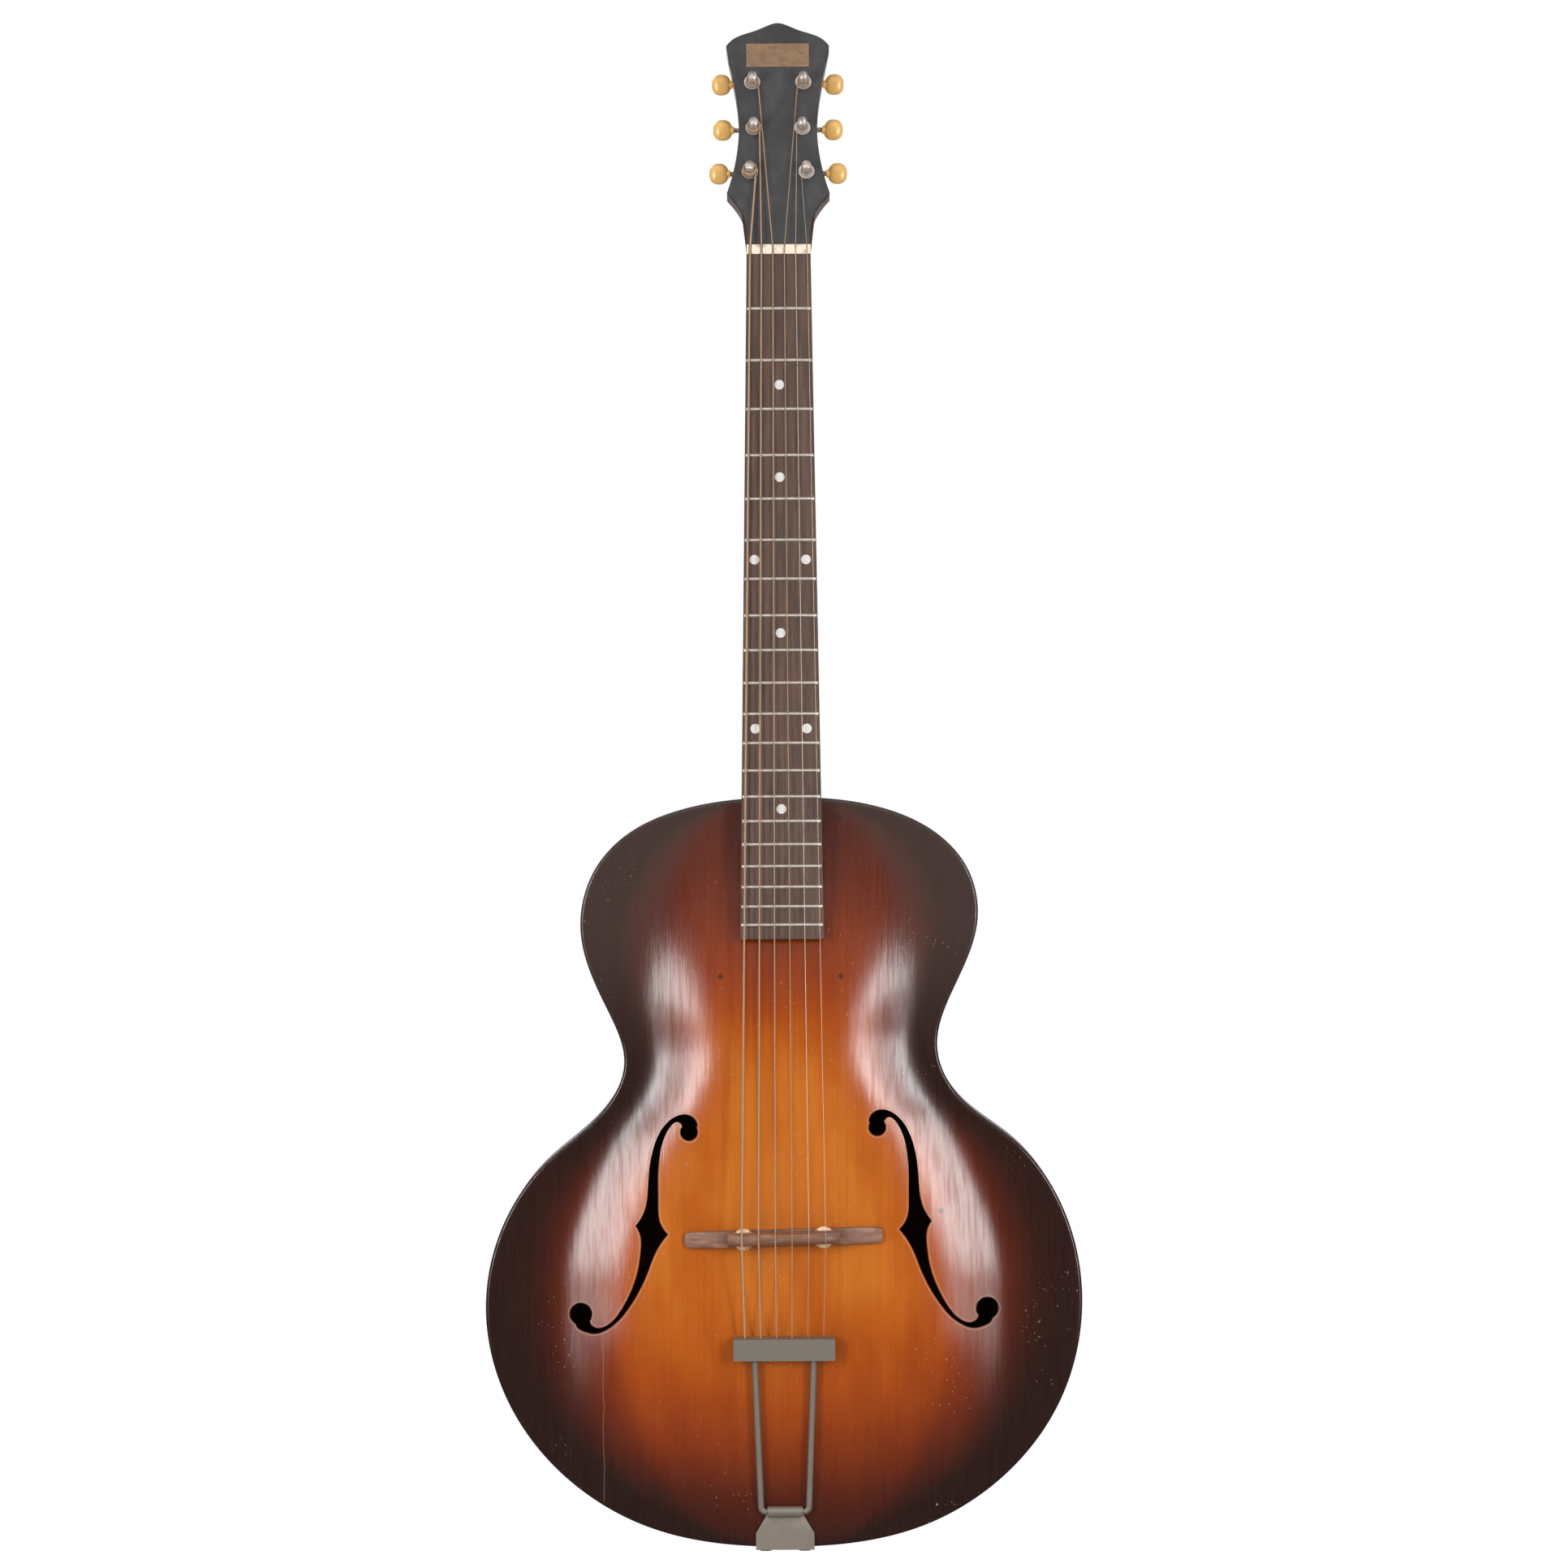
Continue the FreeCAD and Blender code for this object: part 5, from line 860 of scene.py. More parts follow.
def top_lacquer():
    """Sunburst lacquer on spruce: the burst attribute picks the colour, fine upright grain varies it."""
    tints = finish_colours()
    finish = Finish("top_lacquer")
    burst = finish.add("ShaderNodeAttribute", attribute_name="burst").outputs["Fac"]
    cloud = finish.noise((30.0, 30.0, 11.0), detail=4.0)
    uneven = finish.span(cloud, 0.25, 0.75, 0.86, 1.12)
    base = finish.ramp(finish.calc("MULTIPLY", burst, uneven), (
        (0.03, tints.umber), (0.14, tints.chestnut), (0.26, tints.russet), (0.45, tints.rust),
        (0.66, tints.orange), (0.82, tints.honey), (1.0, tints.amber),
    ))
    grain = finish.noise((1300.0, 60.0, 7.0), detail=3.0, roughness=0.6)
    base = finish.mix(finish.span(grain, 0.42, 0.72, 0.0, 0.30), base, GRAIN_TINT, "MULTIPLY")
    streaks = finish.noise((240.0, 60.0, 4.0), detail=4.0, roughness=0.65, seed=(3.1, 0.0, 1.7))
    base = finish.mix(finish.span(streaks, 0.54, 0.78, 0.0, 0.30), base, STREAK_TINT, "MULTIPLY")
    # Paler upper bout on the dark edge ring: partly faded wear, partly a painted sheen of light reflected
    # from above
    upper = body_frame().translation.z
    wear_and_sheen = finish.span(finish.axis("Z"), upper - WEAR_AND_SHEEN_DROP, upper - WEAR_AND_SHEEN_FULL_DROP)
    wear_and_sheen = finish.calc("MULTIPLY", wear_and_sheen, finish.span(burst, 0.06, 0.24, 1.0, 0.0))
    base = finish.mix(wear_and_sheen, top_wear(finish, base), tints.wear_and_sheen, "ADD")
    finish.set(Base_Color=base, Roughness=0.5, Specular_IOR_Level=0.0)
    rubbed = finish.noise((420.0, 200.0, 34.0), detail=5.0, roughness=0.7, seed=(6.0, 0.0, 2.0))
    finish.set(Coat_Weight=finish.span(rubbed, 0.34, 0.58, 0.6, 1.0), Coat_IOR=1.5, Coat_Roughness=0.19)
    checks = finish.noise((1500.0, 300.0, 60.0), detail=3.0, roughness=0.7, seed=(1.0, 2.0, 3.0))
    waves = finish.noise((150.0, 60.0, 22.0), detail=3.0, seed=(4.0, 1.0, 0.5))
    ripple = finish.bump(waves, RIPPLE_DEPTH, 0.6)
    finish.set(Coat_Normal=finish.bump(checks, CHECK_DEPTH, 0.7, ripple))
    return finish


def top_wear(finish, base):
    """The top's colour with plugged screw holes, a hairline crack and scattered dings."""
    tints = finish_colours()
    upper = body_frame().translation.z
    x, z = finish.axis("X"), finish.axis("Z")
    for across, drop in PLUGS:
        aside = finish.calc("POWER", finish.calc("ABSOLUTE", finish.calc("SUBTRACT", x, across)), 2.0)
        below = finish.calc("POWER", finish.calc("ABSOLUTE", finish.calc("SUBTRACT", z, upper - drop)), 2.0)
        reach = finish.calc("SQRT", finish.calc("ADD", aside, below))
        inner, outer = PLUG_RADIUS - WEAR_SOFTNESS, PLUG_RADIUS + WEAR_SOFTNESS
        inside = finish.span(reach, inner, outer, PLUG_STRENGTH, 0.0)
        base = finish.mix(inside, base, tints.umber)
    wander = finish.noise((20.0, 20.0, 60.0), detail=3.0, seed=(7.0, 1.0, 0.0))
    line = finish.calc("MULTIPLY_ADD", wander, CRACK_WANDER, CRACK_ACROSS - CRACK_WANDER / 2)
    aside = finish.calc("ABSOLUTE", finish.calc("SUBTRACT", x, line))
    crack = finish.span(aside, 0.0, CRACK_WIDTH, CRACK_STRENGTH, 0.0)
    start, end = (upper - drop for drop in CRACK_DROPS)
    below = finish.span(z, start - CRACK_WANDER, start + CRACK_WANDER, 1.0, 0.0)
    above = finish.span(z, end - CRACK_WANDER, end + CRACK_WANDER)
    crack = finish.calc("MULTIPLY", crack, finish.calc("MULTIPLY", below, above))
    base = finish.mix(crack, base, tints.worn_edge_and_highlight)
    specks = finish.noise((700.0, 700.0, 420.0), detail=1.0, seed=(9.0, 4.0, 1.0))
    places = finish.noise((26.0, 26.0, 26.0), detail=2.0, seed=(2.0, 8.0, 5.0))
    dings = finish.calc("MULTIPLY", finish.span(specks, 0.70, 0.76), finish.span(places, 0.54, 0.66))
    return finish.mix(finish.calc("MULTIPLY", dings, DING_STRENGTH), base, tints.worn_edge_and_highlight)


def figured_lacquer(name, light, dark):
    """Dark lacquer on figured maple: flames across the grain under a gloss coat."""
    finish = Finish(name)
    flames = finish.noise((12.0, 16.0, 90.0), detail=2.0, distortion=0.8)
    pores = finish.noise((800.0, 800.0, 14.0), detail=3.0)
    clouds = finish.noise((14.0, 14.0, 9.0), detail=3.0, seed=(5.0, 2.0, 1.0))
    base = finish.ramp(flames, ((0.25, shaded(light, 0.72)), (0.72, light)))
    base = finish.mix(finish.span(pores, 0.46, 0.74, 0.0, 0.5), base, dark)
    base = finish.mix(finish.span(clouds, 0.35, 0.7, 0.0, 0.45), base, dark)
    finish.set(Base_Color=base, Roughness=finish.span(pores, 0.3, 0.8, 0.34, 0.46))
    finish.set(Coat_Weight=0.8, Coat_Roughness=0.16, Specular_IOR_Level=0.35)
    return finish.set(Normal=finish.bump(flames, FLAME_DEPTH, 0.4))


def back_lacquer():
    """Lacquer of back and sides."""
    tints = finish_colours()
    return figured_lacquer("back_lacquer", tints.back, tints.back_dark)


def neck_lacquer():
    """Lacquer of the neck."""
    tints = finish_colours()
    return figured_lacquer("neck_lacquer", tints.neck, tints.back_dark)


def grained_wood(name, light, dark, roughness, scale):
    """Open wood: long dark pores along the grain, which follow the neck."""
    finish = Finish(name)
    figure = finish.noise((scale, scale, scale * 0.05), detail=5.0, roughness=0.62, distortion=0.3)
    pores = finish.noise((scale * 6, scale * 6, scale * 0.12), detail=2.0, seed=(0.0, 5.0, 2.0))
    base = finish.ramp(figure, ((0.30, dark), (0.70, light)))
    base = finish.mix(finish.span(pores, 0.56, 0.72, 0.0, 0.75), base, dark)
    finish.set(Base_Color=base, Roughness=finish.span(pores, 0.4, 0.7, roughness, roughness + 0.12))
    return finish.set(Normal=finish.bump(finish.span(pores, 0.56, 0.72, 1.0, 0.0), PORE_DEPTH, 0.5))


def bare_wood():
    """Unfinished spruce and maple inside the body."""
    tints = finish_colours()
    shade = shaded(tints.bare_wood, 0.6)
    return grained_wood("bare_wood", tints.bare_wood, shade, 0.62, 160.0)


def worn_edge_and_highlight():
    """Bare, rubbed wood at the f-holes' edges, painted paler than the bare wood as a highlight along them."""
    tints = finish_colours()
    return grained_wood("worn_edge_and_highlight", tints.worn_edge_and_highlight, shaded(tints.worn_edge_and_highlight, 0.7), 0.5, 300.0)


def rosewood():
    """Fingerboard, oiled and worn."""
    tints = finish_colours()
    return grained_wood("rosewood", tints.rosewood, tints.rosewood_dark, 0.40, 240.0)


def bridge_wood():
    """Bridge: a warmer rosewood whose grain runs across the body, rubbed pale."""
    tints = finish_colours()
    finish = Finish("bridge_wood")
    figure = finish.noise((18.0, 300.0, 340.0), detail=5.0, roughness=0.62, distortion=0.3)
    rubs = finish.noise((60.0, 200.0, 200.0), detail=3.0, seed=(3.0, 1.0, 4.0))
    base = finish.ramp(figure, ((0.30, tints.bridge_dark), (0.66, tints.bridge)))
    pale = shaded(tints.bridge, 1.5)
    base = finish.mix(finish.span(rubs, 0.5, 0.7, 0.0, 0.6), base, pale)
    finish.set(Base_Color=base, Roughness=finish.span(figure, 0.3, 0.7, 0.46, 0.34))
    return finish.set(Normal=finish.bump(figure, BRIDGE_GRAIN_DEPTH, 0.4))


def head_black():
    """Satin black headstock face with fine scuffs."""
    tints = finish_colours()
    finish = Finish("head_black")
    scuffs = finish.noise((700.0, 300.0, 60.0), detail=5.0, roughness=0.7)
    dust = finish.noise((90.0, 90.0, 60.0), detail=4.0)
    lighter = shaded(tints.head, 1.7)
    base = finish.mix(finish.span(dust, 0.35, 0.75), tints.head, lighter)
    finish.set(Base_Color=base, Roughness=finish.span(scuffs, 0.3, 0.75, 0.36, 0.56))
    return finish.set(Normal=finish.bump(scuffs, SCUFF_DEPTH, 0.4))


def label():
    """Plain tan label, rubbed at its middle."""
    tints = finish_colours()
    finish = Finish("label")
    wear = finish.noise((160.0, 160.0, 240.0), detail=6.0, roughness=0.7)
    dark = shaded(tints.label, 0.62)
    base = finish.ramp(wear, ((0.32, dark), (0.58, tints.label)))
    finish.set(Base_Color=base, Roughness=finish.span(wear, 0.3, 0.7, 0.55, 0.38))
    return finish.set(Normal=finish.bump(wear, LABEL_WEAR_DEPTH, 0.4))


def pearl():
    """Position dots: shell with soft bands."""
    tints = finish_colours()
    finish = Finish("pearl")
    bands = finish.noise((240.0, 240.0, 620.0), detail=3.0, distortion=1.2)
    cool = shaded(tints.pearl, (0.86, 0.92, 0.98))
    finish.set(Base_Color=finish.ramp(bands, ((0.35, cool), (0.65, tints.pearl))), Roughness=0.26)
    return finish.set(Coat_Weight=0.4, Coat_Roughness=0.12)


def polished(name, light, dark, roughness, coat=0.3):
    """Bone or celluloid: faint clouds under a soft polish."""
    finish = Finish(name)
    cloud = finish.noise((260.0, 260.0, 120.0), detail=4.0)
    finish.set(Base_Color=finish.ramp(cloud, ((0.30, dark), (0.62, light))))
    finish.set(Roughness=finish.span(cloud, 0.3, 0.7, roughness, roughness + 0.1))
    return finish.set(Coat_Weight=coat, Coat_Roughness=0.15)


def bone():
    """Bone nut."""
    tints = finish_colours()
    return polished("bone", tints.bone, shaded(tints.bone, 0.88), 0.34)


def cream():
    """Aged cream tuner buttons."""
    tints = finish_colours()
    return polished("cream", tints.cream, shaded(tints.cream, (0.93, 0.88, 0.80)), 0.26, 0.6)


def metal(name, light, roughness, tarnish=0.55, scale=260.0, bright=1.0):
    """Plated metal with dull patches and fine scratches; bright is the share that still mirrors."""
    finish = Finish(name)
    patches = finish.noise((scale, scale, scale), detail=6.0, roughness=0.65)
    scratches = finish.noise((scale * 12, scale * 4, scale * 0.4), detail=2.0, seed=(2.0, 0.0, 0.0))
    dull = shaded(light, tarnish)
    base = finish.ramp(patches, ((0.30, dull), (0.62, light)))
    finish.set(Base_Color=base, Metallic=bright)
    finish.set(Roughness=finish.span(patches, 0.3, 0.7, roughness + 0.16, roughness))
    return finish.set(Normal=finish.bump(scratches, SCRATCH_DEPTH, 0.35))


def nickel():
    """Nickel of tuners and frets."""
    return metal("nickel", finish_colours().nickel, 0.42, 0.7)


def tail_nickel():
    """Dull nickel of the tailpiece."""
    return metal("tail_nickel", finish_colours().tail_nickel, 0.46, 0.85, 60.0, bright=0.5)


def steel():
    """Plain steel."""
    return metal("steel", finish_colours().steel, 0.32)


def gear_brass():
    """Brass gears."""
    return metal("gear_brass", finish_colours().brass, 0.30)


def wheel_brass():
    """Brass thumbwheels, worn pale."""
    return metal("wheel_brass", finish_colours().pale_brass, 0.44, 0.8)


def plain_string():
    """Plain steel strings."""
    return metal("plain_string", finish_colours().tin, 0.34, 0.8, 900.0, bright=0.6)


def wound_string():
    """Wound strings: fine turns of bronze along the string."""
    finish = metal("wound_string", finish_colours().bronze, 0.40, 0.75, 900.0, bright=0.4)
    turns = finish.add("ShaderNodeTexWave", wave_type="BANDS", bands_direction="Z")
    finish.join(turns.inputs["Vector"], finish.place)
    turns.inputs["Scale"].default_value = 900.0
    return finish.set(Normal=finish.bump(turns.outputs["Fac"], WINDING_DEPTH, 0.7))


MAKERS = (
    top_lacquer, back_lacquer, neck_lacquer, bare_wood, worn_edge_and_highlight, head_black, label, rosewood, bridge_wood,
    pearl, bone, cream, nickel, tail_nickel, steel, gear_brass, wheel_brass, plain_string, wound_string,
)
FINISHES = {}


def finished(name):
    """A finish's material, made once."""
    if name not in FINISHES:
        FINISHES[name] = next(maker for maker in MAKERS if maker.__name__ == name)().material
    return FINISHES[name]


def plate_shape(base, arch, way):
    """A carved plate: from the spine out to the edge, round the edge, and back under itself.

    Each row runs from a point of the spine to a point of the outline; the outer face stands at
    base + way * arch * share and the inner face lies one thickness behind it.
    """
    body = body_sizes()
    shapes = []
    across = np.linspace(0, 1, PLATE_COLUMNS)[None, :, None]
    turn = np.linspace(0, np.pi / 2, ROUND_STEPS)[1:]
    for sign in (-1, 1):
        rim = body_side(sign)
        out = outward(rim, sign)
        shoulder = rim - out * body.edge_round
        start, end = (share * body.length for share in SPINE_SHARES)
        spine = np.stack([np.zeros(len(rim)), np.linspace(start, end, len(rim))], axis=1)
        outer = spine[:, None] + across * (shoulder - spine)[:, None]
        inner = (spine[:, None] + across * (rim - spine)[:, None])[:, ::-1]
        edge = shoulder[:, None] + out[:, None] * body.edge_round * np.sin(turn)[None, :, None]
        outer_level = base + way * arch * arch_share(outer[..., 0], outer[..., 1])
        inner_level = base - way * body.plate + way * arch * arch_share(inner[..., 0], inner[..., 1])
        edge_level = np.broadcast_to(base - way * body.edge_round * (1 - np.cos(turn)), edge.shape[:2])
        plan = np.concatenate([outer, edge, inner], axis=1)
        level = np.concatenate([outer_level, edge_level, inner_level], axis=1)
        rings = np.stack([plan[..., 0], level, -plan[..., 1]], axis=-1)
        rows, columns = rings.shape[:2]
        shapes.append((placed(rings.reshape(-1, 3), body_frame()), grid_faces(rows, columns).tolist()))
    return together(shapes)


def f_hole_loop(sign):
    """Closed outline of an f-hole in plan: its stem's edges outside the eyes, joined by the eyes' arcs."""
    body = body_sizes()
    size = np.array((body.f_lean, body.f_length))
    ends = (F_OUTER_LOWER_SHARES[-1], F_INNER_LOWER_SHARES[0])
    tops = (F_INNER_UPPER_SHARES[-1], F_OUTER_UPPER_SHARES[0])
    edges = (tops, F_OUTER_UPPER_SHARES, F_OUTER_LOWER_SHARES, ends, F_INNER_LOWER_SHARES,
             F_INNER_UPPER_SHARES)
    ring = np.concatenate([smooth_run(np.array(edge) * size, EDGE_DENSE)[:-1] for edge in edges])
    in_upper = np.linalg.norm(ring, axis=1) < body.f_upper_eye
    in_lower = np.linalg.norm(ring - size, axis=1) < body.f_lower_eye
    first = int(np.argmax(~in_upper))
    ring, in_upper, in_lower = (np.roll(item, -first, axis=0) for item in (ring, in_upper, in_lower))
    lower = np.flatnonzero(in_lower)
    outer_edge = ring[:lower[0]]
    inner_edge = ring[lower[-1] + 1:]
    inner_edge = inner_edge[~in_upper[lower[-1] + 1:]]

    def long_arc(centre, radius, start, finish):
        begin = math.atan2(*(start - centre)[::-1])
        end = math.atan2(*(finish - centre)[::-1])
        sweep = (end - begin) % (2 * np.pi)
        if sweep < np.pi:
            sweep -= 2 * np.pi
        angle = begin + sweep * np.linspace(0, 1, EYE_STEPS)[1:-1]
        return centre + radius * np.stack([np.cos(angle), np.sin(angle)], axis=1)

    lower_arc = long_arc(size, body.f_lower_eye, outer_edge[-1], inner_edge[0])
    upper_arc = long_arc(np.zeros(2), body.f_upper_eye, inner_edge[-1], outer_edge[0])
    loop = np.concatenate([outer_edge, lower_arc, inner_edge, upper_arc])
    drop = body.f_drop - (body.f_treble_rise if sign > 0 else 0.0)
    return np.array((sign, 1.0)) * (loop + np.array((body.f_spread / 2, 0.0))) + np.array((0.0, drop))


def cut_f_holes(top):
    """Cut both f-holes through the top with prisms of their outlines."""
    body = body_sizes()
    depth = np.array((-2 * body.top_arch, 2 * body.top_arch))
    shapes = []
    for sign in (-1, 1):
        loop = f_hole_loop(sign)
        levels = np.broadcast_to(depth[:, None], (2, len(loop)))
        rings = np.stack([np.broadcast_to(loop[:, 0], levels.shape), levels,
                          np.broadcast_to(-loop[:, 1], levels.shape)], axis=-1)
        points, faces = carried(rings)
        shapes.append((placed(points, body_frame()), faces))
    cutter = new_piece("f_hole_cutter", together(shapes))
    cut = top.modifiers.new("f-holes", "BOOLEAN")
    cut.operation = "DIFFERENCE"
    cut.solver = "EXACT"
    cut.object = cutter
    view = bpy.context.evaluated_depsgraph_get()
    mesh = bpy.data.meshes.new_from_object(top.evaluated_get(view))
    top.modifiers.clear()
    top.data = mesh
    bpy.data.objects.remove(cutter)
    mesh.shade_smooth()
    mesh.set_sharp_from_angle(angle=SHARP_ANGLE)


def f_hole_edge_shape(sign):
    """Worn edge of an f-hole, its pale colour partly a painted highlight: a rounded strip carried round its
    outline, let into the top.

    Its profile is a quarter round, width * (1 - sin(turn)) out and width * (1 - cos(turn)) down.
    """
    body = body_sizes()
    loop = f_hole_loop(sign)
    heading = np.roll(loop, -1, axis=0) - np.roll(loop, 1, axis=0)
    out = unit(np.stack([heading[:, 1], -heading[:, 0]], axis=1))
    area = np.sum(loop[:, 0] * np.roll(loop[:, 1], -1) - loop[:, 1] * np.roll(loop[:, 0], -1))
    out = out * np.sign(area)
    turn = np.linspace(0, np.pi / 2, ROUND_STEPS)
    reach = np.concatenate([body.f_edge * (1 - np.sin(turn)), (0.0, body.f_edge)])
    depth = np.concatenate([body.f_edge * (1 - np.cos(turn)) - body.f_edge_lift, (body.plate, body.plate)])
    plan = loop[:, None] + out[:, None] * reach[None, :, None]
    surface = -body.top_arch * arch_share(plan[..., 0], plan[..., 1])
    rings = np.stack([plan[..., 0], surface + depth[None], -plan[..., 1]], axis=-1)
    points, faces = carried(rings, closed_path=True)
    return placed(points, body_frame()), faces


# Sunburst: places across as shares of the half width, and along as shares of the length, with its strength
BURST_ACROSS_SHARES = (
    (0.0, 1.0), (0.3, 0.93), (0.46, 0.85), (0.6, 0.5), (0.7, 0.30), (0.77, 0.15), (0.84, 0.07), (1.0, 0.04),
)
BURST_ALONG_SHARES = (
    (0.0, 0.14), (0.08, 0.22), (0.16, 0.34), (0.265, 0.58), (0.37, 0.92), (0.48, 1.0), (0.6, 1.0),
    (0.665, 0.93), (0.77, 0.74), (0.84, 0.52), (0.905, 0.27), (0.95, 0.13), (1.0, 0.06),
)


def paint_burst(top):
    """Store how strong the sunburst's amber is at each point: a strength by the place across, times one
    by the place along, each a spline through a few."""
    count = len(top.data.vertices)
    flat = np.empty(count * 3, np.float32)
    top.data.vertices.foreach_get("co", flat)
    local = placed(flat.reshape(-1, 3), body_frame().inverted())
    x, drop = local[:, 0], -local[:, 2]
    across = np.clip(np.abs(x) / np.maximum(half_width(x, drop), body_sizes().edge_flat), 0, 1)
    along = np.clip(drop / body_sizes().length, 0, 1)

    def strength(shares, places):
        run = smooth_run(shares, OUTLINE_DENSE)
        return np.interp(places, run[:, 0], run[:, 1])

    amber = strength(BURST_ACROSS_SHARES, across) * strength(BURST_ALONG_SHARES, along)
    attribute = top.data.attributes.new("burst", "FLOAT", "POINT")
    attribute.data.foreach_set("value", amber.astype(np.float32))


def side_shape(sign):
    """A bent side: a flat strip carried along the outline between the plates."""
    body = body_sizes()
    rim = body_side(sign)
    inner = rim - outward(rim, sign) * body.side
    front, back = body.plate + bridge_sizes().glue_gap, body.rim - body.plate - bridge_sizes().glue_gap
    plan = np.stack([rim, rim, inner, inner], axis=1)
    level = np.broadcast_to(np.array((front, back, back, front)), plan.shape[:2])
    rings = np.stack([plan[..., 0], level, -plan[..., 1]], axis=-1)
    points, faces = carried(rings)
    return placed(points, body_frame()), faces


def head_outline():
    """The headstock's outline in its own plane, from the treble side of the nut round to the bass side."""
    neck = neck_sizes()
    shares = (HEAD_LOWER_SHARES, HEAD_SIDE_SHARES, HEAD_CREST_SHARES)
    below, beside, crest = (edge_points(neck, neck.head_length, part) for part in shares)
    root = (neck.nut_width / 2, 0.0)
    ear = (neck.head_ear / 2, HEAD_EAR_SHARE * neck.head_length)
    corner = (neck.head_top / 2, HEAD_CORNER_SHARE * neck.head_length)
    rise = [corner] + crest
    over = rise + [(0.0, neck.head_length)] + [(-x, z) for x, z in rise[::-1]]
    lower = smooth_run([root] + below + [ear], EDGE_DENSE)
    side = smooth_run([ear] + beside + [corner], EDGE_DENSE)
    treble = np.concatenate([lower[:-1], side[:-1]])
    bass = np.concatenate([lower, side[1:-1]])[::-1] * np.array((-1.0, 1.0))
    return np.concatenate([treble, smooth_run(over, 2 * EDGE_DENSE), bass])


def veneer_shape():
    """Headstock face: its outline carried from the back to a rounded front edge.

    On the edge the inset is radius * (1 - cos(turn)) and the level thickness - radius * (1 - sin(turn)).
    """
    neck = neck_sizes()
    loop = head_outline()
    heading = np.roll(loop, -1, axis=0) - np.roll(loop, 1, axis=0)
    inward = unit(np.stack([-heading[:, 1], heading[:, 0]], axis=1))
    turn = np.linspace(0, np.pi / 2, ROUND_STEPS)
    inset = np.concatenate([[0.0], neck.veneer_round * (1 - np.cos(turn))])
    level = np.concatenate([[0.0], neck.veneer - neck.veneer_round * (1 - np.sin(turn))])
    plan = loop[None] + inward[None] * inset[:, None, None]
    rings = np.stack([plan[..., 0], np.broadcast_to(-level[:, None], plan.shape[:2]), plan[..., 1]], axis=-1)
    points, faces = carried(rings)
    return placed(points, head_frame()), faces


def round_front(board):
    """Give the board's front its true normals, (x, -(r^2 - x^2)^(1/2)) / r in the neck's frame, and its
    other faces their own."""
    mesh, radius = board.data, neck_sizes().board_radius
    turn = np.array(neck_frame())[:3, :3]
    points = np.empty(3 * len(mesh.vertices))
    mesh.vertices.foreach_get("co", points)
    owners = np.empty(len(mesh.loops), int)
    mesh.loops.foreach_get("vertex_index", owners)
    corners = np.empty(len(mesh.polygons), int)
    mesh.polygons.foreach_get("loop_total", corners)
    flat = np.empty(3 * len(mesh.polygons))
    mesh.polygons.foreach_get("normal", flat)
    normals = np.repeat(flat.reshape(-1, 3) @ turn, corners, axis=0)
    x = points.reshape(-1, 3)[owners, 0]
    curved = np.stack([x, -np.sqrt(radius ** 2 - x ** 2), np.zeros_like(x)], axis=1) / radius
    in_front = np.sum(normals * curved, axis=1) > math.cos(FRONT_ANGLE)
    normals = np.where(in_front[:, None], curved, normals)
    mesh.normals_split_custom_set((normals @ turn.T).tolist())


def fret_shape(fret):
    """A fret: a half ellipse over a tang, carried along the board's round front and run out at its ends.

    Across the board the crown's height falls as (1 - u^power)^(1/2), u from -1 to 1.
    """
    neck = neck_sizes()
    reach = fret_reach(fret)
    share = reach / (fret_reach(FRETS) + neck.past_last_fret)
    half = (neck.nut_width + share * (neck.board_end - neck.nut_width)) / 2 - neck.fret_inset
    u = np.sin(np.linspace(-np.pi / 2, np.pi / 2, FRET_COLUMNS))
    x = half * u
    front = neck.board - (neck.board_radius - np.sqrt(neck.board_radius ** 2 - x ** 2))
    fall = np.sqrt(np.clip(1 - u ** FRET_END_POWER, 0, 1))
    angle = np.linspace(0, np.pi, CROWN_STEPS)
    tang = neck.tang_width / 2 * np.array((-1, -1, 1, 1))
    width = np.concatenate([neck.fret_width / 2 * np.cos(angle), tang])
    crown = np.concatenate([neck.fret_crown * np.sin(angle), np.zeros_like(tang)])
    sunk = np.concatenate([np.zeros(CROWN_STEPS), (0.0, neck.tang_depth, neck.tang_depth, 0.0)])
    level = front[:, None] + crown[None] * fall[:, None] - sunk[None]
    rings = np.stack([
        np.broadcast_to(x[:, None], level.shape), -level, np.broadcast_to(width[None] - reach, level.shape)
    ], axis=-1)
    points, faces = carried(rings)
    return placed(points, neck_frame()), faces


def string_place(index, spread):
    """Place of a string across, among its neighbours."""
    return spread * (index / (len(STRINGS) - 1) - 0.5)


def string_path(index):
    """A string's middle line: from its ball end over saddle and nut to its turns on the post."""
    neck, sizes, bridge = neck_sizes(), string_sizes(), bridge_sizes()
    gauge = getattr(sizes, STRINGS[index])
    level = tail_rise() + bridge.bar_height - bridge.bar_sheet - sizes.clear - sizes.ball_radius
    ball = placed((string_place(index, sizes.at_tail), 0.0, level), tail_frame())
    x = string_place(index, sizes.at_bridge)
    saddle = placed((x, x * x / (2 * neck.board_radius) - bridge_height(), 0.0), bridge_frame())
    x = string_place(index, sizes.at_nut)
    height = neck.board + neck.fret_crown + gauge / 2
    nut = placed((x, x * x / (2 * neck.board_radius) - height, neck.nut_thickness / 2), neck_frame())
    turns = post_turns(index, gauge, nut)
    over_saddle = rounded_corner(ball, saddle, nut, sizes.bend)
    over_nut = rounded_corner(saddle, nut, turns[0], sizes.bend)
    return ball, np.concatenate([ball[None], over_saddle, over_nut, turns])


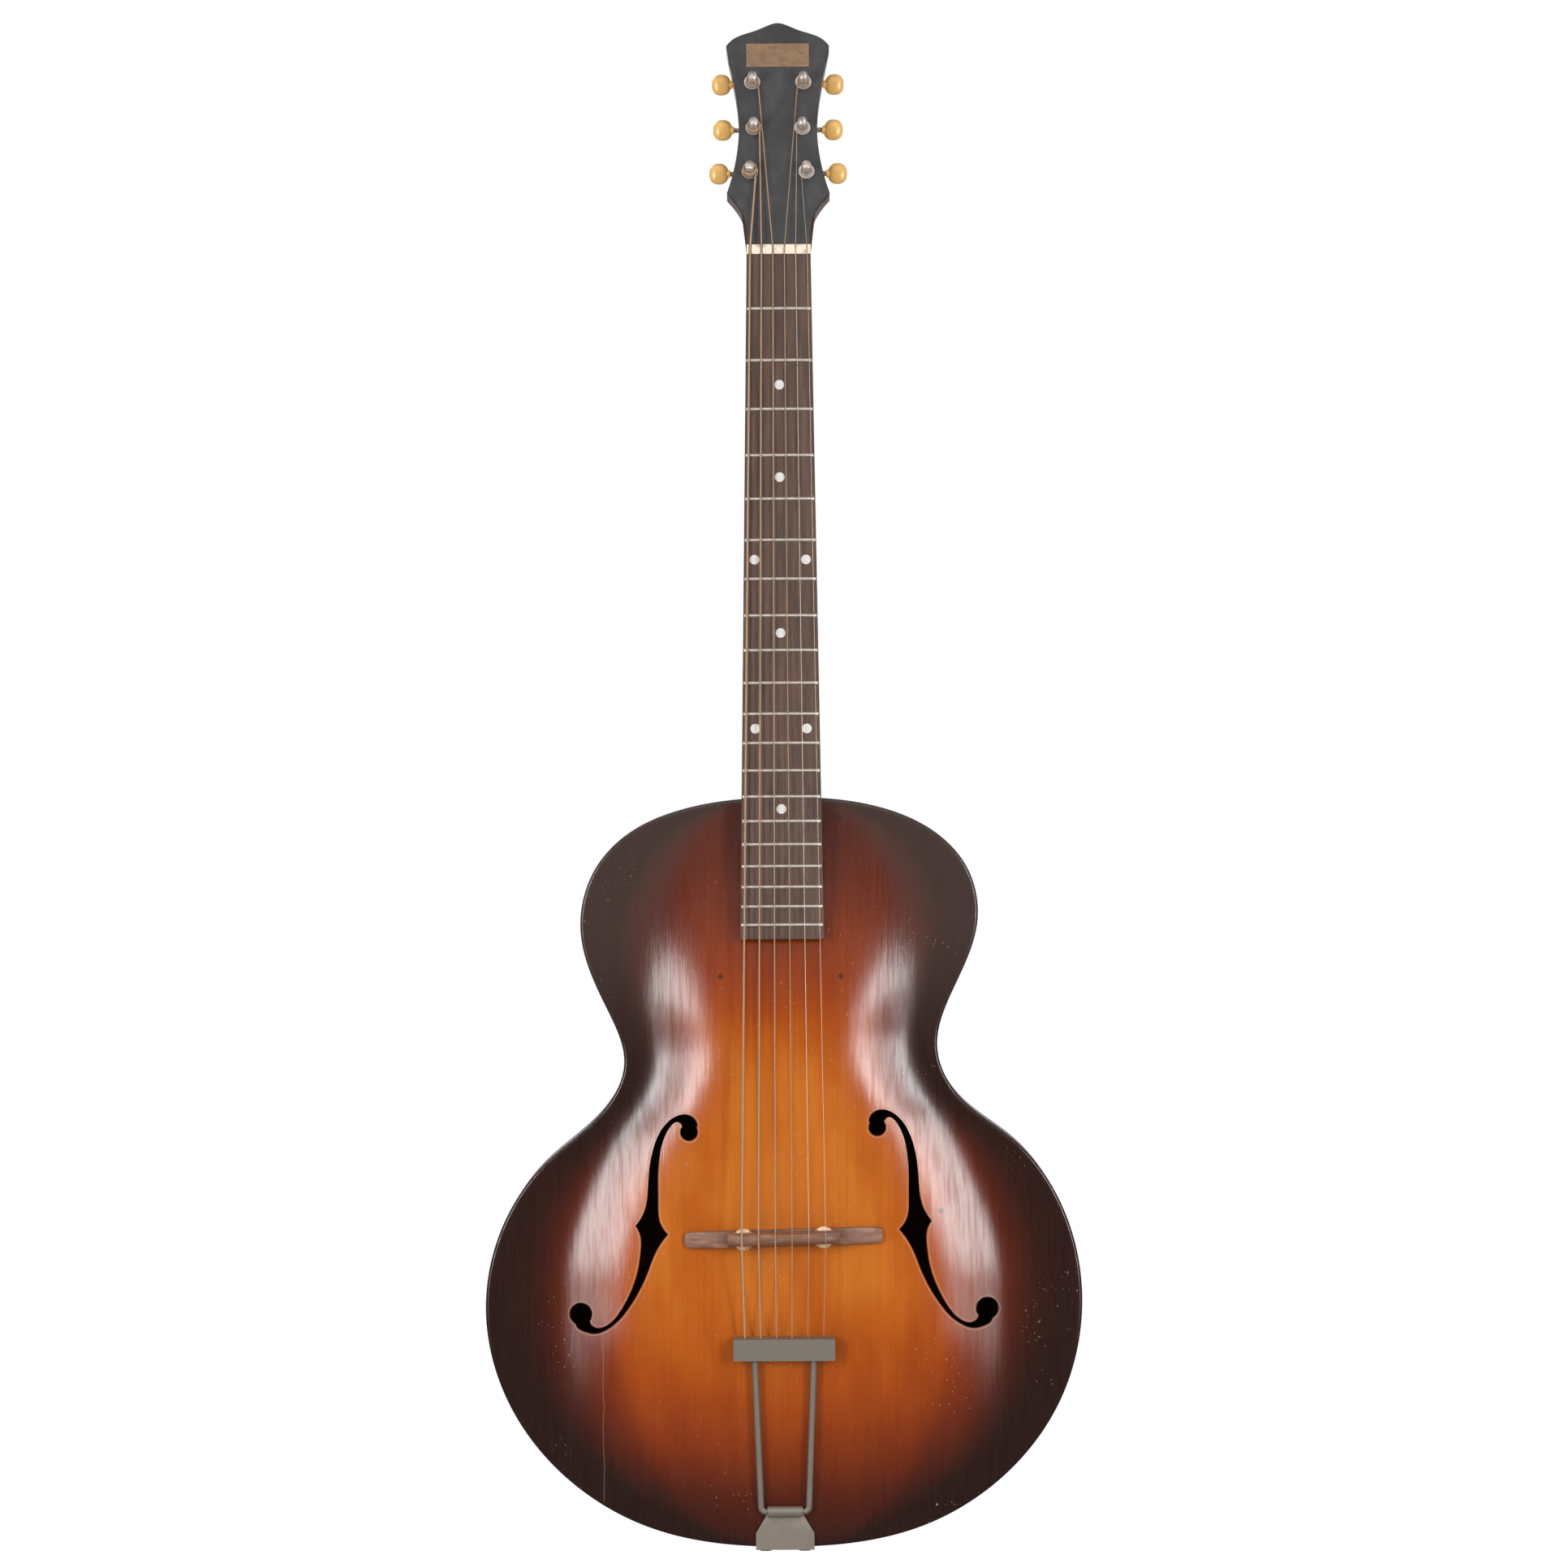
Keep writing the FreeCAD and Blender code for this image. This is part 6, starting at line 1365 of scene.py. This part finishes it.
def post_turns(index, gauge, nut):
    """A string's turns on its post, from where the string first touches it.

    At each turn the helix stands at radius * (cos(angle), sin(angle)) from the post's middle, with angle =
    start - sign * 2 * pi * turn, and it climbs by the gauge and a gap.
    """
    neck, sizes = neck_sizes(), string_sizes()
    sign = -1 if index < len(STRINGS) // 2 else 1
    low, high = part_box(f"tuner_{len(STRINGS) - index}_post")
    centre = placed(((low + high) / 2)[:], head_frame().inverted())
    radius = sizes.post_radius + sizes.clear + gauge / 2
    level = neck.veneer + sizes.flange + sizes.clear + gauge
    local = placed(nut, head_frame().inverted())
    gap = local - centre
    distance = math.hypot(gap[0], gap[2])
    start = math.atan2(gap[2], gap[0]) - sign * math.acos(radius / distance)
    turn = np.linspace(0, POST_TURNS, int(POST_TURNS * TURN_STEPS) + 1)
    angle = start - sign * 2 * np.pi * turn
    climb = level + (gauge + sizes.turn_gap) * turn
    helix = np.stack([centre[0] + radius * np.cos(angle), -climb, centre[2] + radius * np.sin(angle)], axis=1)
    return placed(helix, head_frame())


def barrel(centre, radius, length):
    """A ball end: a short barrel along X with slanted rims."""
    rim, inner = BALL_RIM_SHARE * radius, BALL_INNER_SHARE * radius
    places = np.array((-length / 2, -length / 2, -length / 2 + rim, length / 2 - rim, length / 2, length / 2))
    radii = np.array((inner, radius - rim, radius, radius, radius - rim, inner))
    return tube_rings(centre + places[:, None] * ALONG_X, radii)


def tube_rings(centres, radii):
    """Rings about +X with their own radii."""
    turn = np.linspace(0, 2 * np.pi, 2 * STRING_SIDES, endpoint=False)
    circle = np.stack([np.zeros_like(turn), np.cos(turn), np.sin(turn)], axis=1)
    return carried(centres[:, None] + radii[:, None, None] * circle[None])


def bridge_base_shape():
    """Bridge base: rounded sections along its length, whose foot follows the carved top.

    The half depth runs out at both ends as (1 - |u|^power)^(1/power); the height is even over the middle and
    falls in a straight line to the tips.
    """
    bridge, body = bridge_sizes(), body_sizes()
    u = np.sin(np.linspace(-np.pi / 2, np.pi / 2, BRIDGE_COLUMNS))
    x = bridge.base_length / 2 * u
    slope = (bridge.base_length - bridge.base_middle) / 2
    taper = np.clip((np.abs(x) - bridge.base_middle / 2) / slope, 0, 1)
    top = bridge.base_height + taper * (bridge.base_tip - bridge.base_height)
    deep = bridge.base_depth / 2 * np.clip(1 - np.abs(u) ** BASE_END_POWER, 0, 1) ** (1 / BASE_END_POWER)
    a, b = superellipse(SECTION_STEPS, BASE_SECTION_POWER)
    z = deep[:, None] * a[None]
    across = np.broadcast_to(x[:, None], z.shape)
    local = placed(np.stack([across, np.zeros_like(z), z], axis=-1).reshape(-1, 3), bridge_frame())
    plan = placed(local, body_frame().inverted())
    foot = body.top_arch * arch_share(plan[:, 0], -plan[:, 2]).reshape(z.shape) - middle_crown(bridge_drop())
    foot = foot + bridge.glue_gap
    height = foot + (top[:, None] - foot) * (0.5 + 0.5 * b[None])
    points, faces = carried(np.stack([across, -height, z], axis=-1))
    return placed(points, bridge_frame()), faces


def saddle_shape():
    """Bridge saddle: sections along its length that narrow to a rounded crest under the strings.

    The crest falls by x^2 / (2 * board radius), and from the outer strings to the ends by past^power times
    the shoulder's height. The depth runs out at both ends as (1 - |u|^power)^(1/power).
    """
    bridge, sizes = bridge_sizes(), string_sizes()
    u = np.sin(np.linspace(-np.pi / 2, np.pi / 2, BRIDGE_COLUMNS))
    x = bridge.saddle_length / 2 * u
    outer = sizes.at_bridge / 2
    past = np.clip((np.abs(x) - outer) / (bridge.saddle_length / 2 - outer), 0, 1)
    crest = bridge_height() - bridge.saddle_sink - x ** 2 / (2 * neck_sizes().board_radius)
    crest = crest - past ** SADDLE_FALL_POWER * bridge.saddle_shoulder
    foot = bridge.base_height + bridge.wheel_lift + bridge.wheel + bridge.running_gap
    a, b = superellipse(SECTION_STEPS, SADDLE_SECTION_POWER)
    share = 0.5 + 0.5 * b
    deep = bridge.saddle_depth + (bridge.saddle_crest - bridge.saddle_depth) * share
    end = np.clip(1 - np.abs(u) ** SADDLE_END_POWER, 0, 1) ** (1 / SADDLE_END_POWER)
    z = end[:, None] * (deep / 2 * a)[None]
    height = foot + (crest[:, None] - foot) * share[None]
    across = np.broadcast_to(x[:, None], z.shape)
    points, faces = carried(np.stack([across, -height, z], axis=-1))
    return placed(points, bridge_frame()), faces


def tail_wire_shape():
    """The tailpiece's wire: two rods and a foot through the hinge, joined by round bends."""
    bridge = bridge_sizes()
    foot, top = bridge.wire_foot / 2, bridge.wire_top / 2
    rise = tail_rise() + bridge.bar_sheet + bridge.wire_end
    end, corner = np.array((top, 0.0, rise)), np.array((foot, 0.0, 0.0))
    turn = np.pi - np.arccos(unit(end - corner) @ -ALONG_X)
    bend = rounded_corner(end, corner, -corner, bridge.wire_bend / np.tan(turn / 2), 2 * BEND_STEPS)
    half = np.concatenate([end[None], bend])
    mirrored = half[::-1] * np.array((-1.0, 1.0, 1.0))
    points, faces = tube(np.concatenate([half, mirrored]), bridge.wire_radius, ALONG_Y, 2 * STRING_SIDES)
    return placed(points, tail_frame()), faces


def button_shape(number_of_tuner):
    """A tuner button: |a|^n + |b|^n + |c|^n = 1 on its half length, thickness and width, with a plain
    collar where its shaft goes in."""
    neck = neck_sizes()
    low, high = (np.array(corner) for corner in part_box(f"tuner_{number_of_tuner}_button"))
    sign = np.sign(low[0] + high[0])
    outer = max(abs(low[0]), abs(high[0]))
    centre = (low + high) / 2
    centre[0] = sign * (outer - neck.button_length / 2)
    latitude = np.linspace(-np.pi / 2, np.pi / 2, BUTTON_ROWS)[:, None]
    longitude = np.linspace(0, 2 * np.pi, BUTTON_COLUMNS, endpoint=False)[None]
    power = 2 / neck.button_fullness

    def swell(wave):
        return np.sign(wave) * np.abs(wave) ** power

    ring = swell(np.cos(latitude))
    shape = np.stack([
        np.broadcast_to(swell(np.sin(latitude)), (BUTTON_ROWS, BUTTON_COLUMNS)) * neck.button_length / 2,
        ring * swell(np.cos(longitude)) * neck.button_thickness / 2,
        ring * swell(np.sin(longitude)) * neck.button_width / 2,
    ], axis=-1)
    faces = grid_faces(BUTTON_ROWS, BUTTON_COLUMNS, close_columns=True).tolist()
    inner = sign * min(abs(low[0]), abs(high[0]))
    places = np.array(((inner, centre[1], centre[2]), centre))
    collar = tube_rings(places, np.full(2, neck.collar_radius))
    return together([(centre + shape.reshape(-1, 3), faces), collar])


class GUITAR_OT_plates(bpy.types.Operator):
    """Carve the top with its f-holes and sunburst, and the back"""

    bl_idname = "guitar.plates"
    bl_label = "Carved plates"

    def execute(self, context):
        body = context.scene.guitar_body
        top = new_piece("carved_top", plate_shape(0.0, body.top_arch, -1))
        cut_f_holes(top)
        paint_burst(top)
        settle(top, "guitar", "top_lacquer", "top_plate")
        back = new_piece("carved_back", plate_shape(body.rim, body.back_arch, 1))
        settle(back, "guitar", "back_lacquer", "back_plate")
        # Rounded f-hole edges in pale worn wood, partly a painted highlight
        edges = new_piece("f_hole_edges", together([f_hole_edge_shape(sign) for sign in (-1, 1)]))
        settle(edges, "guitar", "bare_wood", look="worn_edge_and_highlight")
        return {"FINISHED"}


class GUITAR_OT_sides(bpy.types.Operator):
    """Bend the two sides"""

    bl_idname = "guitar.sides"
    bl_label = "Bent sides"

    def execute(self, context):
        for sign, node in ((-1, "bass_side"), (1, "treble_side")):
            settle(new_piece(node + "_bent", side_shape(sign)), "guitar", "back_lacquer", node)
        return {"FINISHED"}


class GUITAR_OT_headstock(bpy.types.Operator):
    """Face the headstock and finish neck, board, nut, dots and label"""

    bl_idname = "guitar.headstock"
    bl_label = "Neck and headstock"

    def execute(self, context):
        settle(new_piece("headstock_face", veneer_shape()), "guitar", "head_black", "headstock_veneer")
        smooth_copy("neck", "neck_lacquer")
        round_front(smooth_copy("fingerboard", "rosewood"))
        smooth_copy("nut", "bone")
        smooth_copy("label_plate", "label")
        smooth_copy("position_dots", "pearl")
        return {"FINISHED"}


class GUITAR_OT_frets(bpy.types.Operator):
    """Seat the frets"""

    bl_idname = "guitar.frets"
    bl_label = "Frets"

    def execute(self, context):
        shapes = [fret_shape(fret) for fret in range(1, FRETS + 1)]
        settle(new_piece("fret_wire", together(shapes)), "guitar", "nickel", "frets")
        return {"FINISHED"}


class GUITAR_OT_strings(bpy.types.Operator):
    """String the guitar, with ball ends and turns on the posts"""

    bl_idname = "guitar.strings"
    bl_label = "Strings"

    def execute(self, context):
        sizes = context.scene.guitar_strings
        for index, name in enumerate(STRINGS):
            node = f"string_{len(STRINGS) - index}"
            ball, path = string_path(index)
            gauge = getattr(sizes, name)
            wire = tube(path, gauge / 2, ALONG_Y)
            end = barrel(ball, sizes.ball_radius, sizes.ball_length)
            finish = "plain_string" if name in PLAIN_STRINGS else "wound_string"
            settle(new_piece(node + "_wire", together([wire, end])), "guitar", finish, node)
        return {"FINISHED"}


class GUITAR_OT_bridge(bpy.types.Operator):
    """Seat the bridge base, and the saddle on its studs and thumbwheels"""

    bl_idname = "guitar.bridge"
    bl_label = "Bridge"

    def execute(self, context):
        base = new_piece("bridge_base_carved", bridge_base_shape())
        settle(base, "guitar", "rosewood", "bridge_base", look="bridge_wood")
        saddle = new_piece("bridge_saddle_carved", saddle_shape())
        settle(saddle, "saddle", "rosewood", "bridge_saddle", look="bridge_wood")
        smooth_copy("bridge_studs", "steel")
        for node in ("thumbwheel_bass", "thumbwheel_treble"):
            smooth_copy(node, "wheel_brass")
        return {"FINISHED"}


class GUITAR_OT_tailpiece(bpy.types.Operator):
    """Hang the tailpiece: wire, bar, bracket and screws"""

    bl_idname = "guitar.tailpiece"
    bl_label = "Tailpiece"

    def execute(self, context):
        settle(new_piece("tailpiece_rods", tail_wire_shape()), "tailpiece", "tail_nickel", "tailpiece_wire")
        for node in ("tailpiece_bar", "tailpiece_bracket", "tailpiece_screws"):
            smooth_copy(node, "tail_nickel")
        return {"FINISHED"}


class GUITAR_OT_tuners(bpy.types.Operator):
    """Fit the tuners: buttons, worms, posts, gears, plates, bushings and screws"""

    bl_idname = "guitar.tuners"
    bl_label = "Tuners"

    def execute(self, context):
        for tuner in range(1, len(STRINGS) + 1):
            node = f"tuner_{tuner}_button"
            settle(new_piece(node + "_turned", button_shape(tuner)), BODY_OF_NODE[node], "cream", node)
            smooth_copy(f"tuner_{tuner}_worm", "nickel")
            smooth_copy(f"tuner_{tuner}_post", "nickel")
            smooth_copy(f"tuner_{tuner}_gear", "gear_brass")
        for node in ("tuner_plates", "tuner_bushings", "tuner_screws"):
            smooth_copy(node, "nickel")
        return {"FINISHED"}


class GUITAR_OT_inside(bpy.types.Operator):
    """Finish what is inside the body and the neck"""

    bl_idname = "guitar.inside"
    bl_label = "Inside pieces"

    def execute(self, context):
        for node in ("linings", "neck_block", "tail_block", "tone_bars"):
            smooth_copy(node, "bare_wood")
        smooth_copy("neck_bar", "steel")
        return {"FINISHED"}


class GUITAR_OT_stage(bpy.types.Operator):
    """Set up camera, lamps, floor and background"""

    bl_idname = "guitar.stage"
    bl_label = "Stage"

    def execute(self, context):
        stage = context.scene.guitar_stage
        set_camera(stage)
        set_lamps(stage)
        set_floor(stage)
        set_world(stage)
        context.scene.view_settings.view_transform = "Standard"
        return {"FINISHED"}


def set_camera(stage):
    """A camera straight in front, a little rolled."""
    data = bpy.data.cameras.new("camera")
    data.sensor_width = stage.sensor
    data.lens = stage.sensor * stage.distance / stage.view
    camera = bpy.data.objects.new("camera", data)
    camera.location = (stage.across, -stage.distance, -stage.level)
    camera.rotation_euler = (math.pi / 2, stage.roll, 0.0)
    bpy.context.scene.collection.objects.link(camera)
    bpy.context.scene.camera = camera


def area_lamp(name, place, target, width, height, power):
    """A soft rectangular lamp that faces a point and isn't seen itself."""
    data = bpy.data.lights.new(name, "AREA")
    data.shape = "RECTANGLE"
    data.size, data.size_y = width, height
    data.energy = power
    lamp = bpy.data.objects.new(name, data)
    lamp.location = place
    way = (target - lamp.location).normalized()
    lamp.rotation_euler = way.to_track_quat("-Z", "Y").to_euler()
    lamp.visible_camera = False
    bpy.context.scene.collection.objects.link(lamp)


def set_lamps(stage):
    """Two tall strips beside the camera's line, each with a dim foot, a broad lamp above and one behind."""
    middle = moved(z=-stage.strip_level).translation
    under = (stage.strip_height + stage.foot_height) / 2
    for name, sign in (("left", -1), ("right", 1)):
        way = moved(sign * math.sin(stage.strip_angle), -math.cos(stage.strip_angle)).translation
        for part, height, fall, power in (
            ("strip", stage.strip_height, 0.0, stage.strip_power),
            ("foot", stage.foot_height, under, stage.foot_power),
        ):
            target = middle - moved(z=fall).translation
            place = target + way * stage.strip_distance
            area_lamp(f"{part}_{name}", place, target, stage.strip_width, height, power)
    above = moved(y=-stage.fill_distance, z=stage.fill_height).translation
    area_lamp("fill", above, middle, stage.fill_size, stage.fill_size, stage.fill_power)
    rear = moved(-stage.rear_aside, stage.fill_distance, stage.fill_height).translation
    area_lamp("rear", rear, middle, stage.fill_size, stage.fill_size, stage.rear_power)


# Floor: its colour, the grey that gloss sees of it, and the glow that takes it to white for the camera
FLOOR_PALE = (0.86, 0.86, 0.85)
FLOOR_IN_GLOSS = (0.2, 0.2, 0.2)
FLOOR_GLOW = 0.35


def set_floor(stage):
    """A pale round floor below the guitar: rings of points out from the middle."""
    level = CAD_BOX[0][2] - stage.floor_drop
    turn = np.linspace(0, 2 * np.pi, FLOOR_SIDES, endpoint=False)[None]
    reach = stage.floor_radius * np.linspace(0, 1, FLOOR_RINGS + 1)[1:, None]
    height = np.full((FLOOR_RINGS, FLOOR_SIDES), level)
    points = np.stack([reach * np.cos(turn), reach * np.sin(turn), height], axis=-1)
    faces = grid_faces(FLOOR_RINGS, FLOOR_SIDES, close_columns=True).tolist() + [list(range(FLOOR_SIDES))]
    floor = new_piece("floor", (points.reshape(-1, 3), faces))
    finish = Finish("floor_pale")
    path = finish.add("ShaderNodeLightPath")
    pale = finish.mix(path.outputs["Is Glossy Ray"], FLOOR_PALE, FLOOR_IN_GLOSS)
    lift = finish.calc("MULTIPLY", path.outputs["Is Camera Ray"], FLOOR_GLOW)
    finish.set(Base_Color=pale, Roughness=0.7, Emission_Color=(1.0, 1.0, 1.0), Emission_Strength=lift)
    floor.data.materials.append(finish.material)


# Spans of the direction's Z and Y over which the room turns paler, above and behind
ROOM_ABOVE_SPAN = (0.0, 0.35)
ROOM_BEHIND_SPAN = (-0.05, 0.35)


def set_world(stage):
    """White for the camera, a dim room for the gloss that is paler above and behind, and even light."""
    world = bpy.data.worlds.new("studio")
    world.use_nodes = True
    bpy.context.scene.world = world
    tree = world.node_tree
    background = tree.nodes["Background"]
    path = tree.nodes.new("ShaderNodeLightPath")
    way = tree.nodes.new("ShaderNodeTexCoord")
    split = tree.nodes.new("ShaderNodeSeparateXYZ")
    tree.links.new(way.outputs["Generated"], split.inputs["Vector"])

    def spread(axis, span, start, end):
        node = tree.nodes.new("ShaderNodeMapRange")
        for name, source in zip(SPAN_SOCKETS, (split.outputs[axis], *span, start, end)):
            feed(tree, node.inputs[name], source)
        return node.outputs["Result"]

    def blended(factor, first, second):
        node = tree.nodes.new("ShaderNodeMix")
        for index, source in zip((MIX_FACTOR, *MIX_NUMBERS), (factor, first, second)):
            feed(tree, node.inputs[index], source)
        return node.outputs[MIXED_NUMBER]

    above = spread("Z", ROOM_ABOVE_SPAN, stage.room, stage.room_above)
    behind = spread("Y", ROOM_BEHIND_SPAN, above, stage.room_behind)
    strength = blended(path.outputs["Is Glossy Ray"], stage.ambient, behind)
    strength = blended(path.outputs["Is Transmission Ray"], strength, 1.0)
    strength = blended(path.outputs["Is Camera Ray"], strength, 1.0)
    background.inputs["Color"].default_value = (1.0, 1.0, 1.0, 1.0)
    tree.links.new(strength, background.inputs["Strength"])


OPERATORS = (
    GUITAR_OT_plates, GUITAR_OT_sides, GUITAR_OT_headstock, GUITAR_OT_frets, GUITAR_OT_strings,
    GUITAR_OT_bridge, GUITAR_OT_tailpiece, GUITAR_OT_tuners, GUITAR_OT_inside, GUITAR_OT_stage,
)


class GUITAR_PT_pieces(bpy.types.Panel):
    """The guitar's pieces"""

    bl_idname = "GUITAR_PT_pieces"
    bl_label = "Archtop guitar"
    bl_space_type = "VIEW_3D"
    bl_region_type = "UI"
    bl_category = "Guitar"

    def draw(self, context):
        for operator in OPERATORS:
            self.layout.operator(operator.bl_idname)


GROUPS = {
    "guitar_body": BodySizes,
    "guitar_neck": NeckSizes,
    "guitar_strings": StringSizes,
    "guitar_bridge": BridgeSizes,
    "guitar_finishes": FinishColours,
    "guitar_stage": StageSettings,
}


def register():
    """Register the property groups, operators and panel."""
    for name, group in GROUPS.items():
        bpy.utils.register_class(group)
        setattr(bpy.types.Scene, name, PointerProperty(type=group))
    for item in (*OPERATORS, GUITAR_PT_pieces):
        bpy.utils.register_class(item)


def unregister():
    """Undo register."""
    for item in (GUITAR_PT_pieces, *reversed(OPERATORS)):
        bpy.utils.unregister_class(item)
    for name, group in GROUPS.items():
        delattr(bpy.types.Scene, name)
        bpy.utils.unregister_class(group)


def main():
    """Build every piece in order."""
    register()
    for operator in OPERATORS:
        family, name = operator.bl_idname.split(".")
        getattr(getattr(bpy.ops, family), name)()


if __name__ == "__main__":
    main()
